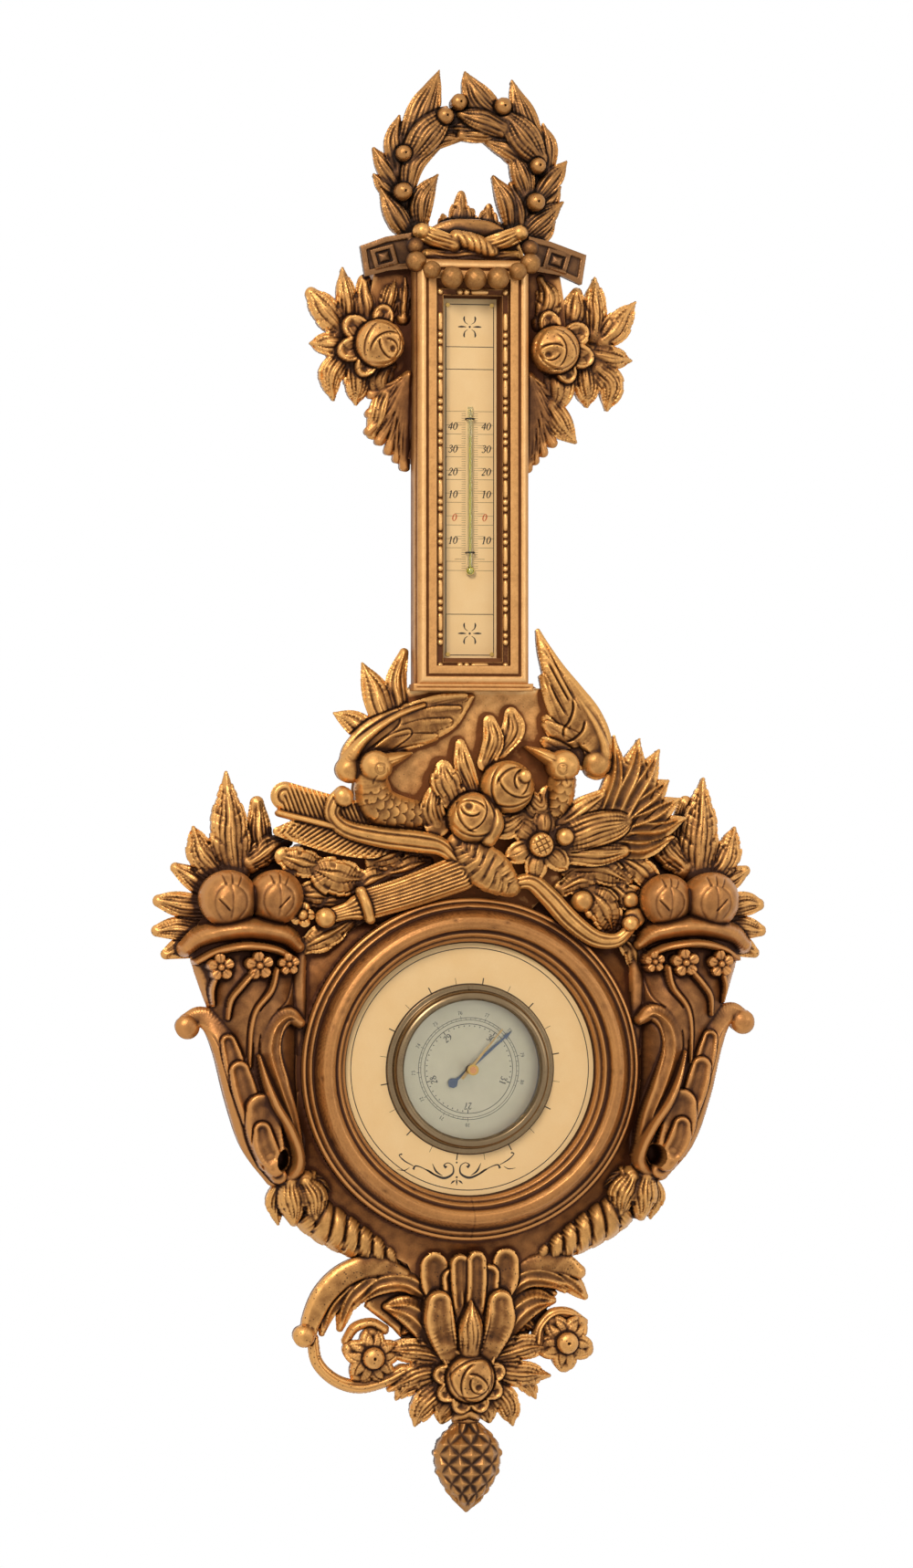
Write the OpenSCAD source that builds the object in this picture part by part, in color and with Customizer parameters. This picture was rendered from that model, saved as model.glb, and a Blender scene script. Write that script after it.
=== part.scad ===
// Carved giltwood wall barometer with a thermometer.
// Origin: centre of the hanging hole on the wall plane. +Z up, the front faces -Y.
// Inside the front() frame, x runs right, y runs up and z is the height above the wall.

/* [Backboard] */
// Thickness of the backboard
board_t = 24; // [22:1:26]
// Half width of the board behind the thermometer
board_half = 31; // [28:1:34]
// Width of the board that stands out round the dial ring
board_rim = 3; // [1:0.5:5]
// Top edge of the board above the hanging hole
board_top = 18; // [15:1:20]

/* [Thermometer case] */
// Half width of the case
case_half = 36; // [35:0.5:37]
// Top edge of the case above the hanging hole
case_top = 14; // [12:1:16]
// Bottom edge of the case below the hanging hole
case_drop = 252; // [248:1:254]
// Height of the case front above the wall
case_front = 46; // [42:1:48]
// Half width of the recess for the scale plate
recess_half = 18.5; // [17.5:0.5:20]
// Wood left above and below the recess
recess_border = 15; // [12:1:18]
// Width of the bead slip round the recess
slip_w = 4.6; // [3:0.2:6]
// Drop of the slip below the case front
slip_drop = 4; // [3:0.5:6]
// Diameter of the beads on the slip
bead_d = 4; // [3:0.2:4.4]

/* [Thermometer] */
// Thickness of the scale plate
plate_t = 1.5; // [1:0.1:2]
// Height of the recess floor above the wall
plate_seat = 30.5; // [28:0.5:32]
// Outer radius of the tube
tube_r = 1.6; // [1.4:0.1:2]
// Radius of the bore in the tube
tube_bore_r = 0.7; // [0.4:0.1:0.9]
// Outer radius of the bulb
bulb_r = 3; // [2.6:0.1:3.4]
// Upper end of the tube below the hanging hole
tube_top_drop = 77.5; // [70:0.5:85]
// Centre of the bulb below the hanging hole
bulb_drop = 180; // [175:1:190]
// Upper end of the spirit below the hanging hole
spirit_top_drop = 96; // [90:1:160]
// Gap between the tube and the scale plate
tube_lift = 0.3; // [0.1:0.1:0.6]

/* [Dial ring] */
// Outer radius of the turned dial ring
ring_r = 107; // [106:0.5:108]
// Radius of the opening in the dial ring
ring_open_r = 79; // [78:0.5:80]
// Height of the ring's crown above the wall
ring_crown = 50; // [48:0.5:52]
// Height of the card seat above the wall
card_seat = 32; // [30:0.5:33]
// Thickness of the dial card
card_t = 1.2; // [0.8:0.1:2]
// Dial centre below the hanging hole
dial_drop = 491; // [489:0.5:493]

/* [Aneroid] */
// Outer radius of the movement case
movement_r = 46.2; // [45.8:0.1:47]
// Wall of the movement case
movement_wall = 1; // [0.8:0.1:1.4]
// Depth of the movement case behind the card
movement_depth = 27; // [26:0.5:29]
// Width of the bezel outside the movement case
bezel_flange = 6.8; // [6:0.2:9]
// Width of the bezel lip over the glass, inside the movement case
bezel_lip = 3; // [2.4:0.1:3.4]
// Height of the bezel above the card
bezel_h = 9.4; // [9:0.2:11]
// Thickness of the glass
glass_t = 2; // [1.6:0.1:2.4]
// Thickness of the silvered dial
dial_t = 1; // [0.6:0.1:1.4]
// Height of the silvered dial behind the card's front
dial_sink = 5.2; // [5:0.1:6]
// Radius of the capsule
capsule_r = 21; // [16:0.5:23]
// Radius of the hand arbor
arbor_r = 0.8; // [0.6:0.05:1]
// Running clearance of every pivot, on the radius
pivot_gap = 0.05; // [0.03:0.01:0.08]
// Length of the pressure hand from its centre
hand_l = 36; // [30:0.5:38]
// Direction of the pressure hand, clockwise from the top
hand_deg = 49.5; // [0:0.5:90]
// Direction of the set hand, clockwise from the top
set_deg = 40; // [0:1:90]

/* [Hanging] */
// Radius of the hanging hole
hang_hole_r = 3.5; // [2.5:0.1:4]
// Thickness of the hanger plate
hanger_t = 1.5; // [1:0.1:2]

/* [Carving] */
// Clearance between neighbouring carved pieces
cut_gap = 0.2; // [0.1:0.05:0.4]
// Sides of each carved stroke's round ends
carve_fn = 8; // [6:2:12]

/* [Hidden] */

// Sizes that the carvings were drawn round: a changed size moves the carving by the difference
drawn_ring_r = 107;
drawn_dial_drop = 491;
drawn_case_top = 14;
drawn_case_half = 36;
drawn_case_drop = 252;

gilt = "#a9783a";
gilt_light = "#c99a4b";
bole = "#7d4a26";
brass = "#b5934a";
steel = "#6f7278";

far = 200;
through = 1;
smooth_fn = 96;

// Heights above the wall of the flat backs of the carved layers
edge_back = 8;
ground_t = 4;
ground_front = board_t + ground_t;
motif_back = ground_front;
front_back = ground_front + 8;

board_disc_r = ring_r + board_rim;
case_bottom = -case_drop;
recess_top = case_top - recess_border - 8;
recess_bottom = case_bottom + recess_border;
slip_half = recess_half + slip_w;
plate_half = recess_half - 1.5;
plate_front = plate_seat + plate_t;
tube_axis = plate_front + tube_lift + tube_r;
bulb_z = -bulb_drop;
tube_top = -tube_top_drop;
clip_zs = [tube_top - 7.5, bulb_z + 11.5];

card_front = card_seat + card_t;
bezel_r = movement_r + bezel_flange;
bezel_open_r = movement_r - bezel_lip;
bezel_seat = card_front;
bezel_top = bezel_seat + bezel_h;
lip_back = bezel_top - 2.9;
glass_back = lip_back - glass_t;
glass_r = movement_r - movement_wall - 0.2;
case_in_r = movement_r - movement_wall;
case_back = card_front - movement_depth;
case_floor = case_back + movement_wall;
ring_bore_r = movement_r + 0.4;
dial_front = card_front - dial_sink;
dial_back = dial_front - dial_t;
dial_r = case_in_r - 0.8;

plate_lift = 2.8;
mplate_back = case_floor + plate_lift;
mplate_t = 1.5;
mplate_front = mplate_back + mplate_t;
mplate_r = 38;
pillar_ring = 33;
pillar_rad = 2;
capsule_back = mplate_front;
capsule_boss = 0.5;
capsule_h = 4.5;
capsule_front = capsule_back + capsule_boss + capsule_h;
spring_back = capsule_front + 2.6;
spring_t = 0.8;
spring_front = spring_back + spring_t;
bridge_x = -26;
bridge_w = 5;
lever_axis_x = -22;
lever_axis_p = spring_front + 1.4;
lever_pin_r = 0.8;
lever_half_t = 0.5;
lever_tip_x = 25;
ear_t = 1.6;
ear_y = 6;
rocker_x = 28;
rocker_p = mplate_front + 6.5;
rocker_r = 1;
rocker_span = 12;
drum_r = 1.1;
drum_p = dial_back - 2;
drum_t = 1.2;
rocker_arm_y = -8;
abridge_t = 1;
abridge_front = drum_p - 0.35;
abridge_back = abridge_front - abridge_t;
abridge_post_y = 24;
hub_back = dial_front + 0.8;
hub_front = hub_back + 2.2;
hub_r = 2.2;
set_back = hub_front + 0.9;
set_t = 0.6;
set_r = 1.2;
glass_front = glass_back + glass_t;
knob_r = 3.4;
screw_x = -30;
screw_r = 1.5;

// Puts a shape drawn in (x right, y up, z off the wall) into the part's frame
module front() { rotate([90, 0, 0]) children(); }

// The same frame, moved to the dial's centre
module on_dial() { front() translate([0, -dial_drop, 0]) children(); }

// Moves a carving with the dial it was drawn beside
module by_dial() { translate([0, drawn_dial_drop - dial_drop, 0]) children(); }

// Moves a side carving with the edge of the ring too
module by_ring(side) { translate([side * (ring_r - drawn_ring_r), 0, 0]) by_dial() children(); }

// Moves a carving with the top of the case
module by_top() { translate([0, case_top - drawn_case_top, 0]) children(); }

// Moves a carving with the side of the case and its top
module by_side(side) { translate([side * (case_half - drawn_case_half), 0, 0]) by_top() children(); }

// Moves a carving with the bottom of the case
module by_foot() { translate([0, drawn_case_drop - case_drop, 0]) children(); }

function mirrored(path) = [for (s = path) [-s[0], s[1], s[2], s[3]]];

// One end of a stroke: s is x, y, half width, height; the flat back lies at height back
module dome(s, back) {
    translate([s[0], s[1], back]) {
        cylinder(h = s[3] * 0.45, r = s[2], $fn = carve_fn);
        cylinder(h = s[3], r = s[2] * 0.5, $fn = carve_fn / 2);
    }
}

// A carved stroke, such as a leaf or a scroll, with a flat back
module stroke(path, back) {
    for (i = [0 : len(path) - 2]) {
        hull() {
            dome(path[i], back);
            dome(path[i + 1], back);
        }
    }
}

module strokes(paths, back) { for (p = paths) stroke(p, back); }

// A round boss, such as a berry or a bud: s is x, y, radius, height
module boss(s, back) {
    translate([s[0], s[1], back]) {
        hull() {
            cylinder(h = s[3] * 0.45, r = s[2], $fn = 10);
            cylinder(h = s[3] * 0.82, r = s[2] * 0.72, $fn = 10);
            cylinder(h = s[3], r = s[2] * 0.35, $fn = 10);
        }
    }
}

module bosses(list, back) { for (s = list) boss(s, back); }

// The outline of a stroke, grown by the clearance, that cuts what lies behind it
module shade(path) {
    for (i = [0 : len(path) - 2]) {
        hull() {
            translate([path[i][0], path[i][1]]) circle(r = path[i][2] + cut_gap, $fn = carve_fn);
            translate([path[i + 1][0], path[i + 1][1]]) circle(r = path[i + 1][2] + cut_gap, $fn = carve_fn);
        }
    }
}

module shades(paths, back) { translate([0, 0, back]) linear_extrude(far) for (p = paths) shade(p); }

module boss_shades(list, back) {
    translate([0, 0, back]) linear_extrude(far)
        for (s = list) translate([s[0], s[1]]) circle(r = s[2] + cut_gap, $fn = 20);
}

// Outlines

shoulder_points = [[28, 18], [58, 14], [62, -10], [64, -45], [50, -66], [42, -108], [28, -112]];

module shoulder_outline() {
    grow = case_half - drawn_case_half;
    n = len(shoulder_points);
    by_top() polygon(concat(
        [for (s = shoulder_points) [s[0] + grow, s[1]]],
        [for (i = [n - 1 : -1 : 0]) [-shoulder_points[i][0] - grow, shoulder_points[i][1]]]
    ));
}

module trophy_outline() {
    by_foot() polygon([
        [-28, -250], [-44, -262], [-66, -288], [-70, -318], [-84, -360], [-70, -410],
        [70, -410], [84, -360], [66, -318], [72, -296], [58, -262], [40, -250]
    ]);
}

// The board round the dial, up to the mouths of the horns and down to the pendant
shield_points = [[76, 146], [106, 140], [118, 119], [120, 86], [116, 61], [113, 36], [109, 6], [109, -46], [103, -70],
                 [90, -86], [64, -108], [38, -122], [25, -149], [14, -203]];

module shield_outline() {
    grow = ring_r - drawn_ring_r;
    n = len(shield_points);
    translate([0, -dial_drop]) polygon(concat(
        [for (s = shield_points) [s[0] + grow, s[1]]],
        [for (i = [n - 1 : -1 : 0]) [-shield_points[i][0] - grow, shield_points[i][1]]]
    ));
}

module board_outline() {
    translate([-board_half, -dial_drop]) square([2 * board_half, board_top + dial_drop]);
    shoulder_outline();
    trophy_outline();
    translate([0, -dial_drop]) circle(r = board_disc_r, $fn = smooth_fn);
    shield_outline();
}

// The board as the carvings clear it: they may lie on its front but not in it
module board_block() {
    translate([0, 0, -far]) linear_extrude(far + board_t) offset(delta = cut_gap) board_outline();
}

module ring_block() { translate([0, -dial_drop, 0]) cylinder(h = far, r = ring_r + cut_gap, $fn = smooth_fn); }

module case_block() {
    translate([-case_half - cut_gap, case_bottom - 3 - cut_gap, 0])
        cube([2 * (case_half + cut_gap), case_top - case_bottom + 3 + 2 * cut_gap, far]);
}

module wall_block() { translate([-far * 2, -far * 5, -far]) cube([far * 4, far * 7, far]); }

// Everything that the carvings lie against
module carved(tint) {
    color(tint) front() difference() {
        union() children();
        board_block();
        ring_block();
        case_block();
    }
}

// Backboard and hanging

hanger_w = 26;
hanger_h = 50;
hanger_drop = 10;
hanger_screw_y = 20;
hanger_screw_r = 1.6;
nail_pocket_r = 7;
nail_pocket_depth = 7;

module backboard() {
    color(bole) front() difference() {
        linear_extrude(board_t) board_outline();
        translate([0, -dial_drop, -through]) cylinder(h = board_t + 2 * through, r = ring_bore_r, $fn = smooth_fn);
        translate([-hanger_w / 2, -hanger_drop - hanger_h / 2, -through])
            cube([hanger_w, hanger_h, through + hanger_t]);
        cylinder(h = hanger_t + nail_pocket_depth, r = nail_pocket_r, $fn = 32);
        for (s = [-1, 1])
            translate([0, -hanger_drop + s * hanger_screw_y, 0])
                cylinder(h = 12, r = hanger_screw_r, $fn = 24);
    }
}

module hanger_plate() {
    color(brass) front() difference() {
        translate([-hanger_w / 2 + cut_gap, -hanger_drop - hanger_h / 2 + cut_gap, 0])
            cube([hanger_w - 2 * cut_gap, hanger_h - 2 * cut_gap, hanger_t]);
        translate([0, 0, -through]) cylinder(h = hanger_t + 2 * through, r = hang_hole_r, $fn = 48);
        for (s = [-1, 1])
            translate([0, -hanger_drop + s * hanger_screw_y, -through])
                cylinder(h = hanger_t + 2 * through, r = hanger_screw_r + 0.2, $fn = 24);
    }
}

module hanger_screws() {
    color(steel) front()
        for (s = [-1, 1])
            translate([0, -hanger_drop + s * hanger_screw_y, 0])
                cylinder(h = 11, r = hanger_screw_r - pivot_gap, $fn = 24);
}

// Thermometer case

// Profile of the case side from the outer wall inwards, as inset and height
case_edge = 3.8;
case_groove = 1.4;

module frame_layer(inset, low, high) {
    translate([-case_half + inset, case_bottom + inset, low])
        cube([2 * (case_half - inset), case_top - case_bottom - 2 * inset, high - low]);
}

module thermometer_case() {
    foot_out = 2;
    color(gilt_light) front() difference() {
        union() {
            frame_layer(0, board_t, case_front - 5);
            frame_layer(0.9, board_t, case_front - 3.2);
            frame_layer(1.9, board_t, case_front);
            translate([-case_half - foot_out, case_bottom - 2.8, board_t])
                cube([2 * (case_half + foot_out), 2.8, case_front - 1 - board_t]);
        }
        difference() {
            translate([-case_half + 1.9 + case_edge, case_bottom + 1.9 + case_edge, case_front - case_groove])
                cube([2 * (case_half - 1.9 - case_edge), case_top - case_bottom - 2 * (1.9 + case_edge), far]);
            translate([-case_half + 3.1 + case_edge, case_bottom + 3.1 + case_edge, board_t])
                cube([2 * (case_half - 3.1 - case_edge), case_top - case_bottom - 2 * (3.1 + case_edge),
                      case_front - case_groove + 0.9 - board_t]);
        }
        translate([-slip_half, recess_bottom - slip_w, case_front - slip_drop - bead_d / 2])
            cube([2 * slip_half, recess_top - recess_bottom + 2 * slip_w, far]);
        translate([-recess_half, recess_bottom, plate_seat])
            cube([2 * recess_half, recess_top - recess_bottom, far]);
        pin_places() translate([0, 0, plate_seat - pin_sink]) cylinder(h = far, r = pin_r + pivot_gap, $fn = 24);
    }
}

slip_seat = case_front - slip_drop - bead_d / 2;
bead_step = bead_d + 0.6;
reel_l = 3 * bead_step;

// One side of the slip, from the origin along +Y: two beads, one long reel, and so on
module slip_run(len_run) {
    pattern = 2 * bead_step + reel_l;
    n = floor(len_run / pattern);
    start = (len_run - n * pattern) / 2;
    for (i = [0 : n - 1]) {
        for (k = [0, 1])
            translate([0, start + i * pattern + (k + 0.5) * bead_step, 0]) sphere(r = bead_d / 2, $fn = 16);
        translate([0, start + i * pattern + 2 * bead_step + 0.6, 0])
            rotate([-90, 0, 0]) cylinder(h = reel_l - 1.2, r = bead_d / 2 * 0.9, $fn = 16);
    }
}

module bead_slip() {
    g = cut_gap;
    run_h = recess_top - recess_bottom;
    color(gilt_light) front() union() {
        difference() {
            translate([-slip_half + g, recess_bottom - slip_w + g, slip_seat])
                cube([2 * (slip_half - g), run_h + 2 * (slip_w - g), 1.6]);
            translate([-recess_half, recess_bottom, 0]) cube([2 * recess_half, run_h, far]);
        }
        intersection() {
            union() {
                for (s = [-1, 1])
                    translate([s * (recess_half + slip_w / 2), recess_bottom, slip_seat + 1.2]) slip_run(run_h);
                for (y = [recess_bottom - slip_w / 2, recess_top + slip_w / 2])
                    translate([-recess_half, y, slip_seat + 1.2]) rotate([0, 0, -90]) slip_run(2 * recess_half);
            }
            translate([-slip_half + g, recess_bottom - slip_w + g, slip_seat])
                cube([2 * (slip_half - g), run_h + 2 * (slip_w - g), far]);
        }
    }
}

pin_r = 0.7;
pin_head_r = 1.3;
pin_sink = 5;

module pin_places() {
    for (x = [-plate_half + 3, plate_half - 3])
        for (y = [recess_top - 5, recess_bottom + 5])
            translate([x, y, 0]) children();
}

module scale_plate() {
    color("#e6d3ab") front() difference() {
        translate([-plate_half, recess_bottom + 1, plate_seat])
            cube([2 * plate_half, recess_top - recess_bottom - 2, plate_t]);
        pin_places() translate([0, 0, plate_seat - through]) cylinder(h = far, r = pin_r + cut_gap, $fn = 24);
        for (y = clip_zs)
            for (s = [-1, 1])
                translate([s * (tube_r + 0.9), y, plate_seat - through]) cylinder(h = far, r = 0.55, $fn = 16);
        translate([0, bulb_z, tube_axis]) sphere(r = bulb_r + 0.3, $fn = 48);
    }
}

module plate_pins() {
    color(brass) front() pin_places() {
        translate([0, 0, plate_seat - pin_sink + cut_gap]) cylinder(h = pin_sink + plate_t, r = pin_r, $fn = 24);
        translate([0, 0, plate_front]) cylinder(h = 0.7, r = pin_head_r, $fn = 24);
    }
}

module thermometer_tube() {
    color("#dfe6da", 0.5) front() difference() {
        union() {
            translate([0, bulb_z, tube_axis]) rotate([-90, 0, 0]) cylinder(h = tube_top - bulb_z, r = tube_r, $fn = 48);
            translate([0, bulb_z, tube_axis]) sphere(r = bulb_r, $fn = 48);
        }
        translate([0, bulb_z, tube_axis]) rotate([-90, 0, 0])
            cylinder(h = tube_top - bulb_z - 2, r = tube_bore_r, $fn = 32);
        translate([0, bulb_z, tube_axis]) sphere(r = bulb_r - 0.6, $fn = 48);
    }
}

module spirit_column() {
    film = 0.02;
    color("#c8b41e") front() union() {
        translate([0, bulb_z, tube_axis]) rotate([-90, 0, 0])
            cylinder(h = -spirit_top_drop - bulb_z, r = tube_bore_r - film, $fn = 32);
        translate([0, bulb_z, tube_axis]) sphere(r = bulb_r - 0.6 - film, $fn = 48);
    }
}

module tube_clips() {
    wire_r = 0.45;
    color("#2b2622") front()
        for (y = clip_zs)
            translate([0, y, tube_axis]) {
                rotate([90, 0, 0]) rotate_extrude(angle = 180, $fn = 48) translate([tube_r + 0.9, 0]) circle(r = wire_r, $fn = 16);
                for (s = [-1, 1])
                    translate([s * (tube_r + 0.9), 0, plate_seat - tube_axis])
                        cylinder(h = tube_axis - plate_seat, r = wire_r, $fn = 16);
            }
}

// Dial ring and card

ring_steps = [
    [0, -14], [-0.7, -12], [-2.2, -11.6], [-2.6, -12.4], [-4.5, -9.5], [-5.5, -9], [-6.7, -9.8],
    [-8.2, -7], [-10, -3.5], [-12, -1], [-14.5, 0], [-17, -0.3], [-19, -2], [-20, -4.8],
    [-21.2, -6.2], [-22.4, -5.6], [-23.4, -6.7], [-24.6, -9.7], [-26, -10.4], [-26.8, -11.7], [-27.6, -15]
];

module dial_ring() {
    profile = concat(
        [[ring_bore_r, board_t], [ring_r, board_t]],
        [for (s = ring_steps) [max(ring_r + s[0], ring_open_r + 0.4), ring_crown + s[1]]],
        [[ring_open_r, card_front], [ring_open_r, card_seat], [ring_bore_r, card_seat]]
    );
    color(gilt) on_dial() rotate_extrude($fn = smooth_fn) polygon(profile);
}

module dial_card() {
    color("#ead8b2") on_dial() translate([0, 0, card_seat]) difference() {
        cylinder(h = card_t, r = ring_open_r - cut_gap, $fn = smooth_fn);
        translate([0, 0, -through]) cylinder(h = card_t + 2 * through, r = ring_bore_r, $fn = smooth_fn);
        bezel_screw_places() translate([0, 0, -through]) cylinder(h = 2 * through + card_t, r = bezel_screw_r + cut_gap, $fn = 24);
    }
}

// Aneroid

bezel_screw_r = 0.8;
bezel_head_r = 1.4;
bezel_screw_ring = bezel_r - 1.9;
bezel_screw_len = 5;

module bezel_screw_places() {
    for (a = [90, 210, 330]) rotate([0, 0, a]) translate([bezel_screw_ring, 0, 0]) children();
}

module bezel() {
    flange_t = 1.6;
    in_r = glass_r + 0.3;
    profile = [
        [in_r, bezel_seat], [bezel_r, bezel_seat], [bezel_r, bezel_seat + flange_t],
        [bezel_r - 3.6, bezel_seat + flange_t], [bezel_r - 3.9, bezel_top - 5], [bezel_r - 4.6, bezel_top - 1.8],
        [bezel_r - 6.2, bezel_top - 0.3], [bezel_r - 7.8, bezel_top], [bezel_open_r + 0.5, bezel_top - 0.9],
        [bezel_open_r, lip_back], [in_r, lip_back]
    ];
    color(brass) on_dial() difference() {
        rotate_extrude($fn = smooth_fn) polygon(profile);
        bezel_screw_places() translate([0, 0, bezel_seat - through])
            cylinder(h = flange_t + 2 * through, r = bezel_screw_r + cut_gap, $fn = 24);
    }
}

module bezel_screws() {
    flange_t = 1.6;
    color(brass) on_dial() bezel_screw_places() {
        translate([0, 0, bezel_seat - card_t]) cylinder(h = card_t + flange_t, r = bezel_screw_r, $fn = 24);
        translate([0, 0, bezel_seat + flange_t]) cylinder(h = 0.9, r = bezel_head_r, $fn = 24);
    }
}

module dial_glass() {
    color("#e8eef0", 0.35) on_dial() translate([0, 0, glass_back]) difference() {
        cylinder(h = glass_t, r = glass_r, $fn = smooth_fn);
        translate([0, 0, -through]) cylinder(h = glass_t + 2 * through, r = set_r + pivot_gap, $fn = 32);
    }
}

module glass_ring() {
    ring_h = 1.4;
    color(brass) on_dial() translate([0, 0, glass_back - ring_h]) difference() {
        cylinder(h = ring_h, r = glass_r, $fn = smooth_fn);
        translate([0, 0, -through]) cylinder(h = ring_h + 2 * through, r = glass_r - 1.4, $fn = smooth_fn);
    }
}

module aneroid_case() {
    color(brass) on_dial() difference() {
        translate([0, 0, case_back]) cylinder(h = movement_depth, r = movement_r, $fn = smooth_fn);
        translate([0, 0, case_floor]) cylinder(h = movement_depth, r = case_in_r, $fn = smooth_fn);
        translate([screw_x, 0, case_back - through]) cylinder(h = 2 * through + movement_wall, r = screw_r + pivot_gap, $fn = 24);
    }
}

module silvered_dial() {
    color("#cfd0cb") on_dial() translate([0, 0, dial_back]) difference() {
        cylinder(h = dial_t, r = dial_r, $fn = smooth_fn);
        translate([0, 0, -through]) cylinder(h = dial_t + 2 * through, r = arbor_r + 0.7, $fn = 32);
    }
}

module pillar_places() { for (a = [60, 180, 300]) rotate([0, 0, a]) translate([pillar_ring, 0, 0]) children(); }

module movement_plate() {
    color(brass) on_dial() difference() {
        union() {
            translate([0, 0, mplate_back]) cylinder(h = mplate_t, r = mplate_r, $fn = smooth_fn);
            for (a = [60, 300]) rotate([0, 0, a]) translate([pillar_ring, 0, case_floor])
                cylinder(h = dial_back - case_floor, r = pillar_rad, $fn = 32);
            translate([-pillar_ring - 2.5, 0, 0]) for (s = [-1, 1]) translate([0, s * 9, case_floor])
                cylinder(h = dial_back - case_floor, r = pillar_rad, $fn = 32);
        }
        translate([screw_x, 0, mplate_back - through])
            cylinder(h = mplate_t + 2 * through, r = screw_r + pivot_gap, $fn = 24);
    }
}

module vacuum_capsule() {
    b = capsule_back;
    h0 = b + capsule_boss;
    waves = 4;
    top = [for (i = [0 : 2 * waves])
        [capsule_r - 1.5 - i * (capsule_r - 6) / (2 * waves), h0 + capsule_h - (i % 2 == 0 ? 0.9 : 0)]];
    low = [for (i = [2 * waves : -1 : 0])
        [capsule_r - 1.5 - i * (capsule_r - 6) / (2 * waves), h0 + (i % 2 == 0 ? 0.9 : 0)]];
    profile = concat(
        [[0, b], [4, b], [4, h0 + 0.9]], low,
        [[capsule_r, h0 + 0.9], [capsule_r, h0 + capsule_h - 0.9]], top,
        [[3, capsule_front - 0.9], [3, capsule_front], [1.6, capsule_front], [1.6, spring_back], [0, spring_back]]
    );
    color("#c8b06a") on_dial() rotate_extrude($fn = 64) polygon(profile);
}

module spring_bridge() {
    post_y = 11;
    color("#8d8f92") on_dial() difference() {
        union() {
            for (s = [-1, 1])
                translate([bridge_x - bridge_w / 2, s * post_y - bridge_w / 2, mplate_front])
                    cube([bridge_w, bridge_w, spring_back - mplate_front]);
            translate([bridge_x - bridge_w / 2, -post_y - bridge_w / 2, spring_back - 2])
                cube([bridge_w, 2 * post_y + bridge_w, 2]);
            for (s = [-1, 1])
                translate([lever_axis_x - 5, s * (ear_y + ear_t / 2) + 3.2 * s - ear_t / 2, spring_back - 2])
                    cube([7, ear_t, lever_axis_p - spring_back + 4]);
        }
        translate([lever_axis_x, 0, lever_axis_p]) rotate([90, 0, 0])
            cylinder(h = 60, r = lever_pin_r + pivot_gap, $fn = 32, center = true);
    }
}

module mainspring() {
    leaf_half = 8;
    roll_r = 1.3;
    color("#9a9da1") on_dial() union() {
        translate([bridge_x - bridge_w / 2, -leaf_half, spring_back])
            cube([4 - bridge_x + bridge_w / 2, 2 * leaf_half, spring_t]);
        translate([4, 0, spring_front - roll_r]) rotate([90, 0, 0]) translate([0, 0, -leaf_half])
            rotate([0, 0, 0]) linear_extrude(2 * leaf_half) difference() {
                circle(r = roll_r, $fn = 32);
                circle(r = roll_r - spring_t, $fn = 32);
                translate([-far - 0.01, -far / 2]) square([far, far]);
            }
    }
}

module main_lever() {
    hub_half = ear_y + 2;
    color(steel) on_dial() translate([lever_axis_x, 0, lever_axis_p]) {
        rotate([90, 0, 0]) cylinder(h = 2 * (ear_y + 3.2 + ear_t), r = lever_pin_r, $fn = 32, center = true);
        translate([-1, -hub_half, -lever_half_t]) cube([2.4, 2 * hub_half, 2 * lever_half_t]);
        translate([1, -1.2, -lever_half_t]) cube([lever_tip_x - lever_axis_x - 1, 2.4, 2 * lever_half_t]);
    }
}

module rocker_shaft() {
    arm_w = 1.6;
    color(steel) on_dial() translate([rocker_x, 0, rocker_p]) {
        rotate([90, 0, 0]) cylinder(h = 2 * (rocker_span + 1.5), r = rocker_r, $fn = 32, center = true);
        translate([-arm_w / 2, rocker_arm_y - arm_w / 2, 0]) cube([arm_w, arm_w, drum_p + drum_t - 0.3 - rocker_p]);
        translate([-0.8, -1.2, 0]) cube([1.6, 2.4, 2.4]);
        translate([-3.2, -1.2, 1.6]) cube([3.2, 2.4, 0.8]);
    }
}

module arbor_bridge() {
    lug = 3;
    color(brass) on_dial() difference() {
        union() {
            for (s = [-1, 1])
                translate([-2.5, s * abridge_post_y - 2.5, mplate_front]) cube([5, 5, abridge_front - mplate_front]);
            translate([-2.5, -abridge_post_y, abridge_back]) cube([5, 2 * abridge_post_y, abridge_t]);
            for (s = [-1, 1])
                translate([rocker_x - lug, s * rocker_span - 1, mplate_front])
                    cube([2 * lug, 2, rocker_p + 2.2 - mplate_front]);
        }
        translate([0, 0, abridge_back - through]) cylinder(h = far, r = arbor_r + pivot_gap, $fn = 32);
        translate([rocker_x, 0, rocker_p]) rotate([90, 0, 0])
            cylinder(h = 4 * rocker_span, r = rocker_r + pivot_gap, $fn = 32, center = true);
    }
}

module hand_arbor() {
    color(steel) on_dial() union() {
        translate([0, 0, abridge_back + 0.05]) cylinder(h = hub_front - abridge_back - 0.05, r = arbor_r, $fn = 32);
        translate([0, 0, drum_p]) cylinder(h = drum_t, r = drum_r, $fn = 32);
        translate([0, 0, drum_p + drum_t]) cylinder(h = 0.6, r = hairspring_in - 0.2, $fn = 32);
    }
}

// A flat spiral of even pitch between two radii
hairspring_in = 1.5;
hairspring_out = 6.5;
hairspring_turns = 4;
hairspring_w = 0.25;
spiral_steps = 80;

function spiral_point(i, side) =
    let (t = i / spiral_steps)
    let (a = 360 * hairspring_turns * t)
    let (r = hairspring_in + (hairspring_out - hairspring_in) * t + side * hairspring_w / 2)
    [r * cos(a), r * sin(a)];

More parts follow.
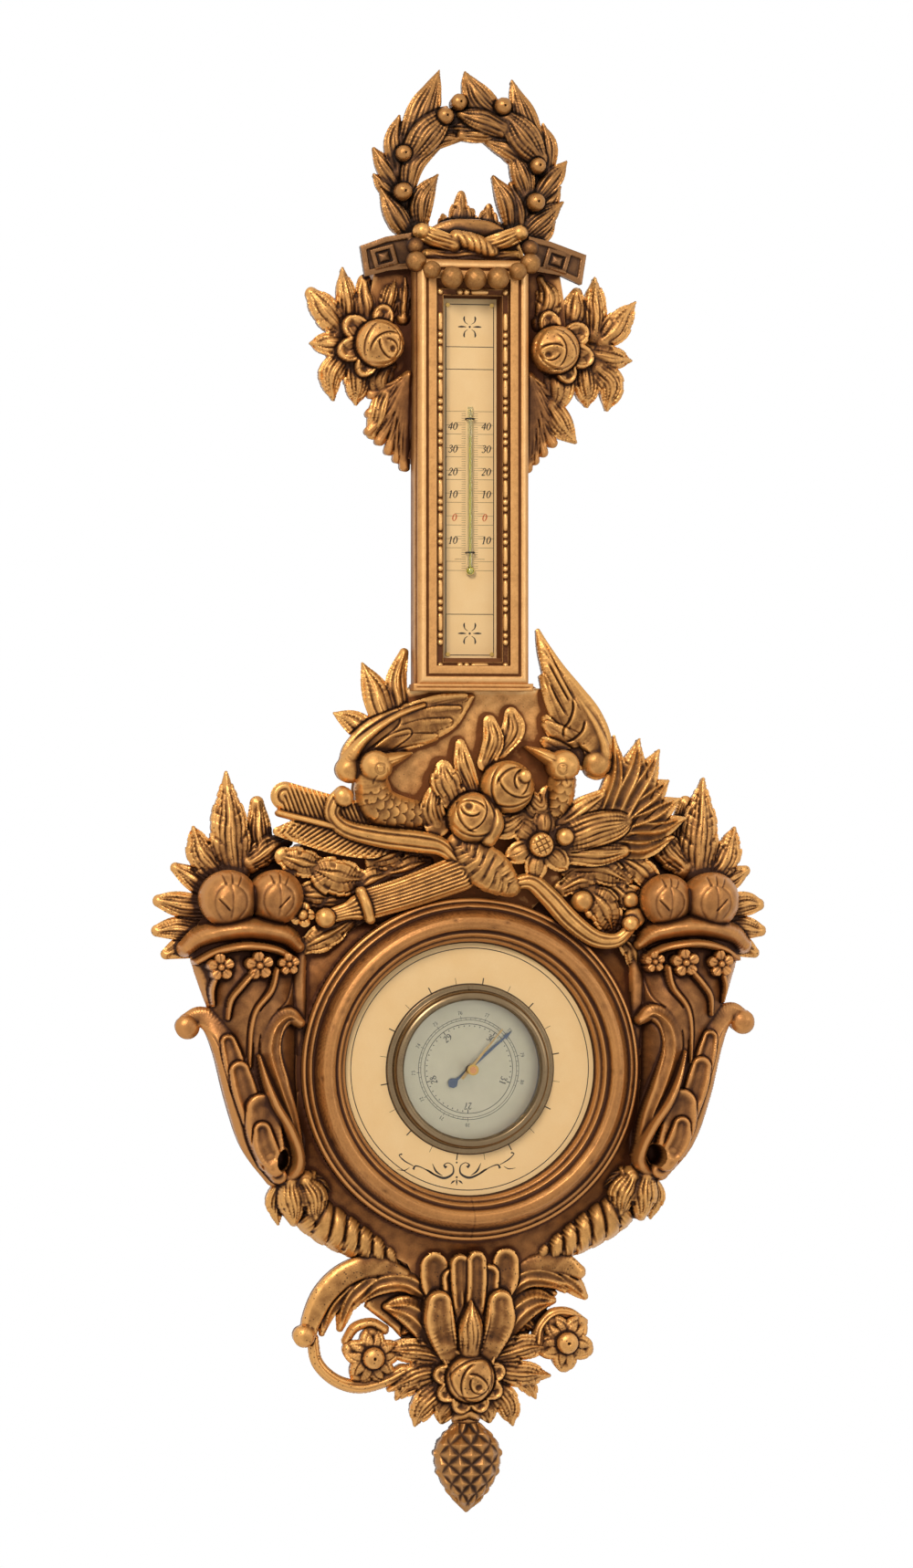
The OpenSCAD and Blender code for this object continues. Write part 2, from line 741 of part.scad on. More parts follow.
module hairspring() {
    color("#5b6a8c") on_dial() translate([0, 0, drum_p + drum_t + 0.1]) {
        linear_extrude(0.5) polygon(concat(
            [for (i = [0 : spiral_steps]) spiral_point(i, 1)],
            [for (i = [spiral_steps : -1 : 0]) spiral_point(i, -1)]
        ));
        translate([hairspring_out, 0, -(drum_t + 0.1) - 0.35]) cylinder(h = drum_t + 0.95, r = 0.5, $fn = 16);
        translate([drum_r + 0.3, -0.5, -(drum_t + 0.1) - 0.35]) cube([hairspring_out - drum_r - 0.3, 1, 0.3]);
    }
}

module chain() {
    link_l = 1.6;
    chain_p = drum_p + drum_t / 2;
    x0 = drum_r + 1.6;
    n = floor((rocker_x - 2.4 - x0) / link_l);
    slope = atan2(rocker_arm_y + drum_r, rocker_x - x0);
    color(brass) on_dial() translate([x0, -drum_r - 0.6, chain_p]) rotate([0, 0, slope]) union() {
        translate([0, -0.15, -0.15]) cube([n * link_l, 0.3, 0.3]);
        for (i = [0 : n - 1]) translate([(i + 0.5) * link_l, 0, 0]) cube([1, 0.7, 0.5], center = true);
    }
}

module adjusting_screw() {
    head_t = 1.4;
    color(steel) on_dial() difference() {
        union() {
            translate([screw_x, 0, case_back - head_t]) cylinder(h = mplate_front + 1 - case_back + head_t, r = screw_r, $fn = 32);
            translate([screw_x, 0, case_back - head_t]) cylinder(h = head_t - pivot_gap, r = 2.8, $fn = 32);
        }
        translate([screw_x - 3, -0.3, case_back - head_t - through]) cube([6, 0.6, through + 0.6]);
    }
}

module pressure_hand() {
    blade_t = 0.5;
    tail = 12;
    color("#2f3f6b") on_dial() difference() {
        rotate([0, 0, -hand_deg]) union() {
            translate([0, 0, hub_back]) cylinder(h = hub_front - hub_back, r = hub_r, $fn = 48);
            translate([0, 0, hub_back + 0.5]) linear_extrude(blade_t) {
                polygon([[-1.2, 0], [-0.55, hand_l - 6], [-1.5, hand_l - 6.5], [0, hand_l],
                         [1.5, hand_l - 6.5], [0.55, hand_l - 6], [1.2, 0]]);
                polygon([[-0.8, 0], [-0.8, -tail + 2], [-3.2, -tail - 1], [-2.6, -tail - 3.4], [0, -tail - 5],
                         [2.6, -tail - 3.4], [3.2, -tail - 1], [0.8, -tail + 2], [0.8, 0]]);
            }
        }
        translate([0, 0, hub_back - through]) cylinder(h = far, r = arbor_r, $fn = 32);
    }
}

module set_hand() {
    blade_l = hand_l - 3;
    knob_p = glass_front + 0.6;
    color(brass) on_dial() rotate([0, 0, -set_deg]) union() {
        translate([0, 0, set_back]) linear_extrude(set_t)
            polygon([[-1, -8], [-1, 0], [-0.35, blade_l - 3], [-1, blade_l - 4], [0, blade_l],
                     [1, blade_l - 4], [0.35, blade_l - 3], [1, 0], [1, -8]]);
        translate([0, 0, set_back]) cylinder(h = glass_back - 0.2 - set_back, r = 2, $fn = 32);
        translate([0, 0, set_back]) cylinder(h = knob_p + 0.5 - set_back, r = set_r, $fn = 32);
        translate([0, 0, knob_p]) cylinder(h = 1.2, r = 2, $fn = 32);
        translate([0, 0, knob_p + 1.2]) cylinder(h = 2.4, r = knob_r, $fn = 48);
    }
}

// Crest

wreath_stem = [[-31, 33, 3, 18], [-39, 46, 3, 18], [-43, 64, 3.5, 18], [-40, 82, 4, 18], [-28, 97, 4.5, 18],
               [-8, 101, 4.5, 18], [12, 99, 4.5, 18], [30, 93, 4.5, 18], [42, 80, 4, 18], [43, 62, 3.5, 18],
               [38, 46, 3, 18], [31, 33, 3, 18]];
wreath_leaves = [
    [[-35, 30, 4, 14], [-45, 46, 5, 17], [-54, 58, 1, 12]],
    [[-28, 36, 3, 14], [-27, 54, 5.5, 18], [-18, 68, 1, 12]],
    [[-44, 56, 4, 12], [-52, 62, 4, 13], [-58, 68, 1, 10]],
    [[-45, 62, 4, 12], [-52, 74, 4.5, 14], [-58, 84, 1.5, 10]],
    [[-45, 72, 4, 12], [-45, 90, 5.5, 14], [-42, 105, 1, 10]],
    [[-36, 62, 4, 16], [-33, 75, 5, 18], [-18, 84, 1.5, 14]],
    [[-37, 84, 5, 14], [-27, 108, 9, 17], [-16.5, 134, 0.8, 10]],
    [[-34, 84, 5, 18], [-24, 95, 8, 21], [-16, 104, 5, 17]],
    [[-28, 86, 3, 14], [-14, 90, 4, 15], [-3, 91, 2, 12]],
    [[20, 108, 4, 14], [9, 118, 7.5, 17], [0, 133.5, 0.8, 10]],
    [[22, 99, 4, 18], [8, 103, 5.5, 20], [-2, 106, 3, 15]],
    [[-2, 95, 3, 14], [8, 95, 4, 16], [20, 95, 3, 14]],
    [[45, 80, 4, 14], [37, 106, 6.5, 16], [30, 129, 0.8, 10]],
    [[45, 82, 4, 18], [36, 93, 8.5, 21], [27, 103, 5, 17]],
    [[42, 80, 4, 14], [27, 86, 5, 16], [12, 91, 1.5, 12]],
    [[54, 76, 3.5, 12], [53, 89, 4.5, 13], [50, 102, 1.2, 10]],
    [[38, 59, 4, 16], [35, 70, 6, 18], [31, 80, 3, 14]],
    [[49, 58, 3.5, 14], [57, 69, 5, 15], [65, 79, 1, 10]],
    [[50, 52, 3, 12], [57, 57, 3.5, 12], [61, 63, 1, 9]],
    [[29, 36, 3, 14], [25, 54, 5, 18], [19, 67, 1.5, 12]],
    [[34, 34, 3, 14], [33, 50, 4.5, 17], [29, 63, 1.5, 12]],
    [[36, 30, 4, 14], [48, 42, 5.5, 17], [62, 53, 1, 12]],
    [[43, 27, 3.5, 12], [51, 33, 4.5, 14], [57, 40, 1.5, 10]]
];
wreath_berries = [[-40.5, 81, 5, 22], [-41, 57, 6, 24], [-5, 114, 6.5, 20], [23, 112, 6, 20], [45, 75, 5, 22],
                  [43.5, 52, 6.5, 24]];
flame_strokes = [
    [[-22, 33, 3.5, 14], [-8, 35.5, 4, 15], [8, 35.5, 4, 15], [24, 34, 3.5, 14]],
    [[-12, 37, 4, 10], [-13, 42, 1.5, 8]],
    [[-3, 38, 8, 11], [-3, 50, 4.5, 10], [-2, 57, 1.5, 8]],
    [[8, 38, 6, 10], [6, 47, 3, 9]],
    [[16, 38, 6, 11], [16, 49, 2.5, 8]]
];
knot_strokes = [
    [[-32, 32, 4, 14], [-22, 26, 4.5, 16], [-10, 24, 3, 14]],
    [[32, 32, 4, 14], [22, 27, 5, 16], [10, 25, 3, 14]],
    [[-7, 28, 4, 18], [2, 22, 6, 22], [12, 17, 4, 18]],
    [[-25, 20, 4, 14], [-12, 17.5, 4.5, 16], [0, 18, 4, 16], [13, 17.5, 4.5, 16], [27, 20, 4, 14]]
];

module crest_wreath() {
    carved(gilt) difference() {
        by_top() {
            stroke(wreath_stem, edge_back);
            strokes(wreath_leaves, edge_back);
            bosses(wreath_berries, edge_back);
        }
        by_top() shades(flame_strokes, 0);
        by_top() shades(knot_strokes, knot_back);
    }
}

knot_back = board_t;

module crest_flame() {
    carved(bole) difference() {
        by_top() strokes(flame_strokes, edge_back);
        by_top() shades(knot_strokes, knot_back);
    }
}

pearls = [[0, 0.8, 7.2, 46], [14.6, 1.5, 7.2, 46], [27.2, 6, 5.6, 46], [33.5, 14.5, 5, 34], [31.5, 22.6, 4.6, 32]];

module pearl(s, back) {
    translate([s[0], s[1], back]) {
        sphere(r = s[2], $fn = 32);
        cylinder(h = 1, r = 1, $fn = 16);
    }
}

module pearl_swag() {
    color(gilt) front() by_top() difference() {
        for (s = pearls)
            for (side = (s[0] == 0 ? [1] : [-1, 1]))
                intersection() {
                    translate([side * s[0], s[1], pearl_axis(s)]) sphere(r = s[2] - 0.15, $fn = 32);
                    translate([-far, -far, pearl_floor(s)]) cube([2 * far, 2 * far, far]);
                }
        translate([-case_half - cut_gap, -far, -far]) cube([2 * (case_half + cut_gap), far + drawn_case_top + cut_gap, far + case_front]);
    }
}

// The lower pearls lie on the case front, the upper two of each side in front of its top edge
function pearl_floor(s) = s[3] > 40 ? case_front : board_t + 16;
function pearl_axis(s) = s[3] > 40 ? case_front + s[2] * 0.55 : board_t + 16 + s[2] * 0.5;

module ribbon_knot() {
    carved(gilt) difference() {
        by_top() strokes(knot_strokes, knot_back);
        by_top() for (s = pearls) for (side = [-1, 1])
            translate([side * s[0], s[1], 0]) translate([0, 0, pearl_axis(s)]) sphere(r = s[2] + cut_gap, $fn = 24);
    }
}

// Key-pattern band that stands out on both sides of the case

band_left = [[-69, 22], [-53, 28], [-38, 31], [-36, 9], [-51, 7], [-66, 3]];
band_right = [[38, 30], [52, 27], [75, 19], [72, 0], [58, 6], [37, 9]];
band_h = 7;

module band_outline() {
    by_side(-1) polygon(band_left);
    by_side(1) polygon(band_right);
}

module fret_band() {
    rim = 2.4;
    carved(gilt) difference() {
        translate([0, 0, board_t]) linear_extrude(band_h) band_outline();
        translate([0, 0, board_t + band_h - 1.2]) linear_extrude(far) difference() {
            offset(delta = -rim) band_outline();
            offset(delta = -2 * rim) band_outline();
        }
        by_top() shades(knot_strokes, 0);
        by_top() shades(wreath_leaves, 0);
        by_top() shades([wreath_stem], 0);
        by_top() for (s = pearls) for (side = [-1, 1])
            translate([side * s[0], s[1], pearl_axis(s)]) sphere(r = s[2] + cut_gap, $fn = 24);
    }
}

// Rose sprays beside the case

spray_left_leaves = [
    [[-73, -24, 4, 16], [-77, -8, 6, 19], [-78.5, 9, 0.8, 12]],
    [[-64, -24, 5, 18], [-65, -10, 6, 20], [-66, 1, 3, 15]],
    [[-80, -27, 5, 16], [-89, -17, 8, 19], [-98, -9, 4, 14]],
    [[-76, -38, 5, 16], [-88, -39, 6.5, 19], [-98.5, -38, 0.8, 12]],
    [[-76, -50, 6, 18], [-86, -59, 7, 20], [-85, -71, 1.5, 12]],
    [[-68, -54, 8, 18], [-70, -64, 5, 18], [-70, -76, 0.8, 11]],
    [[-50, -20, 6, 20], [-48, -6, 6, 21], [-44, 4, 2, 16]],
    [[-46, -56, 7, 20], [-58, -60, 8, 20], [-64, -62, 4, 16]]
];
spray_right_leaves = [
    [[80, -28, 4, 16], [83, -11, 6.5, 19], [82.5, 6, 0.8, 12]],
    [[70, -24, 5, 18], [71, -12, 5, 20], [73, -3, 2.5, 15]],
    [[62, -22, 4, 20], [65, -12, 4, 20], [66, -8, 3, 18]],
    [[84, -36, 5, 16], [97, -25, 8, 19], [109, -9, 0.8, 12]],
    [[78, -46, 5, 16], [93, -45, 7, 19], [106, -46, 0.8, 12]],
    [[80, -54, 6, 18], [91, -63, 8, 20], [90, -77, 1.2, 12]],
    [[72, -58, 6, 18], [77, -66, 5.5, 18], [77, -75, 1.2, 12]],
    [[54, -60, 8, 20], [59, -68, 9, 22], [58, -75, 5, 18]],
    [[60, -78, 5, 18], [65, -88, 5, 18], [70, -98, 1.2, 12]],
    [[44, -22, 5, 21], [50, -10, 7, 22], [46, 3, 3, 18]]
];
rose_left = [[-57, -38, 17, 16], [-50, -41, 9, 20]];
rose_right = [[61, -41, 17.5, 16], [52, -42, 9, 20]];

module rose_spray_left() {
    carved(gilt_light) difference() {
        by_side(-1) {
            strokes(spray_left_leaves, edge_back);
            translate([0, 0, ground_front]) bosses(rose_left, 0);
            translate([rose_left[0][0], rose_left[0][1], board_t]) cylinder(h = ground_t + 0.5, r = 12, $fn = 16);
        }
        translate([0, 0, -far]) linear_extrude(2 * far) offset(delta = cut_gap) band_outline();
        flute_blocks();
    }
}

module rose_spray_right() {
    carved(gilt_light) difference() {
        by_side(1) {
            strokes(spray_right_leaves, edge_back);
            translate([0, 0, ground_front]) bosses(rose_right, 0);
            translate([rose_right[0][0], rose_right[0][1], board_t]) cylinder(h = ground_t + 0.5, r = 12, $fn = 16);
        }
        translate([0, 0, -far]) linear_extrude(2 * far) offset(delta = cut_gap) band_outline();
        flute_blocks();
    }
}

// Fluted shells that taper down along the case sides

shell_top = -66;
shell_tips = [[62, -70], [62, -88], [64, -95], [55, -104], [47, -110], [41, -116]];

module flute_outline(side) {
    by_side(side) polygon([for (t = concat([[37, shell_top]], shell_tips, [[37, -117]])) [side * t[0], t[1]]]);
}

module flute_blocks() {
    for (side = [-1, 1])
        linear_extrude(far) offset(delta = cut_gap) flute_outline(side);
}

module shell_flutes() {
    carved(gilt) intersection() {
        union()
            for (side = [-1, 1]) by_side(side)
                for (t = shell_tips)
                    hull() {
                        translate([side * 38, shell_top + 2, edge_back]) cylinder(h = 24, r = 2, $fn = 8);
                        translate([side * (t[0] - 2), t[1] + 1, edge_back]) cylinder(h = 16, r = 5, $fn = 8);
                    }
        linear_extrude(far) for (side = [-1, 1]) flute_outline(side);
    }
}

// Trophy below the thermometer

module ground_outline() {
    by_foot() polygon([
        [-46, -256], [-60, -272], [-70, -292], [-74, -318], [-62, -340], [-66, -372], [-40, -392],
        [40, -392], [60, -372], [56, -340], [64, -318], [66, -292], [62, -276], [46, -256]
    ]);
}

module trophy_ground() {
    color(gilt_light) front() difference() {
        translate([0, 0, board_t]) linear_extrude(ground_t) ground_outline();
        translate([0, -dial_drop, 0]) cylinder(h = far, r = ring_r + cut_gap, $fn = smooth_fn);
        case_block();
    }
}

dove_l_strokes = [
    [[-60, -302, 10, 26], [-62, -316, 12, 24], [-54, -328, 13, 20], [-38, -330, 10, 16], [-26, -330, 7, 12]],
    [[-60, -300, 7, 28], [-50, -297, 3, 24], [-39, -294, 0.8, 20]],
    [[-74, -303, 8, 14], [-68, -288, 11, 18], [-50, -278, 12, 16], [-28, -272, 9, 12], [-8, -262, 4, 8]],
    [[-60, -290, 7, 12], [-40, -284, 9, 12], [-20, -278, 6, 9]]
];
dove_r_strokes = [
    [[60, -301, 9, 26], [60, -316, 8, 24], [56, -328, 9, 20], [50, -338, 6, 14]],
    [[60, -299, 6, 28], [50, -296, 3, 24], [38, -291, 0.8, 20]],
    [[79, -296, 8, 14], [72, -284, 12, 18], [62, -268, 10, 16], [52, -248, 7, 12], [45, -222, 2.5, 8]],
    [[64, -290, 9, 14], [54, -278, 7, 12], [50, -262, 6, 10]]
];
sprig_strokes = [
    [[-54, -272, 5, 24], [-60, -254, 7, 20], [-67, -238, 0.8, 11]],
    [[-62, -282, 6, 24], [-72, -274, 6, 19], [-83, -269, 0.8, 10]],
    [[-46, -270, 4, 24], [-47, -250, 5, 18], [-43, -230, 2, 12]]
];
bouquet_bosses = [[23, -315, 17, 26], [0, -334, 15.5, 28], [32, -305, 6, 30]];
bouquet_strokes = [
    [[-10, -326, 5, 14], [-16, -312, 8.5, 15], [-17, -305, 5, 12]],
    [[0, -316, 4, 12], [-5, -302, 5, 14], [-7, -288, 3, 10]],
    [[10, -298, 4, 10], [14, -286, 6, 12], [13, -275, 4, 9]],
    [[20, -292, 4, 8], [27, -278, 6.5, 9], [27, -270, 4, 7]],
    [[36, -322, 5, 12], [44, -326, 7, 13], [47, -318, 4, 10]],
    [[14, -336, 3, 18], [16, -328, 4, 20]]
];

module dove_left() {
    carved(gilt) difference() {
        by_foot() union() {
            strokes(dove_l_strokes, motif_back);
            strokes(sprig_strokes, edge_back);
        }
        translate([0, 0, -far]) linear_extrude(far + ground_front) offset(delta = cut_gap) ground_outline();
        bouquet_block();
        trophy_blocks(["bow", "arrow"]);
    }
}

module dove_right() {
    carved(gilt) difference() {
        by_foot() strokes(dove_r_strokes, motif_back);
        bouquet_block();
        trophy_blocks(["torch", "daisy"]);
    }
}

module bouquet_block() {
    by_foot() {
        shades(bouquet_strokes, motif_back);
        boss_shades(bouquet_bosses, motif_back);
    }
}

module bouquet() {
    carved(gilt) difference() {
        by_foot() {
            strokes(bouquet_strokes, motif_back);
            bosses(bouquet_bosses, motif_back);
        }
        trophy_blocks(["bow", "arrow", "quiver", "daisy", "torch"]);
    }
}

arrow_strokes = [
    [[-119, -313, 2, 8], [-108, -323, 10, 10], [-88, -330, 11, 10], [-68, -336, 10, 10], [-56, -342, 5, 9]],
    [[-124, -346, 1.5, 6], [-108, -343, 7, 9], [-86, -348, 9, 10], [-66, -352, 7, 10], [-54, -354, 3, 8]]
];
bow_strokes = [
    [[-84, -323, 6, 14], [-87, -333, 4.5, 13], [-77, -342, 5, 14], [-58, -346, 5.5, 15], [-34, -349, 6, 16],
     [-20, -352, 5, 16], [-10, -360, 4, 15]],
    [[24, -375, 4, 14], [36, -374, 4.5, 15], [48, -384, 5, 16], [62, -398, 5, 16], [77, -408, 4.5, 14],
     [92, -408, 4, 13], [100, -402, 4, 12]]
];
quiver_strokes = [
    [[-66, -388, 8, 13], [-40, -380, 9.5, 17], [-12, -370, 10.5, 19]],
    [[-86, -394, 5.5, 11], [-70, -389, 5.5, 12]],
    [[-3, -358, 8, 20], [6, -364, 11, 23], [17, -372, 9, 21]]
];
quiver_bosses = [[-93, -396, 6, 13]];
torch_strokes = [
    [[57, -350, 8, 14], [72, -344, 10, 17], [88, -340, 11, 17], [100, -336, 9, 14]],
    [[60, -338, 6, 14], [74, -328, 7, 15], [82, -320, 4, 13]],
    [[84, -334, 7, 12], [93, -312, 8, 14], [93, -284, 1, 9]],
    [[92, -332, 7, 12], [102, -310, 8, 14], [108, -286, 1, 9]],
    [[98, -332, 7, 12], [110, -312, 7, 13], [120, -293, 1, 8]],
    [[100, -334, 6, 12], [115, -320, 6, 12], [126, -312, 1, 8]],
    [[102, -338, 6, 12], [118, -329, 6, 12], [133, -323, 1, 8]],
    [[100, -342, 7, 12], [118, -338, 6, 12], [137, -335, 1, 8]],
    [[96, -350, 6, 12], [112, -350, 5, 11], [128, -346, 1, 8]],
    [[66, -355, 5, 12], [80, -355, 6, 13], [94, -356, 4, 10]]
];
daisy_petals = [for (a = [20 : 60 : 320]) [[43 + 10 * cos(a), -351 + 10 * sin(a), 4, 9], [43 + 18 * cos(a), -351 + 18 * sin(a), 5, 8]]];
daisy_bosses = [[43, -351, 7.5, 13], [57.5, -346, 5.5, 11]];
garland_strokes = [
    [[-118, -362, 3, 12], [-108, -361, 8, 16], [-98, -358, 4, 13]],
    [[-98, -366, 4, 14], [-84, -370, 10, 18], [-72, -378, 5, 14]],
    [[-66, -376, 4, 12], [-58, -372, 6, 14]],
    [[-58, -358, 4, 12], [-50, -357, 6.5, 14], [-44, -354, 4, 12]],
    [[-48, -366, 4, 12], [-36, -364, 7, 14], [-28, -364, 4, 12]],
    [[-108, -382, 4, 12], [-98, -383, 8, 15], [-90, -386, 5, 13]],
    [[-104, -410, 5, 13], [-92, -406, 6, 14], [-78, -400, 4, 12]],
    [[70, -362, 5, 13], [86, -364, 9, 16], [102, -372, 4, 13]],
    [[104, -362, 5, 12], [112, -368, 6, 13], [120, -376, 3, 11]],
    [[62, -378, 4, 12], [72, -374, 5, 14], [84, -375, 1.5, 10]],
    [[80, -382, 5, 13], [88, -393, 9, 15], [90, -402, 5, 12]],
    [[96, -412, 4, 12], [102, -418, 6, 13], [100, -428, 5, 12]]
];
garland_bosses = [[-107, -393, 6.5, 20], [72, -385, 6, 19], [104, -396, 6.5, 18], [98, -382, 6, 15]];

arrow_back = ground_front;
bow_back = ground_front + 6;
quiver_back = ground_front;
torch_back = ground_front;
daisy_back = ground_front + 8;

function in_list(name, list) = len([for (n = list) if (n == name) 1]) > 0;

// The space of the trophy's upper pieces, cut out of what they lie on
module trophy_blocks(names) {
    by_dial() {
        if (in_list("bow", names)) shades(bow_strokes, bow_back);
        if (in_list("arrow", names)) shades(arrow_strokes, arrow_back);
        if (in_list("quiver", names)) {
            shades(quiver_strokes, quiver_back);
            boss_shades(quiver_bosses, quiver_back);
        }
        if (in_list("torch", names)) shades(torch_strokes, torch_back);
        if (in_list("daisy", names)) {
            shades(daisy_petals, daisy_back);
            boss_shades(daisy_bosses, daisy_back);
        }
    }
}

module arrow() {
    carved(gilt) difference() {
        by_dial() strokes(arrow_strokes, arrow_back);
        trophy_blocks(["bow"]);
    }
}

module bow() { carved(gilt) difference() { by_dial() strokes(bow_strokes, bow_back); trophy_blocks(["quiver"]); } }

module quiver() {
    carved(gilt) by_dial() {
        strokes(quiver_strokes, quiver_back);
        bosses(quiver_bosses, quiver_back);
    }
}

module torch_plume() {
    carved(gilt) difference() {
        by_dial() strokes(torch_strokes, torch_back);
        trophy_blocks(["daisy"]);
    }
}

module daisy() {
    carved(gilt_light) difference() {
        by_dial() {
            strokes(daisy_petals, daisy_back);
            bosses(daisy_bosses, daisy_back);
        }
        trophy_blocks(["bow", "quiver"]);
    }
}

module garland_leaves() {
    carved(gilt) difference() {
        by_dial() {
            strokes(garland_strokes, garland_back);
            bosses(garland_bosses, garland_back);
        }
        translate([0, 0, -far]) linear_extrude(far + ground_front) offset(delta = cut_gap) ground_outline();
        trophy_blocks(["bow", "arrow", "quiver", "torch", "daisy"]);
        horn_blocks();
        fruit_blocks();
    }
}

garland_back = board_t - 6;

// Horns of plenty at both sides of the dial, drawn for the left side

horn_rim = [[-177, -413, 6, 24], [-166, -405, 7.5, 32], [-143, -402, 8.5, 40], [-119, -405, 7.5, 36],
            [-108, -413, 6, 28]];
horn_body = [[-141, -426, 32, 34], [-138, -440, 26, 38], [-133, -462, 22, 38], [-129, -490, 20, 34],
             [-124, -520, 17, 28], [-119, -545, 12, 22], [-118, -553, 8, 18]];
horn_leaf = [[-176, -465, 8.5, 22], [-168, -460, 6.5, 20], [-157, -468, 7.5, 22], [-150, -490, 8, 26],
             [-144, -515, 9, 28], [-134, -540, 9, 26], [-124, -553, 8, 22]];
horn_tongue = [[-138, -504, 3, 40], [-128, -512, 6, 38], [-116, -535, 5, 32], [-112, -548, 4, 28]];
horn_florets = [[-157, -426, 6, 46], [-135, -424, 7, 48], [-116, -425, 6, 44]];
eye_place = [-118.5, -546];

module horn_shape() {
    stroke(horn_rim, edge_back);
    stroke(horn_body, edge_back);
    stroke(horn_leaf, edge_back);
    stroke(horn_tongue, edge_back);
    bosses(horn_florets, edge_back);
}

module horn(side) {
    carved(gilt) difference() {
        by_ring(side) mirror([side > 0 ? 1 : 0, 0, 0]) difference() {
            horn_shape();
            translate([eye_place[0], eye_place[1], edge_back + 8]) scale([0.65, 1, 1]) cylinder(h = far, r = 7, $fn = 20);
            shades([rope_path], rope_back);
            shades(husk_strokes, rope_back);
        }
    }
}

module horn_blocks() {
    for (side = [-1, 1]) by_ring(side) mirror([side > 0 ? 1 : 0, 0, 0]) {
        shades([horn_rim, horn_body, horn_leaf], 0);
    }
}

module horn_left() { horn(-1); }
module horn_right() { horn(1); }

fruit_left_bosses = [[-153, -384, 18, 30], [-123, -383, 17, 28]];
fruit_right_bosses = [[125, -386, 16.5, 28], [154, -386, 17.5, 30]];
fruit_back = board_t - 2;

module fruit_blocks() {
    by_ring(-1) boss_shades(fruit_left_bosses, 0);
    by_ring(1) boss_shades(fruit_right_bosses, 0);
}

module fruit_left() { fruit(-1, fruit_left_bosses); }
module fruit_right() { fruit(1, fruit_right_bosses); }

// The outer fruit of each pair lies partly behind the inner one
module fruit(side, list) {
    inner = abs(list[0][0]) < abs(list[1][0]) ? list[0] : list[1];
    outer = abs(list[0][0]) < abs(list[1][0]) ? list[1] : list[0];
    carved(gilt) by_ring(side) difference() {
        union() {
            boss(inner, fruit_back);
            difference() {
                boss(outer, fruit_back);
                translate([inner[0], inner[1], 0]) cylinder(h = far, r = inner[2] + cut_gap, $fn = 20);
            }
        }
        mirror([side > 0 ? 1 : 0, 0, 0]) shades([horn_rim, horn_body], 0);
    }
}

foliage_left_strokes = [
    [[-147, -372, 8, 18], [-148, -336, 9.5, 18], [-149, -306, 1.5, 10]],
    [[-156, -374, 8, 18], [-166, -352, 8, 16], [-170, -341, 1, 9]],
    [[-132, -356, 5, 16], [-132, -336, 4.5, 13], [-131, -320, 1.5, 9]],
    [[-136, -362, 6, 18], [-124, -352, 6, 16], [-116, -350, 4, 14]],
    [[-160, -384, 6, 16], [-174, -377, 5.5, 14], [-184, -371, 2.5, 9]],
    [[-164, -392, 7, 16], [-182, -389, 6, 13], [-192, -390, 2, 8]],
    [[-166, -402, 7, 16], [-184, -401, 6, 13], [-193, -401, 2.5, 8]],
    [[-164, -412, 6, 14], [-178, -412, 6, 12], [-187, -414, 4, 8]]
];
foliage_right_strokes = [
    [[148, -372, 8, 18], [149, -340, 10, 18], [153, -311, 1, 10]],
    [[158, -374, 7, 18], [167, -356, 7, 16], [174, -342, 1, 9]],
    [[138, -368, 7, 18], [128, -352, 8, 17], [124, -344, 3, 13]],
    [[142, -362, 4, 14], [141, -340, 4, 12], [143, -322, 1.5, 9]],
    [[160, -384, 6, 16], [172, -378, 6, 14], [181, -379, 2.5, 9]],
    [[164, -392, 7, 16], [180, -392, 6, 13], [189, -394, 2, 8]],
    [[166, -402, 7, 16], [182, -403, 6, 13], [191, -405, 2, 8]],
    [[164, -412, 6, 14], [176, -414, 6, 12], [185, -418, 3, 8]]
];

module foliage(side, paths) {
    carved(gilt_light) difference() {
        by_ring(side) strokes(paths, edge_back);
        horn_blocks();
        by_ring(-1) boss_shades(fruit_left_bosses, fruit_back);
        by_ring(1) boss_shades(fruit_right_bosses, fruit_back);
        by_dial() {
            shades(garland_strokes, garland_back);
            shades(arrow_strokes, arrow_back);
            shades(torch_strokes, torch_back);
            boss_shades(garland_bosses, garland_back);
        }
    }
}

module foliage_left() { foliage(-1, foliage_left_strokes); }
module foliage_right() { foliage(1, foliage_right_strokes); }

// Twisted garlands below the dial, each hanging from a husk flower

rope_path = [[-98, -581, 14, 24], [-81, -590, 13.5, 24], [-64, -600, 11.5, 22], [-50, -608, 8.5, 18],
             [-38, -613, 5.5, 14]];
husk_strokes = [
    [[-112, -562, 8, 26], [-110, -574, 9.5, 26], [-108, -578, 7, 22]],
    [[-118, -563, 5, 20], [-120, -574, 4.5, 18], [-118, -584, 1, 12]],
    [[-98, -558, 5, 22], [-92, -563, 4.5, 20]]
];
rope_back = edge_back;

module rope(side) {
    carved(gilt) difference() {
        by_ring(side) mirror([side > 0 ? 1 : 0, 0, 0]) {
            stroke(rope_path, rope_back);
            strokes(husk_strokes, rope_back);
        }
        pendant_blocks();
    }
}

module rope_left() { rope(-1); }
module rope_right() { rope(1); }

// Pendant: palmette, acanthus scrolls, rings of flowers, pine cone

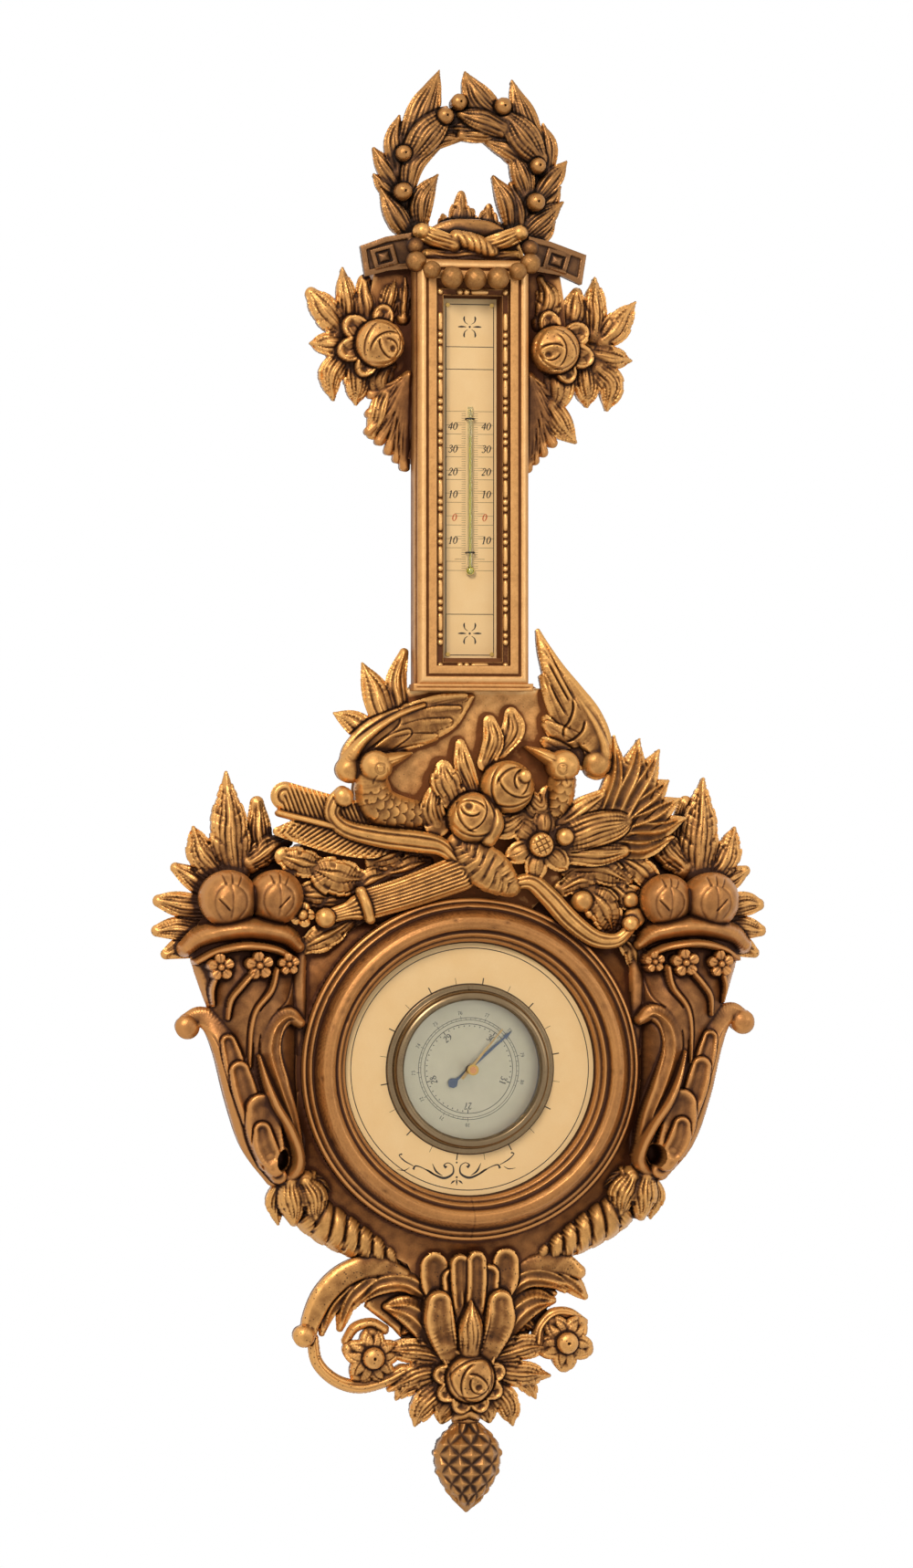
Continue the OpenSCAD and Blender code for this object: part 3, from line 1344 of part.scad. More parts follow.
acanthus_strokes = [
    [[0, -652, 6, 16], [0, -622, 5.5, 18], [1, -609, 5.5, 14]],
    [[-8, -652, 5, 14], [-12, -628, 5, 15], [-14, -612, 3, 11]],
    [[8, -652, 5, 14], [11, -628, 5, 15], [13, -614, 3, 11]],
    [[-14, -634, 6, 14], [-21, -618, 8, 15], [-21, -611, 7, 12]],
    [[15, -634, 6, 14], [25, -618, 8, 15], [25, -610, 6, 12]],
    [[-14, -662, 6, 18], [-17, -645, 7.5, 20], [-18, -632, 6, 16]],
    [[13, -662, 6, 18], [17, -645, 7.5, 20], [18, -634, 6, 16]],
    [[0, -664, 6, 22], [0, -650, 7, 24], [0, -639, 2, 18]],
    [[-22, -636, 6, 16], [-40, -624, 7, 18], [-62, -621, 7, 18], [-82, -630, 6.5, 17], [-93, -645, 6, 16],
     [-95, -658, 5, 14]],
    [[-50, -626, 6, 14], [-66, -632, 5, 13], [-71, -640, 1.5, 9]],
    [[-70, -628, 6, 14], [-80, -641, 5, 13], [-79, -652, 1.5, 9]],
    [[-18, -660, 6, 16], [-26, -646, 7, 17], [-38, -641, 6, 15], [-49, -642, 2, 10]],
    [[-24, -650, 5, 14], [-32, -650, 5, 13], [-35, -656, 1.5, 9]],
    [[22, -636, 6, 16], [40, -622, 7, 18], [58, -620, 7, 18], [70, -624, 6, 16]],
    [[50, -622, 5, 14], [62, -632, 5, 13], [72, -637, 1.5, 9]],
    [[18, -660, 6, 16], [26, -648, 7, 17], [40, -638, 7, 15], [52, -638, 4, 11]],
    [[26, -650, 5, 14], [36, -648, 5, 13], [42, -651, 2, 9]],
    [[-95, -658, 3.5, 12], [-93, -674, 3, 12], [-83, -684, 3, 12], [-68, -688, 3, 13], [-52, -685, 3, 14],
     [-42, -680, 4, 15]],
    [[46, -664, 4, 16], [48, -655, 3, 14], [56, -647, 3, 13], [66, -647, 3, 12], [76, -652, 2.5, 11]]
];
acanthus_bosses = [[-101, -656, 8.5, 18]];
flower_strokes = [
    [[-52, -672, 6, 17], [-66, -661, 6.5, 18], [-69, -657, 4, 15]],
    [[-56, -664, 6, 17], [-50, -656, 6, 17]],
    [[-62, -676, 6, 17], [-70, -672, 6, 16]],
    [[-58, -678, 6, 16], [-64, -684, 5, 14]],
    [[60, -666, 6, 16], [55, -655, 5.5, 17]],
    [[64, -664, 6, 16], [76, -656, 6, 16]],
    [[62, -668, 6, 16], [75, -674, 5, 14]],
    [[66, -664, 5, 15], [78, -666, 5, 14]],
    [[-20, -672, 6, 18], [-36, -668, 7.5, 19], [-48, -668, 4, 15]],
    [[20, -672, 6, 18], [38, -667, 7.5, 19], [50, -668, 4, 15]],
    [[-20, -680, 6, 17], [-36, -682, 7.5, 18], [-48, -690, 5, 13]],
    [[20, -680, 6, 17], [36, -682, 7.5, 18], [50, -684, 5, 14]],
    [[-18, -692, 7, 17], [-28, -702, 7, 16], [-31, -712, 2, 10]],
    [[18, -692, 7, 17], [27, -702, 7, 16], [30, -713, 2, 10]],
    [[-10, -700, 6, 17], [-15, -708, 5, 15]],
    [[8, -702, 6, 17], [15, -708, 5, 15]],
    [[36, -686, 5, 15], [44, -696, 4, 12]],
    [[-34, -688, 5, 15], [-42, -694, 3, 12]]
];
flower_bosses = [[0, -685, 16, 28], [-59, -671, 6.5, 22], [63, -663, 5, 21]];
flower_back = edge_back;
neck = [[0, -696, 9, 22], [0, -706.3, 10.5, 22]];

module pendant_blocks() {
    by_dial() {
        shades(acanthus_strokes, 0);
        boss_shades(acanthus_bosses, 0);
    }
}

module pendant_acanthus() {
    carved(gilt_light) difference() {
        by_dial() {
            strokes(acanthus_strokes, edge_back);
            bosses(acanthus_bosses, edge_back);
        }
        by_dial() shades(flower_strokes, 0);
        by_dial() boss_shades(flower_bosses, 0);
        by_dial() shades([neck], 0);
    }
}

module pendant_flowers() {
    carved(gilt) by_dial() {
        strokes(flower_strokes, flower_back);
        bosses(flower_bosses, flower_back);
        stroke(neck, flower_back);
    }
}

cone_top = -717;
cone_l = 52;
cone_r = 21.5;
cone_axis = board_t - 3;
cone_flat = 0.82;
cone_rows = 5;
cone_round = 9;

// Radius of the cone along its length, from 0 at the neck to 1 at the tip
function cone_rad(t) = cone_r * (t < 0.35 ? 0.55 + 0.45 * sin(90 * t / 0.35) : cos(90 * pow((t - 0.35) / 0.65, 1.35)));

module pine_cone() {
    slices = 10;
    color(gilt) front() by_dial() translate([0, cone_top, cone_axis]) scale([1, 1, cone_flat]) union() {
        for (i = [0 : slices - 1])
            hull()
                for (t = [i / slices, (i + 1) / slices])
                    translate([0, -t * (cone_l - 1.5), 0]) rotate([90, 0, 0])
                        cylinder(h = 0.4, r = max(cone_rad(t * 0.98), 2) - 1.2, $fn = 20);
        for (j = [0 : cone_rows - 1])
            for (k = [0 : cone_round - 1])
                let (t = (j + 0.75) / (cone_rows + 0.5), a = 360 * (k + (j % 2) / 2) / cone_round, r = cone_rad(t))
                    translate([0, -t * (cone_l - 1.5), 0]) rotate([0, a, 0]) translate([0, 0, r - 3])
                        hull() {
                            cylinder(h = 1, r = r * 0.3 + 1.2, $fn = 4);
                            cylinder(h = 3.2, r = 1, $fn = 4);
                        }
    }
}

backboard();
hanger_plate();
hanger_screws();
thermometer_case();
bead_slip();
scale_plate();
plate_pins();
thermometer_tube();
spirit_column();
tube_clips();
dial_ring();
dial_card();
bezel();
bezel_screws();
dial_glass();
glass_ring();
aneroid_case();
silvered_dial();
movement_plate();
vacuum_capsule();
spring_bridge();
mainspring();
main_lever();
rocker_shaft();
arbor_bridge();
hand_arbor();
hairspring();
chain();
adjusting_screw();
pressure_hand();
set_hand();
crest_wreath();
crest_flame();
ribbon_knot();
pearl_swag();
fret_band();
rose_spray_left();
rose_spray_right();
shell_flutes();
trophy_ground();
dove_left();
dove_right();
bouquet();
arrow();
bow();
quiver();
torch_plume();
daisy();
garland_leaves();
horn_left();
horn_right();
fruit_left();
fruit_right();
foliage_left();
foliage_right();
rope_left();
rope_right();
pendant_acanthus();
pendant_flowers();
pine_cone();
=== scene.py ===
# Carved giltwood wall barometer: the looks, dressed on the CAD frame.
# Carving is worked in the front's own frame, in mm: x right, z up and p the height off the wall.
import math

import bpy
import numpy as np
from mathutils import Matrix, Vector


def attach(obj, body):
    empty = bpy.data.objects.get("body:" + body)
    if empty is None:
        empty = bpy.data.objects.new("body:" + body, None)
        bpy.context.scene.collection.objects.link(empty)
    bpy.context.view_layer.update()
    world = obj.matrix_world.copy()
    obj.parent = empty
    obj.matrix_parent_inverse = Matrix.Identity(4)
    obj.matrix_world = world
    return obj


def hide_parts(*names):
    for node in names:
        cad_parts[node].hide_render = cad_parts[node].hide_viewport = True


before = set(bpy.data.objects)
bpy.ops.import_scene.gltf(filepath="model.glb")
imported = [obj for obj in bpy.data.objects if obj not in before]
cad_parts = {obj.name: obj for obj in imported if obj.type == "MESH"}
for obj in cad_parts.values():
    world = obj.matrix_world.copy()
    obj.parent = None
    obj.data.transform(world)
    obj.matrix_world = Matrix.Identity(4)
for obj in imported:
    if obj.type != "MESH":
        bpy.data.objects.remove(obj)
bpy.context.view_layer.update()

MM = 0.001
GRAIN = 0.45  # spacing of the carving's grid
LEFT, RIGHT, FOOT, HEAD = -204, 204, -776, 144  # reach of the grid
EMPTY = -50  # height where nothing is carved
RIM = 1.1  # width of the groove that a carver cuts round a raised form


def reach_of(name, way):
    """How far a CAD node reaches along x, z or p: low and high in mm, to a tenth"""
    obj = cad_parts[name]
    corners = np.array([obj.matrix_world @ Vector(corner) for corner in obj.bound_box]) / MM
    places = {"x": corners[:, 0], "z": corners[:, 2], "p": -corners[:, 1]}[way]
    return round(float(places.min()), 1), round(float(places.max()), 1)


# Places taken from the CAD
BOARD = reach_of("backboard", "p")[1]
GROUND = reach_of("trophy_ground", "p")[1]
EDGE_BACK = reach_of("crest_wreath", "p")[0]
RING_R = reach_of("dial_ring", "x")[1]
DIAL_Z = sum(reach_of("dial_ring", "z")) / 2
CARD_GAP = 0.2
RING_OPEN = reach_of("dial_card", "x")[1] + CARD_GAP
CARD_FRONT, PLATE_FRONT, DIAL_FRONT = (
    reach_of(name, "p")[1] for name in ("dial_card", "scale_plate", "silvered_dial"))
BEZEL_R, BEZEL_TOP, BEZEL_OPEN = reach_of("bezel", "x")[1], reach_of("bezel", "p")[1], 43.2

# The case stands on a foot that is wider and hangs lower; its recess holds the plate, under the slip
FOOT_LIP, FOOT_DROP = 2.0, 2.8
CASE_HALF = reach_of("thermometer_case", "x")[1] - FOOT_LIP
CASE_FOOT, CASE_TOP = reach_of("thermometer_case", "z")
CASE_FOOT += FOOT_DROP
CASE_FRONT = reach_of("thermometer_case", "p")[1]
SLIP_W, SLIP_GAP = 4.6, 0.2
SLIP_SEAT = reach_of("bead_slip", "p")[0]
SLIP_FOOT, SLIP_TOP = reach_of("bead_slip", "z")
RECESS_HALF = reach_of("bead_slip", "x")[1] - SLIP_W + SLIP_GAP
RECESS_FOOT, RECESS_TOP = SLIP_FOOT + SLIP_W - SLIP_GAP, SLIP_TOP - SLIP_W + SLIP_GAP

rng = np.random.default_rng(7)
xs = np.arange(LEFT, RIGHT, GRAIN)
zs = np.arange(FOOT, HEAD, GRAIN)
X, Z = (a.astype(np.float32) for a in np.meshgrid(xs, zs))


# Working on the grid

def part_of(values):
    """What is left of each value above its whole number"""
    return values - np.floor(values)


def ramp(values, low, high):
    """0 below low, 1 above high, smooth between"""
    f = np.clip((values - low) / (high - low), 0, 1)
    return f * f * (3 - 2 * f)


def smooth_line(rows, count):
    """count rows along the smooth curve through the given rows"""
    p = np.array(rows, float)
    q = np.vstack([2 * p[0] - p[1], p, 2 * p[-1] - p[-2]])
    t = np.linspace(0, len(p) - 1, count)
    i = np.minimum(t.astype(int), len(p) - 2)
    f = (t - i)[:, None]
    a, b, c, d = q[i], q[i + 1], q[i + 2], q[i + 3]
    square, cube = 2 * a - 5 * b + 4 * c - d, 3 * b - 3 * c + d - a
    return 0.5 * (2 * b + (c - a) * f + square * f ** 2 + cube * f ** 3)


def window(x0, x1, z0, z1):
    """The patch of the grid that covers a box"""
    i0, i1 = (int((v - LEFT) / GRAIN) for v in (x0, x1))
    j0, j1 = (int((v - FOOT) / GRAIN) for v in (z0, z1))
    return np.s_[max(j0, 0):max(j1 + 2, 0), max(i0, 0):max(i1 + 2, 0)]


def along(rows, reach=2.5, steps=7):
    """Each grid point's place on a stroke: how far along and across, half width, height and length"""
    line = smooth_line(rows, steps * (len(rows) - 1) + 1)
    line[:, 2] = np.maximum(line[:, 2], 0.3)
    wide = line[:, 2].max() + reach
    win = window(line[:, 0].min() - wide, line[:, 0].max() + wide, line[:, 1].min() - wide,
                 line[:, 1].max() + wide)
    x, z = X[win], Z[win]
    gap = np.full(x.shape, 1e6, np.float32)
    s, across = np.zeros_like(gap), np.zeros_like(gap)
    span = np.hypot(*np.diff(line[:, :2], axis=0).T)
    run = np.concatenate([[0], np.cumsum(span)])
    for k in range(len(span)):
        ax, az, aw = line[k, :3]
        dx, dz, dw = line[k + 1, :3] - line[k, :3]
        f = np.clip(((x - ax) * dx + (z - az) * dz) / (span[k] ** 2 + 1e-9), 0, 1)
        ox, oz = x - ax - f * dx, z - az - f * dz
        off = np.hypot(ox, oz)
        near = off - (aw + f * dw) < gap
        gap[near] = (off - (aw + f * dw))[near]
        s[near] = (run[k] + f * span[k])[near]
        across[near] = (off * np.sign(dx * oz - dz * ox))[near]
    s /= run[-1]
    w = np.interp(s, run / run[-1], line[:, 2]).astype(np.float32)
    h = np.interp(s, run / run[-1], line[:, 3]).astype(np.float32)
    return win, s, across / w, w, h, run[-1]


def blurred(field, spread):
    """A field on the grid, softened over a distance in mm"""
    kx = np.fft.rfftfreq(X.shape[1], GRAIN)
    kz = np.fft.fftfreq(X.shape[0], GRAIN)[:, None]
    fade = np.exp(-2 * (math.pi * spread) ** 2 * (kx ** 2 + kz ** 2))
    return np.fft.irfft2(np.fft.rfft2(field) * fade, s=X.shape).astype(np.float32)


def turned_by(u, v, angle):
    """Places seen from axes turned by an angle"""
    return u * math.cos(angle) + v * math.sin(angle), v * math.cos(angle) - u * math.sin(angle)


def spot(x, z, far, angle):
    """The place at a distance and an angle from another"""
    return x + far * math.cos(angle), z + far * math.sin(angle)


class Carving:
    """A relief on the grid: its front, how far each point lies inside its outline, and its back"""

    def __init__(self, back, undercut=4.0):
        self.front = np.full(X.shape, EMPTY, np.float32)
        self.inside = np.full(X.shape, -9, np.float32)
        self.back = np.full(X.shape, back, np.float32)
        self.base = back
        self.undercut = undercut

    def add(self, win, front, inside, groove=0.8):
        """Lays a form on what is there, with a narrow groove cut round it"""
        f, e = self.front[win], self.inside[win]
        rim = (inside > -RIM) & (inside <= 0) & (e > 0) & (front > f - 2)
        f[rim] -= (groove * (1 + inside / RIM))[rim]
        on = inside > 0
        f[on] = np.maximum(f, front)[on]
        np.maximum(e, inside, out=e)

    def dome(self, base, h, edge, across):
        """A rounded height over the base: h in the middle, a share of it at the edge"""
        base = self.base if base is None else base
        return base + h * (edge + (1 - edge) * np.sqrt(1 - 0.98 * np.clip(across, 0, 1) ** 2))

    def calm(self, spread):
        """Smooths what is there, but for its rounded edge"""
        on = (self.inside > 0).astype(np.float32)
        soft = blurred(self.front * on, spread) / np.maximum(blurred(on, spread), 0.01)
        self.front += ramp(self.inside, 0.5, 2.5 * spread) * (soft - self.front)

    def leaf(self, rows, base=None, flutes=2, teeth=0, lobe=0.3, sweep=0.2, edge=0.7, gouge=1.2, lines=0,
             groove=0.9, dish=0.0):
        """A leaf with lengthwise gouge cuts and fine veiner lines, or scooped out by dish inside a thin rim;
        the lobes along its edge lean to the tip"""
        win, s, t, w, h, length = along(rows)
        a = np.abs(t)
        limit = np.ones_like(a)
        if teeth:
            f = part_of(teeth * (s - sweep * a) + 0.12)
            limit -= lobe * (1 - np.sqrt(np.clip(np.sin(np.pi * f ** 1.6), 0, 1))) * ramp(s, 0.05, 0.2)
        front = self.dome(base, h, edge, a / limit)
        u = np.clip(t / limit + 0.07 * np.sin(6 * s + rows[0][0]), -0.999, 0.999)
        fade = np.clip(w / 4.5, 0, 1) * np.clip(s * 7 + 0.15, 0, 1) * np.clip((1.04 - s) * 6, 0, 1)
        front -= gouge * fade * (1 - (2 * part_of(flutes * (u + 1) / 2) - 1) ** 2)
        front -= dish * ramp((limit - a) * w, 0.6, np.maximum(0.8 * w, 2)) * ramp(s, 0.05, 0.35)
        if lines:
            beat = lines * (u + 1) / 2 + 0.06 * np.sin(0.2 * s * length + 3 * t)
            depth = 0.35 + 0.85 * np.abs(np.sin(2.3 * np.floor(beat) + 5 * s + rows[0][1]))
            front -= depth * fade * np.exp(-((part_of(beat) - 0.5) * 2 * w / lines / 0.5) ** 2)
        if teeth:
            front -= 1.1 * ramp(a, 0.25, 0.8) * np.exp(-(np.minimum(f, 1 - f) / 0.09) ** 2)
        self.add(win, front, (limit - a) * w, groove)

    def cut(self, rows, depth=1.1, lip=0.0, width=0.55):
        """A line cut through the given x, z places, with its left side raised to a lip"""
        win, s, t, w, *_ = along([[x, z, 1, 1] for x, z in rows], 7, 5)
        d = t * w
        fade = np.clip(s * 9, 0, 1) * np.clip((1 - s) * 9, 0, 1) * (self.inside[win] > 0.3)
        lift = lip * ramp(d, -0.3, 0.3) * np.exp(-np.clip(d, 0, 9) / 2.2) * (1 - ramp(d, 4, 6.5))
        self.front[win] += fade * (lift - depth * np.exp(-(d / width) ** 2))

    def bar(self, rows, base=None, edge=0.25, cuts=(), lobes=0, lean=0.6, lobe_depth=2.0, groove=0.8):
        """A round bar, with lengthwise cuts at the given places across, or twisted lobes"""
        win, s, t, w, h, _ = along(rows)
        a = np.abs(t)
        front = self.dome(base, h, edge, a)
        for across in cuts:
            front -= 0.22 * np.clip(w, 1, 6) * np.exp(-((t - across) * w / 0.75) ** 2)
        limit = 1.0
        if lobes:
            f = part_of(lobes * s + lean * t)
            swell = np.sqrt(1 - (2 * f - 1) ** 2)
            front -= lobe_depth * (1 - swell) * np.clip(w / 6, 0.3, 1)
            limit = 1 - 0.1 * (1 - swell)
        self.add(win, front, (limit - a) * w, groove)

    def ball(self, x, z, r, top, rise, groove=0.8):
        """A berry, fruit or bead that rises this much above its edge"""
        reach = r + 2
        win = window(x - reach, x + reach, z - reach, z + reach)
        d = np.hypot(X[win] - x, Z[win] - z)
        front = top - rise * (1 - np.sqrt(1 - np.clip(d / r, 0, 0.995) ** 2))
        self.add(win, front, r - d, groove)

    def rose(self, x, z, r, top, eye=(0.3, -0.2), turn=0.0):
        """A globe of wrapped petals, whose lips close in on an eye set off its middle"""
        self.ball(x, z, r, top, 0.8 * r, groove=1.6)
        win = window(x - r, x + r, z - r, z + r)
        u, v = (X[win] - x) / r, (Z[win] - z) / r
        on = self.inside[win] > 0
        for way, span, mid, end in ((195, 150, 0.82, 1.04), (320, 130, 0.8, 1.02), (85, 120, 0.82, 1.02),
                                    (140, 165, 0.58, 0.84), (275, 170, 0.54, 0.8), (20, 160, 0.36, 0.6),
                                    (190, 190, 0.27, 0.42)):
            f = np.linspace(-1, 1, 9)
            a = np.radians(way + turn + span / 2 * f)
            size = mid + (end - mid) * f ** 2
            cx, cz = x + r * eye[0] * (1 - mid), z + r * eye[1] * (1 - mid)
            self.cut(np.stack([cx + r * size * 0.97 * np.cos(a), cz + r * size * 0.97 * np.sin(a)], axis=1),
                     1.4, 1.3, 0.6)
        deep = np.hypot(u - 0.93 * eye[0], v - 0.93 * eye[1])
        self.front[win] -= np.where(on, 1.6 * (1 - ramp(deep, 0.05, 0.2)), 0)

    def floret(self, x, z, r, top, petals=5, turn=0.0, cup=2.5, button=0.3):
        """A small open flower: round petals with a centre cut, and a button"""
        win = window(x - r - 2, x + r + 2, z - r - 2, z + r + 2)
        u, v = X[win] - x, Z[win] - z
        d = np.hypot(u, v)
        beat = petals * (np.arctan2(v, u) - turn) / 2
        full = np.abs(np.cos(beat))
        limit = r * (0.6 + 0.4 * full ** 0.5)
        front = top - 1.5 - cup * np.abs(d / limit - 0.55) ** 1.6
        front -= 1.6 * (1 - full) ** 2 * ramp(d / r, 0.1, 0.3)
        front -= 0.7 * np.exp(-(np.sin(beat) * d / 0.8) ** 2) * ramp(d / r, 0.2, 0.5)
        self.add(win, front, limit - d)
        self.ball(x, z, r * button, top + 0.6, r * button * 0.9)

    def feather(self, rows, base=None, barbs=16, quill=0.6, edge=0.8, lean=0.35, depth=0.5, tilt=0.8,
                one_sided=False):
        """A flat vane that lies tilted like a shingle, with slanting barbs and a cut quill line"""
        win, s, t, w, h, length = along(rows)
        a = np.abs(t)
        front = self.dome(base, h, edge, a) + tilt * t
        off = t if one_sided else a
        barb = (1 - np.abs(np.sin(np.pi * barbs * (s - lean * off * w / length)))) ** 1.5
        front -= depth * barb * (one_sided or ramp(a, 0.1, 0.3))
        front -= quill * np.exp(-(t * w / 0.5) ** 2) * np.clip((1 - s) * 4, 0, 1)
        self.add(win, front, (1 - a) * w)

    def scales(self, rows, base=None, pitch=6.5, edge=0.35):
        """A breast of overlapping scale feathers"""
        win, s, t, w, h, length = along(rows)
        a = np.abs(t)
        front = self.dome(base, h, edge, a)
        v = s * length / (0.75 * pitch)
        lift = np.zeros_like(front)
        for back_row in (0, 1):
            row = np.floor(v) - back_row
            f = v - row
            u = part_of(t * w / pitch + 0.5 * (row % 2)) - 0.5
            on = np.hypot(u * 1.9, np.clip(f - 0.7, 0, 9) * 1.1) < 1
            lift = np.where(on, f, lift)
        self.add(win, front + lift - 0.8, (1 - a) * w)

    def panel(self, points, top, drop=1.5, groove=0.8):
        """A flat of any outline with a softened edge; gives back its patch and its inside distance"""
        p = np.array(points, float)
        win = window(p[:, 0].min() - 3, p[:, 0].max() + 3, p[:, 1].min() - 3, p[:, 1].max() + 3)
        x, z = X[win], Z[win]
        near = np.full(x.shape, 1e6, np.float32)
        odd = np.zeros(x.shape, bool)
        for (ax, az), (bx, bz) in zip(p, np.roll(p, -1, axis=0)):
            dx, dz = bx - ax, bz - az
            f = np.clip(((x - ax) * dx + (z - az) * dz) / (dx * dx + dz * dz), 0, 1)
            near = np.minimum(near, np.hypot(x - ax - f * dx, z - az - f * dz))
            if dz:
                odd ^= ((az > z) != (bz > z)) & (x < dx * (z - az) / dz + ax)
        inside = np.where(odd, near, -near)
        front = np.float32(top) - drop * np.exp(-np.clip(inside, 0, 9) / 0.8)
        self.add(win, front, inside, groove)
        return win, inside

    def hole(self, x, z, rx, rz, floor, tilt=0.0):
        """A blind hole with a soft lip"""
        reach = max(rx, rz) + 2
        win = window(x - reach, x + reach, z - reach, z + reach)
        u, v = turned_by(X[win] - x, Z[win] - z, tilt)
        d = np.hypot(u / rx, v / rz)
        f = self.front[win]
        f[d < 1] = np.minimum(f, floor + 5 * d ** 4)[d < 1]

    def cut_ring(self, clear=0.15):
        """Keeps the carving off the turned dial ring"""
        away = np.hypot(X, Z - DIAL_Z) - RING_R - clear
        np.minimum(self.inside, away, out=self.inside)

    def cut_case(self, clear=0.15):
        """Keeps the carving off the thermometer case"""
        half, top, foot = CASE_HALF + clear, CASE_TOP + clear, CASE_FOOT - FOOT_DROP - clear
        away = np.maximum(np.abs(X) - half, np.maximum(Z - top, foot - Z))
        np.minimum(self.inside, away, out=self.inside)


# The relief of the whole, for painted shade in the hollows and painted highlight on the ridges

# The dial ring's turned profile as radius and height, from the board round to the card
RING_PROFILE = [(107, 24), (107, 36), (106.3, 38), (104.8, 38.4), (104.4, 37.6), (102.5, 40.5), (101.5, 41),
                (100.3, 40.2), (98.8, 43), (97, 46.5), (95, 49), (92.5, 50), (90, 49.7), (88, 48), (87, 45.2),
                (85.8, 43.8), (84.6, 44.4), (83.6, 43.3), (82.4, 40.3), (81, 39.6), (80.2, 38.3), (79.4, 35),
                (79, 33.2)]
SHADE_SPREADS = (1.3, 4.0, 12.0)  # how far a point looks for its near, its mid and its broad neighbours


def relief_of(carvings):
    """The height of the whole front: the case, the dial and all that is carved"""
    whole = np.zeros(X.shape, np.float32)
    r = np.hypot(X, Z - DIAL_Z)
    radii, heights = zip(*RING_PROFILE[::-1])
    whole[r < RING_R] = np.where(r < RING_OPEN, CARD_FRONT, np.interp(r, radii, heights))[r < RING_R]
    whole[(np.abs(X) < CASE_HALF) & (Z < CASE_TOP) & (Z > CASE_FOOT)] = CASE_FRONT
    whole[(np.abs(X) < RECESS_HALF) & (Z < RECESS_TOP) & (Z > RECESS_FOOT)] = PLATE_FRONT
    for carving in carvings:
        on = carving.inside > 0
        whole[on] = np.maximum(whole, carving.front)[on]
    return whole


def relief_shade(x, z, p):
    """How deep each point lies among its neighbours: 0 on a proud ridge, 0.5 on a flat, 1 in a crevice; the
    gilding paints a highlight near 0 and shade near 1
    """
    i = np.clip(np.rint((x - LEFT) / GRAIN).astype(int), 0, X.shape[1] - 1)
    j = np.clip(np.rint((z - FOOT) / GRAIN).astype(int), 0, X.shape[0] - 1)
    near, mid, broad = (b[j, i] - p for b in blurs)
    return np.clip(0.5 + 0.42 * np.clip(near, -0.9, 2) + 0.05 * np.clip(mid, -1.5, 5) + 0.004 * broad, 0, 1)


# Meshes

# Painted shade for edges, backs and flats; the backs' dark tone is partly their ungilded wood and partly
# painted shade on the undercut walls
EDGE_SHADE, BACK_SHADE, PLAIN_SHADE = 0.62, 0.74, 0.5  # how deep an edge, a back and a flat count as lying


def place(x, z, p):
    """Front-frame mm to the frame's metres"""
    return np.stack([x, -p, z], axis=-1) * MM


def make(name, points, faces, skin, body="frame", replaces=(), sharp=40, shade=None):
    """A mesh object on its body, from points in metres and quads; a shade is each point's painted shade, how
    deep it counts as lying
    """
    mesh = bpy.data.meshes.new(name)
    points = np.asarray(points, np.float32)
    sizes = np.full(len(faces), faces.shape[1], np.int32)
    loops = faces.ravel().astype(np.int32)
    mesh.vertices.add(len(points))
    mesh.vertices.foreach_set("co", points.ravel())
    mesh.loops.add(len(loops))
    mesh.loops.foreach_set("vertex_index", loops)
    mesh.polygons.add(len(sizes))
    mesh.polygons.foreach_set("loop_start", np.concatenate([[0], np.cumsum(sizes)[:-1]]).astype(np.int32))
    mesh.polygons.foreach_set("loop_total", sizes)
    mesh.update(calc_edges=True)
    mesh.validate()
    mesh.shade_smooth()
    mesh.set_sharp_from_angle(angle=math.radians(sharp))
    if shade is None:
        shade = relief_shade(points[:, 0] / MM, points[:, 2] / MM, -points[:, 1] / MM)
    # This attribute is painted shade: the gilding reads it to darken hollows and lighten ridges
    layer = mesh.attributes.new("painted_shade", "FLOAT", "POINT")
    layer.data.foreach_set("value", np.asarray(shade, np.float32))
    mesh.materials.append(skin)
    obj = bpy.data.objects.new(name, mesh)
    bpy.context.scene.collection.objects.link(obj)
    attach(obj, body)
    if replaces:
        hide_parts(*replaces)


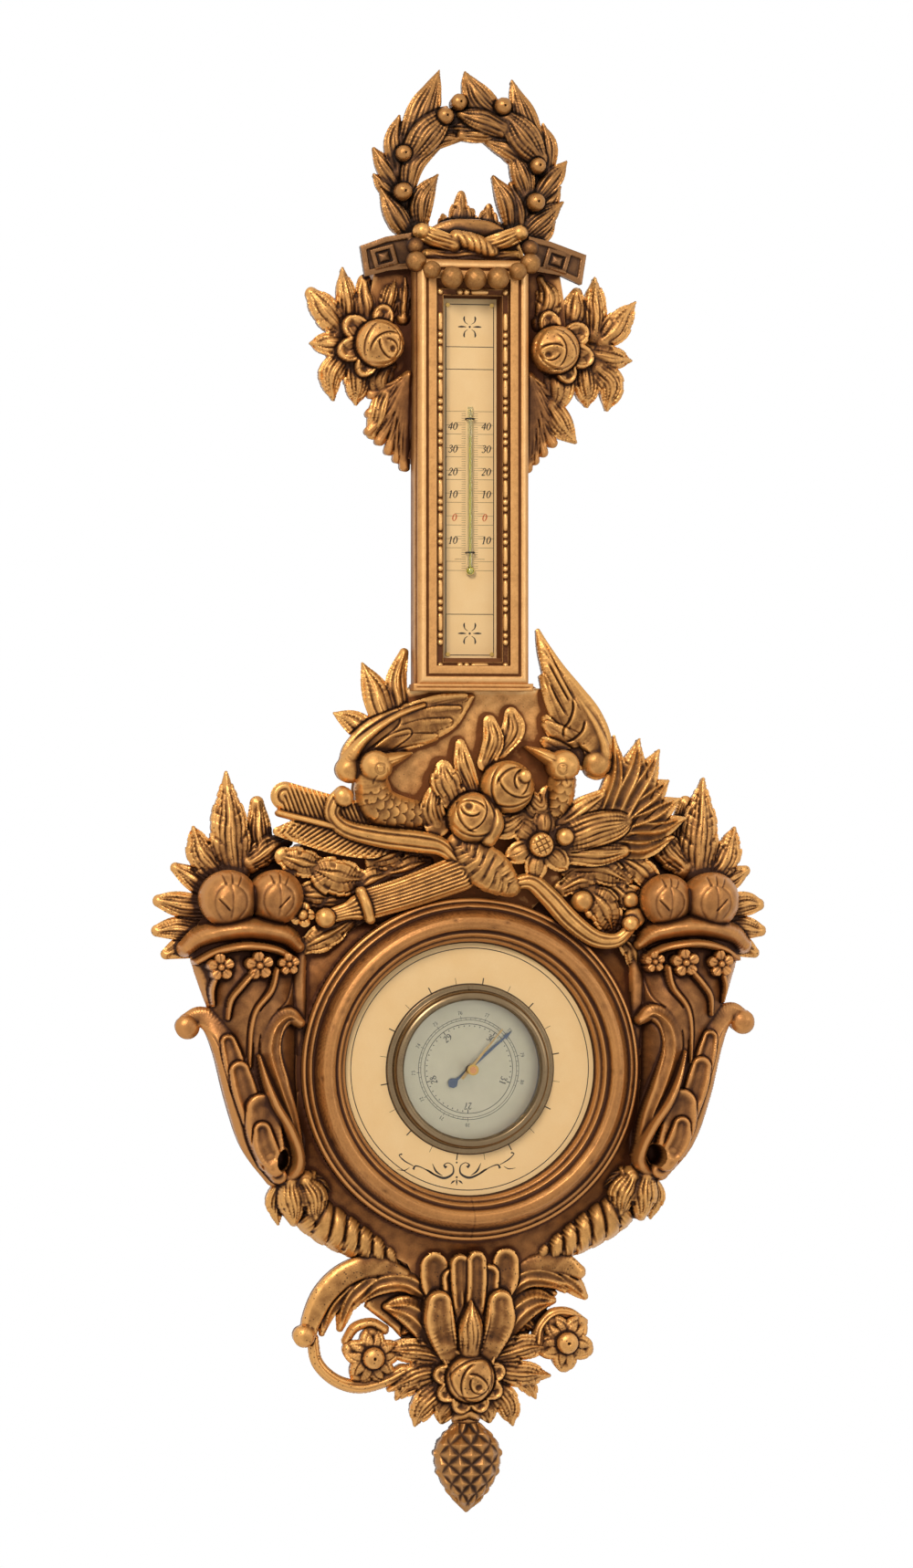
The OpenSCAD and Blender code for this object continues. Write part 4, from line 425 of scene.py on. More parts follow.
def make_carving(name, carving, skin, replaces=None, step=1):
    """Meshes a carving: its front, its undercut back and the walls between, from every step-th line"""
    spacing = GRAIN * step
    rows, cols = np.where(carving.inside > 0)
    cut = np.s_[rows.min():rows.max() + 1:step, cols.min():cols.max() + 1:step]
    x, z = X[cut], Z[cut]
    edge = carving.inside[cut]
    on = edge > 0
    cells = on[:-1, :-1] & on[1:, :-1] & on[:-1, 1:] & on[1:, 1:]
    count = np.zeros(on.shape, int)
    for dj in (0, 1):
        for di in (0, 1):
            count[dj:dj + cells.shape[0], di:di + cells.shape[1]] += cells
    used = count > 0
    border = used & (count < 4)

    # Tool marks soften a little between neighbours, and the hand leaves a faint wobble
    front = carving.front[cut].copy()
    calm = front.copy()
    calm[1:-1, 1:-1] = 0.6 * front[1:-1, 1:-1] + 0.1 * (
        front[:-2, 1:-1] + front[2:, 1:-1] + front[1:-1, :-2] + front[1:-1, 2:])
    front = np.where(count == 4, calm, front)
    wobble = 0.12 * np.sin(x / 2.3 + 1.7 * np.sin(z / 3.1)) * np.sin(z / 2.9 + 1.3 * np.sin(x / 3.7))
    front = front + wobble * (front > EMPTY)

    # Edge points move out to the true outline; the back is pulled in and lifted under the edge
    gz, gx = np.gradient(edge, spacing)
    steep = np.maximum(np.hypot(gx, gz), 0.3)
    nx, nz = gx / steep, gz / steep
    move = np.where(border, np.clip(edge / steep, 0, 1.3 * spacing), 0)
    near_edge = np.clip(carving.undercut - edge, 0, carving.undercut)
    pull, lift = near_edge * 0.3, near_edge * 0.45
    front_x, front_z, front_p = (x - nx * move)[used], (z - nz * move)[used], front[used]
    back_x, back_z = (x - nx * move + nx * pull)[used], (z - nz * move + nz * pull)[used]
    back_p = np.minimum(carving.back[cut] + lift, front - 1.0)[used]
    points = np.concatenate([place(front_x, front_z, front_p), place(back_x, back_z, back_p)])

    total = int(used.sum())
    number = np.full(on.shape, -1)
    number[used] = np.arange(total)
    cj, ci = np.where(cells)
    quad = np.stack([number[cj, ci], number[cj, ci + 1], number[cj + 1, ci + 1], number[cj + 1, ci]], axis=1)
    lone = np.pad(cells, 1)
    walls = []
    for dj, di, a, b in ((-1, 0, 0, 1), (0, 1, 1, 2), (1, 0, 2, 3), (0, -1, 3, 0)):
        open_side = ~lone[cj + 1 + dj, ci + 1 + di]
        start, end = quad[open_side, a], quad[open_side, b]
        walls.append(np.stack([end, start, start + total, end + total], axis=1))
    faces = np.concatenate([quad, quad[:, ::-1] + total] + walls)

    # Painted shade: no edge is painted darker than its wall, and the back is painted dark, partly as its
    # ungilded wood and partly as shade
    shade = relief_shade(front_x, front_z, front_p)
    shade = np.where(border[used], np.minimum(shade, EDGE_SHADE), shade)
    shade = np.concatenate([shade, np.full(total, BACK_SHADE)])
    make(name, points, faces, skin, replaces=[name] if replaces is None else replaces, sharp=48,
         shade=shade)


def turned(profile, segments, centre=(0, DIAL_Z), closed=True, dents=None):
    """Points and faces of a profile (radius, height) turned about an axis off the wall"""
    p = np.array(profile, float)
    angle = np.linspace(0, 2 * math.pi, segments, endpoint=False)[:, None]
    r, h = np.broadcast_arrays(p[None, :, 0], p[None, :, 1] + 0 * angle)
    if dents is not None:
        h = h + dents(angle, r)
    points = place(centre[0] + r * np.sin(angle), centre[1] + r * np.cos(angle), h).reshape(-1, 3)
    n = len(p)
    i, k = np.meshgrid(np.arange(segments), np.arange(n if closed else n - 1), indexing="ij")
    nxt, up = (i + 1) % segments, (k + 1) % n
    faces = np.stack([i * n + k, i * n + up, nxt * n + up, nxt * n + k], axis=-1).reshape(-1, 4)
    return points, faces


def softened(profile, steps=3, corner=0.25):
    """A profile with its corners eased: each edge keeps its middle, each corner is a short curve"""
    p = np.array(profile, float)
    out = []
    for a, b, c in zip(np.roll(p, 1, axis=0), p, np.roll(p, -1, axis=0)):
        reach_a = min(corner, 0.4 * np.hypot(*(a - b)))
        reach_c = min(corner, 0.4 * np.hypot(*(c - b)))
        start = b + (a - b) / max(np.hypot(*(a - b)), 1e-6) * reach_a
        end = b + (c - b) / max(np.hypot(*(c - b)), 1e-6) * reach_c
        for f in np.linspace(0, 1, steps):
            out.append((1 - f) ** 2 * start + 2 * f * (1 - f) * b + f * f * end)
    return np.array(out)


def mitred(profile, x0, x1, z0, z1, spacing=3.0):
    """A closed profile (inset, height) run round a rectangle with mitred corners"""
    p = np.array(profile, float)
    corners = [(x0, z0, 1, 1), (x1, z0, -1, 1), (x1, z1, -1, -1), (x0, z1, 1, -1)]
    stations = []
    for a, b in zip(corners, corners[1:] + corners[:1]):
        n = max(int(max(abs(a[0] - b[0]), abs(a[1] - b[1])) / spacing), 1)
        for f in np.arange(n) / n:
            stations.append([a[k] * (1 - f) + b[k] * f for k in range(4)])
    s = np.array(stations)
    x = s[:, 0:1] + s[:, 2:3] * p[None, :, 0]
    z = s[:, 1:2] + s[:, 3:4] * p[None, :, 0]
    points = place(x, z, p[None, :, 1] + 0 * x).reshape(-1, 3)
    m, n = len(s), len(p)
    i, k = np.meshgrid(np.arange(m), np.arange(n), indexing="ij")
    nxt, up = (i + 1) % m, (k + 1) % n
    faces = np.stack([i * n + k, nxt * n + k, nxt * n + up, i * n + up], axis=-1).reshape(-1, 4)
    return points, faces


def joined(pieces):
    """One set of points and faces from several"""
    points, faces, start = [], [], 0
    for p, f in pieces:
        points.append(p)
        faces.append(f + start)
        start += len(p)
    return np.concatenate(points), np.concatenate(faces)


def bead(x, z, p, r, long_x=0.0, long_z=0.0, segments=20, rings=12):
    """A bead, or a reel when it is drawn out along x or z"""
    v = np.linspace(0.02, math.pi - 0.02, rings)[:, None]
    u = np.linspace(0, 2 * math.pi, segments, endpoint=False)[None, :]
    sx, sz, sp = np.sin(v) * np.cos(u), np.sin(v) * np.sin(u), np.cos(v) + 0 * u
    waist = 0.94 if long_x or long_z else 1.0

    def drawn_out(way, far):
        return way * r + np.sign(way) * far * np.clip(np.abs(way) * 3, 0, 1) if far else way * r * waist

    points = place(x + drawn_out(sx, long_x), z + drawn_out(sz, long_z), p + sp * r).reshape(-1, 3)
    i, k = np.meshgrid(np.arange(rings - 1), np.arange(segments), indexing="ij")
    nxt = (k + 1) % segments
    faces = np.stack([i * segments + k, (i + 1) * segments + k, (i + 1) * segments + nxt, i * segments + nxt],
                     axis=-1).reshape(-1, 4)
    cap = np.array([[0, a, a + 1, a + 2] for a in range(1, segments - 2, 2)])
    return points, np.concatenate([faces, cap, (cap + (rings - 1) * segments)[:, ::-1]])


# Materials

def colour(code):
    """An sRGB hex colour as linear RGBA"""
    values = [int(code[k:k + 2], 16) / 255 for k in (1, 3, 5)]
    return [v / 12.92 if v <= 0.04045 else ((v + 0.055) / 1.055) ** 2.4 for v in values] + [1]


def join(tree, n, **links):
    """Adds a node: small-letter words are its settings, the others its inputs by name or number"""
    for key, value in links.items():
        if hasattr(n, key):
            setattr(n, key, value)
            continue
        socket = n.inputs[int(key[1:])] if key[1:].isdigit() else n.inputs[key.replace("_", " ")]
        if isinstance(value, bpy.types.NodeSocket):
            tree.links.new(value, socket)
        else:
            socket.default_value = value


def node(tree, kind, out=0, stops=None, **links):
    """Adds a node and gives back one output; stops are the places and colours of a ramp"""
    n = tree.nodes.new(kind)
    if stops:
        ends = n.color_ramp.elements
        for end, (at, shade) in zip(ends, (stops[0], stops[-1])):
            end.position, end.color = at, shade
        for at, shade in stops[1:-1]:
            ends.new(at).color = shade
    join(tree, n, **links)
    return n.outputs[out]


def surface(name, **values):
    """A new material, its node tree and its object coordinates"""
    mat = bpy.data.materials.new(name)
    mat.use_nodes = True
    finish(mat, **values)
    return mat, mat.node_tree, node(mat.node_tree, "ShaderNodeTexCoord", "Object")


def finish(mat, **links):
    """Sets a material's shader up"""
    join(mat.node_tree, mat.node_tree.nodes["Principled BSDF"], **links)
    return mat


def per_mm(size):
    """The scale of a pattern whose marks measure this many mm"""
    return 1 / (size * MM)


def grey(value):
    return [value] * 3 + [1]


# Oil gilding over red-brown bole on carved lime wood, rubbed through to the bole in patches, with pits where
# the gesso has broken out;
# the painted_shade attribute paints a gold highlight on the ridges and brown shade in the hollows
def gilding(name, ridge_highlight, flat, deep, pits=0.5, rough=0.4):
    mat, tree, where = surface(name, Metallic=0.6)
    painted_shade = node(tree, "ShaderNodeAttribute", "Fac", attribute_name="painted_shade")
    drift = node(tree, "ShaderNodeTexNoise", Vector=where, Scale=per_mm(9.0))
    fine = node(tree, "ShaderNodeTexNoise", Vector=where, Scale=per_mm(1.2), Detail=4.0, Roughness=0.65)
    # depth is the painted shade, made a little uneven by two noises
    depth = node(tree, "ShaderNodeMath", operation="MULTIPLY_ADD", i0=drift, i1=0.18, i2=painted_shade)
    depth = node(tree, "ShaderNodeMath", operation="MULTIPLY_ADD", i0=fine, i1=0.20, i2=depth)
    # Painted highlight and shade: the ridge colour where depth is low, the deep colour where it is high
    tone = node(tree, "ShaderNodeValToRGB", i0=depth, stops=[
        (0.36, colour(ridge_highlight)), (0.69, colour(flat)), (0.95, colour(deep)), (1.0, colour(deep))])

    patches = node(tree, "ShaderNodeTexNoise", Vector=where, Scale=per_mm(4.0), Detail=5.0, Roughness=0.7)
    bole = node(tree, "ShaderNodeValToRGB", i0=patches, stops=[(0.62, grey(0)), (0.74, grey(1))])
    bole = node(tree, "ShaderNodeMath", operation="MULTIPLY", i0=bole, i1=0.3)
    tone = node(tree, "ShaderNodeMix", 2, data_type="RGBA", i0=bole, i6=tone, i7=colour("#6a3a1e"))

    # A pit is as wide as the noise lets it be, up to a cell of 2.6 mm
    cells = node(tree, "ShaderNodeTexVoronoi", Vector=where, Scale=per_mm(2.6))
    reach = node(tree, "ShaderNodeTexNoise", Vector=where, Scale=per_mm(6.0), Detail=3.0)
    reach = node(tree, "ShaderNodeMath", operation="MULTIPLY", i0=reach, i1=0.36 * pits)
    pit = node(tree, "ShaderNodeMath", operation="LESS_THAN", i0=cells, i1=reach)
    stain = node(tree, "ShaderNodeMath", operation="MULTIPLY", i0=pit, i1=0.75)
    tone = node(tree, "ShaderNodeMix", 2, data_type="RGBA", i0=stain, i6=tone, i7=colour("#2c1608"))

    gloss = node(tree, "ShaderNodeValToRGB", i0=depth,
                 stops=[(0.3, grey(rough - 0.06)), (1.0, grey(rough + 0.24))])
    height = node(tree, "ShaderNodeMath", operation="MULTIPLY_ADD", i0=pit, i1=-1.2, i2=fine)
    bump = node(tree, "ShaderNodeBump", Strength=0.55, Distance=0.25 * MM, Height=height)
    return finish(mat, Base_Color=tone, Roughness=gloss, Normal=bump)


# Cream card, printed: faint fibres and a warm, slightly uneven tone
def card_stock():
    mat, tree, where = surface("cream_card", Roughness=0.62)
    cloud = node(tree, "ShaderNodeTexNoise", Vector=where, Scale=per_mm(14.0), Detail=3.0)
    tone = node(tree, "ShaderNodeMix", 2, data_type="RGBA", i0=cloud, i6=colour("#f6cf92"),
                i7=colour("#fedfaa"))
    specks = node(tree, "ShaderNodeTexNoise", Vector=where, Scale=per_mm(0.7), Detail=3.0)
    specks = node(tree, "ShaderNodeMath", operation="MULTIPLY", i0=specks, i1=0.2)
    tone = node(tree, "ShaderNodeMix", 2, data_type="RGBA", i0=specks, i6=tone, i7=colour("#d8ae7a"))
    fibres = node(tree, "ShaderNodeTexNoise", Vector=where, Scale=per_mm(0.6))
    bump = node(tree, "ShaderNodeBump", Strength=0.15, Distance=0.05 * MM, Height=fibres)
    return finish(mat, Base_Color=tone, Normal=bump)


# Cast, turned or drawn metal: fine turning or brushing lines (their size in mm) and a little tarnish
def worked_metal(name, bright, dull, rough=0.3, lines=(0.25, 3.0, 0.25), metal=1.0, tarnish=0.5):
    mat, tree, where = surface(name, Metallic=metal)
    squeeze = node(tree, "ShaderNodeMapping", Vector=where, Scale=[per_mm(size) for size in lines])
    streak = node(tree, "ShaderNodeTexNoise", Vector=squeeze, Scale=1.0)
    cloud = node(tree, "ShaderNodeTexNoise", Vector=where, Scale=per_mm(7.0), Detail=4.0, Roughness=0.6)
    cloud = node(tree, "ShaderNodeMath", operation="MULTIPLY", i0=cloud, i1=tarnish)
    tone = node(tree, "ShaderNodeMix", 2, data_type="RGBA", i0=cloud, i6=colour(bright), i7=colour(dull))
    gloss = node(tree, "ShaderNodeValToRGB", i0=streak,
                 stops=[(0.3, grey(rough - 0.05)), (0.7, grey(rough + 0.12))])
    bump = node(tree, "ShaderNodeBump", Strength=0.12, Distance=0.04 * MM, Height=streak)
    return finish(mat, Base_Color=tone, Roughness=gloss, Normal=bump)


# Sawn lime wood at the back, never gilded: long upright grain, brown with age
def sawn_wood():
    mat, tree, where = surface("aged_lime_wood", Roughness=0.75)
    long_way = node(tree, "ShaderNodeMapping", Vector=where, Scale=[per_mm(size) for size in (3, 3, 45)])
    lines = node(tree, "ShaderNodeTexNoise", Vector=long_way, Scale=1.0, Detail=5.0, Distortion=0.6)
    tone = node(tree, "ShaderNodeValToRGB", i0=lines, stops=[
        (0.3, colour("#5c3c22")), (0.55, colour("#7d5836")), (0.75, colour("#94704a"))])
    bump = node(tree, "ShaderNodeBump", Strength=0.4, Distance=0.2 * MM, Height=lines)
    return finish(mat, Base_Color=tone, Normal=bump)


# Drawn or flat glass, faintly green at the tube: clear, with a polished skin
def clear_glass(name, tint):
    mat, tree, where = surface(name, Transmission_Weight=1.0, IOR=1.5)
    cloud = node(tree, "ShaderNodeTexNoise", Vector=where, Scale=per_mm(20.0))
    tone = node(tree, "ShaderNodeMix", 2, data_type="RGBA", i0=cloud, i6=colour(tint), i7=colour("#ffffff"))
    smears = node(tree, "ShaderNodeTexNoise", Vector=where, Scale=per_mm(5.0))
    gloss = node(tree, "ShaderNodeValToRGB", i0=smears, stops=[(0.4, grey(0.02)), (0.8, grey(0.05))])
    return finish(mat, Base_Color=tone, Roughness=gloss)


# Ink, lacquer or dyed spirit: an even colour with a slightly uneven gloss
def coat(name, bright, dull, rough):
    mat, tree, where = surface(name)
    cloud = node(tree, "ShaderNodeTexNoise", Vector=where, Scale=per_mm(1.5), Detail=3.0)
    cloud = node(tree, "ShaderNodeMath", operation="MULTIPLY", i0=cloud, i1=0.2)
    tone = node(tree, "ShaderNodeMix", 2, data_type="RGBA", i0=cloud, i6=colour(bright), i7=colour(dull))
    smears = node(tree, "ShaderNodeTexNoise", Vector=where, Scale=per_mm(0.8))
    gloss = node(tree, "ShaderNodeValToRGB", i0=smears, stops=[(0.3, grey(rough)), (0.7, grey(rough + 0.15))])
    return finish(mat, Base_Color=tone, Roughness=gloss)


# Doves, trophy, knot and pearls: gold painted as highlight on the ridges, deep brown painted as shade between
GILT = gilding("aged_oil_gilding", "#dba25a", "#7c5023", "#341803")
# Sprays, foliage and pendant: the same, with the gesso broken out in many pits
GILT_PITTED = gilding("pitted_oil_gilding", "#dda35c", "#7a4d21", "#341803", pits=1.0)
# Ring, horns, fruit and shells: smoother and browner, hardly pitted
GILT_SATIN = gilding("satin_gilding", "#c4884a", "#7c4f26", "#3c1c06", pits=0.15, rough=0.38)
# Beads of the slip: burnished, the brightest gold of all
GILT_BRIGHT = gilding("stippled_bright_gilding", "#ecb874", "#c68e4e", "#5a3010", pits=0.6, rough=0.36)
# Thermometer case: pale and rubbed; case_shade paints a highlight on its arrises and shade in its grooves
GILT_LIGHT = gilding("worn_light_gilding", "#f2c284", "#cf985a", "#6a3c16", pits=0.15, rough=0.38)
# Ground of the trophy: pale and stippled
GILT_GROUND = gilding("stippled_ground_gilding", "#f6cc8c", "#dca462", "#7a4820", pits=0.5, rough=0.42)
# Wreath, flame and pine cone: toned down to brown
GILT_BROWN = gilding("brown_toned_gilding", "#b07c42", "#4e2f15", "#221002", pits=0.7)
# Board: flat gilding with patches of red-brown bole
GILT_BOARD = gilding("board_gilding_over_bole", "#c88e50", "#94602f", "#4a2408", pits=0.1, rough=0.42)
# Key-pattern band: the darkest toning
GILT_DARK = gilding("dark_toned_gilding", "#8a6038", "#4c2f16", "#241004", pits=0.2)
CARD = card_stock()
# Bezel and its screws: turned brass gone brown; the movement and plates: clean sheet brass
BEZEL_BRASS = worked_metal("bronzed_turned_brass", "#8c7658", "#433222", 0.24)
CLOCK_BRASS = worked_metal("sheet_brass", "#c9a35c", "#8f6c34", 0.32)
# Dial plate: silvered brass with long level brush lines, dull and a little warm
SILVERED = worked_metal("silvered_brass_brushed", "#d2c8aa", "#b8ac8e", 0.38, lines=(30.0, 3.0, 0.3),
                        metal=0.6, tarnish=0.7)
# Screws, levers and arbors: grey turned steel; the hand and hairspring: steel blued by heat
STEEL = worked_metal("turned_steel", "#a9abad", "#6c6e70", 0.3)
BLUED = worked_metal("blued_steel", "#44536c", "#262d3c", 0.28)
# Knob: copper under thin gilding, rubbed warm
COPPER = worked_metal("copper_gilt_knob", "#cc9468", "#96603c", 0.25)
WOOD = sawn_wood()
PLATE_GLASS = clear_glass("window_glass", "#f6f8f4")
TUBE_GLASS = clear_glass("green_tube_glass", "#e4ecc0")
# Clips, print and spirit: black iron wire, black and red printer's ink, and yellow-green dyed spirit
WIRE = coat("black_iron_wire", "#1c1816", "#100e0d", 0.4)
INK = coat("black_print", "#2a2118", "#19130e", 0.55)
RED_INK = coat("red_print", "#cf5a2a", "#7c3619", 0.55)
SPIRIT = coat("dyed_spirit", "#c4b432", "#756c1e", 0.25)


# Carved pieces, one function each: rows are x, z, half width, height over the piece's base

def flip(rows):
    """The same rows on the other side of the middle"""
    return [[-r[0]] + list(r[1:]) for r in rows]


def petal(wood, x, z, r, top, turn, base=EDGE_BACK):
    """A loose scooped petal that turns its lip away from the flower"""
    dx, dz = math.cos(math.radians(turn)), math.sin(math.radians(turn))
    wood.leaf([[x - 0.6 * r * dx, z - 0.6 * r * dz, 0.75 * r, top - base - 2], [x, z, 0.95 * r, top - base],
               [x + 0.35 * r * dx, z + 0.35 * r * dz, 0.8 * r, top - base - 1]], base=base, flutes=1, gouge=0,
              lines=3, edge=0.88, dish=2.6)


def crest_wreath():
    wood = Carving(EDGE_BACK)
    wood.bar([[-31, 33, 4, 9], [-39, 46, 4.6, 9], [-43, 64, 5, 9], [-40, 82, 5, 9], [-28, 97, 5, 9],
              [-8, 102, 5, 10], [12, 101, 5, 10], [30, 94, 5, 9], [42, 80, 5, 9], [43, 62, 4.6, 9],
              [38, 46, 4.6, 9], [31, 33, 4, 9]], edge=0.6)
    # Small leaves laid shingle-wise up both sides of the stem
    for side in (-1, 1):
        for k in range(9):
            for out, lean, h in ((-3.6, -16, 12.5), (4, 24, 11)):
                a = math.radians(-50 + 16.5 * k)
                way = a + math.radians(90 - lean)
                x, z = side * (42 + out) * math.cos(a) - 1, 60 + (42 + out) * math.sin(a)
                dx, dz = side * math.cos(way), math.sin(way)
                wood.leaf([[x - 5 * dx, z - 5 * dz, 4, h - 3],
                           [x + 4 * dx, z + 4 * dz, 5.6, h + 0.4 * (k % 3)],
                           [x + 13 * dx, z + 13 * dz, 1, h - 3]], gouge=0.9, lines=4)
    for rows in (
            [[-42, 54, 4, 12], [-51, 61, 5.4, 13], [-58, 68, 1, 10]],
            [[-43, 60, 5, 12], [-51, 73, 6, 14], [-58, 84, 1.4, 10]],
            [[-43, 70, 5, 13], [-45, 89, 7, 15], [-42, 105, 1, 10]],
            [[-37, 84, 7, 14], [-28, 106, 10.5, 17], [-22, 120, 6.4, 15], [-16.5, 134, 0.7, 10]],
            [[-30, 84, 4, 14], [-15, 90.5, 5, 16], [-3, 92, 2, 12]],
            [[22, 106, 6, 14], [9, 116, 9, 17], [3, 125, 5.6, 15], [0, 133.5, 0.8, 10]],
            [[-2, 94, 4, 14], [8, 94.5, 5.6, 17], [20, 95, 3.6, 14]],
            [[46, 82, 6, 14], [38, 104, 8.4, 16], [33, 118, 5, 14], [30, 129, 0.8, 10]],
            [[42, 78, 5, 14], [27, 86, 6.8, 17], [12, 91, 1.6, 12]],
            [[52, 72, 5, 12], [53, 88, 6, 14], [50, 102, 1, 10]],
            [[46, 56, 4.4, 14], [56, 68, 6.4, 15], [65, 79, 0.8, 10]],
            [[46, 46, 4, 12], [55, 54, 5, 13], [61, 63, 1, 9]],
            [[39, 57, 5, 16], [36, 70, 7.4, 18], [31, 81, 3, 14]],
            [[-37, 60, 5, 16], [-33, 75, 6.6, 18], [-18, 85, 1.4, 14]],
            [[24, 98, 6, 18], [9, 103, 7, 20], [-3, 107, 3, 15]],
            [[46, 80, 6, 18], [36, 93, 10.4, 22], [26, 105, 5, 17]],
            [[-36, 80, 6.4, 18], [-25, 94, 10, 22], [-14, 106, 5, 17]],
            [[30, 34, 4, 14], [26, 53, 6.6, 18], [18, 68, 1.4, 12]],
            [[36, 32, 4.4, 14], [34, 49, 6.4, 17], [29, 64, 1.6, 12]],
            [[-34, 28, 5, 14], [-45, 43, 7, 17], [-54, 59, 1, 12]],
            [[-29, 32, 4, 14], [-28, 53, 7.4, 18], [-18, 68.5, 0.8, 12]],
            [[38, 26, 4.5, 12], [49, 33, 6, 15], [57, 41, 1.4, 10]],
            [[34, 28, 5, 14], [48, 41, 7.6, 18], [62, 53, 1, 12]]):
        wood.leaf(rows, gouge=1.1, lines=7 if max(r[2] for r in rows) > 7 else 5)
    for x, z, r, h in ((-40.5, 81, 5, 22), (-41, 57, 5.6, 24), (-14, 105, 5.4, 22), (-5, 114, 5.2, 20),
                       (23, 112, 5.4, 21), (45, 75, 5, 23), (43.5, 52, 5.8, 25)):
        wood.ball(x, z, r, EDGE_BACK + h, r * 0.9, groove=1.5)
        wood.hole(x + 0.6, z, 0.9, 0.9, EDGE_BACK + h - 1.8)
    return wood


def crest_flame():
    """Four tongues of leaf behind one long leaf that lies across"""
    wood = Carving(EDGE_BACK)
    for rows in ([[-12, 35, 6, 10], [-13, 40, 4, 9], [-13.5, 44, 1.2, 6]],
                 [[-3, 36, 9, 11], [-3, 46, 7, 11], [-2, 57, 2.6, 8]],
                 [[5, 36, 7, 10], [4, 43, 4, 9], [5, 47, 2, 7]],
                 [[16, 36, 8, 11], [15, 43, 6, 10], [16, 50, 2, 7]]):
        wood.leaf(rows, lines=3, teeth=2, lobe=0.2)
    wood.leaf([[-26, 31, 2, 20], [-13, 34, 5.4, 23], [0, 34.6, 6, 24], [13, 34, 5.4, 23], [26, 31, 2, 20]],
              flutes=1, gouge=0, edge=0.85)
    return wood


def ribbon_knot():
    """A band across, two tied ends that rise at the sides and the knot, on a ground that carries them"""
    wood = Carving(BOARD)
    wood.panel([[-36, 15], [-30, 30], [-16, 27], [16, 27], [30, 30], [36, 15]], BOARD + 7, drop=1)
    wood.bar([[-27, 17, 4, 12], [-12, 15.5, 5.4, 14], [0, 16, 5.4, 15], [13, 15.5, 5.4, 14], [29, 17, 4, 12]],
             edge=0.6)
    for k in (-1, 0, 1):
        wood.cut([[-24, 16.5 + 2.6 * k], [-12, 14.6 + 3.4 * k], [0, 16.5 + 3 * k], [12, 14.4 + 3.4 * k],
                  [26, 16.5 + 2.6 * k]], 1.0, 0.7)
    for side in (-1, 1):
        wood.leaf([[side * 32, 31.5, 4.6, 14], [side * 24, 28, 5.4, 17], [side * 11, 23.5, 5, 16]], gouge=0.8,
                  lines=4)
        wood.ball(side * 31, 31.5, 4.6, BOARD + 17, 4, groove=0.2)
    wood.bar([[-9, 28, 5, 16], [2, 24, 6.4, 20], [12, 19, 6, 18]], lobes=4.6, lean=0.9, lobe_depth=1.6,
             edge=0.5)
    wood.cut_case()
    return wood


def fret_band():
    """Two tilted blocks, each with a sunk square key round a raised boss"""
    wood = Carving(BOARD, undercut=1.0)
    for points, cx, cz, turn in (([[-69, 22], [-53, 28], [-36, 31], [-33, 9], [-51, 7], [-66, 3]], -54, 15.5,
                                  16), ([[38, 30], [52, 27], [75, 19], [72, 0], [58, 6], [37, 9]], 56, 15,
                                        -17)):
        win, inside = wood.panel(points, BOARD + 7, drop=0.8)
        u, v = turned_by(X[win] - cx, Z[win] - cz, math.radians(turn))
        square = np.maximum(abs(u), 1.2 * abs(v))
        sunk = ramp(inside, 3.2, 3.8) - (1 - ramp(square, 7.4, 8)) + (1 - ramp(square, 4.4, 5))
        boss = np.clip(1 - square / 3.6, 0, 1) ** 0.5
        wood.front[win] += (inside > 0) * (2.2 * boss - 1.6 * sunk)
    wood.cut_case()
    return wood


def rose_spray(side):
    """Toothed leaves and turned petals round one rose; the carver made the two sides differ"""
    leaves = {-1: [
        [[-52, -52, 9, 19], [-54, -62, 10, 19], [-51, -71, 7, 16]],
        [[-50, -70, 8, 19], [-54, -82, 8.4, 20], [-59, -94, 4, 15]],
        [[-63, -24, 7.6, 18], [-63.5, -11, 8, 19], [-64.5, 1, 4.4, 15]],
        [[-75, -24, 6, 16], [-76.5, -7, 6.6, 19], [-78.4, 9, 0.8, 12]],
        [[-80, -30, 7, 17], [-89, -18, 9.4, 19], [-98, -7, 4, 14]],
        [[-68, -50, 9, 18], [-69, -63, 8.6, 18], [-69.5, -76, 0.8, 11]],
        [[-76, -39, 8, 17], [-87, -38.5, 8.2, 19], [-98.5, -38, 0.8, 12]],
        [[-79, -48, 8, 17], [-86, -58, 8, 19], [-84, -73, 1.2, 12]],
        [[-41, -22, 5, 20], [-40, -8, 5.4, 21], [-39.5, 3, 3, 17]],
        [[-52, -22, 6.4, 20], [-49, -8, 7, 21], [-45, 4, 3, 16]]
    ], 1: [
        [[56, -54, 10, 19], [58, -64, 11, 21], [55, -75, 7, 17]],
        [[53, -76, 8, 19], [59, -86, 9, 20], [70, -97.5, 1.6, 13]],
        [[68, -24, 7, 18], [69, -14, 8, 19], [71, -4, 3.6, 15]],
        [[82, -30, 7, 17], [82.5, -11, 7.6, 19], [83, 6, 0.8, 12]],
        [[88, -34, 7, 17], [97, -24, 9.4, 19], [109, -9, 0.8, 12]],
        [[74, -50, 8, 18], [77, -62, 9, 19], [78, -75, 1.2, 12]],
        [[80, -43, 8, 17], [93, -44.5, 8.2, 19], [106.5, -46, 0.8, 12]],
        [[84, -51, 8, 18], [93, -62, 9, 19], [91, -77, 1.2, 12]],
        [[47, -24, 7, 20], [52, -9, 8.6, 22], [47, 4, 4.4, 18]]
    ]}[side]
    x, z = {-1: (-57.5, -38.8), 1: (54.5, -41)}[side]
    wood = Carving(EDGE_BACK)
    for k, rows in enumerate(leaves):
        wood.leaf(rows, gouge=1.5, lines=5 + k % 2 * 2, teeth=3 if k > 2 else 0, lobe=0.1, edge=0.66)
    for far, turn, r in ((17, 90 + side * 10, 7), (16.5, 90 - side * 55, 8.4), (17, 90 - side * 102, 8),
                         (15, -90 + side * 30, 7)):
        petal(wood, *spot(x, z, far, math.radians(turn)), r, EDGE_BACK + 26, turn)
    wood.rose(x, z, 15, 46, eye=(-side * 0.5, -0.3), turn={-1: 200, 1: 80}[side])
    wood.cut_case()
    return wood


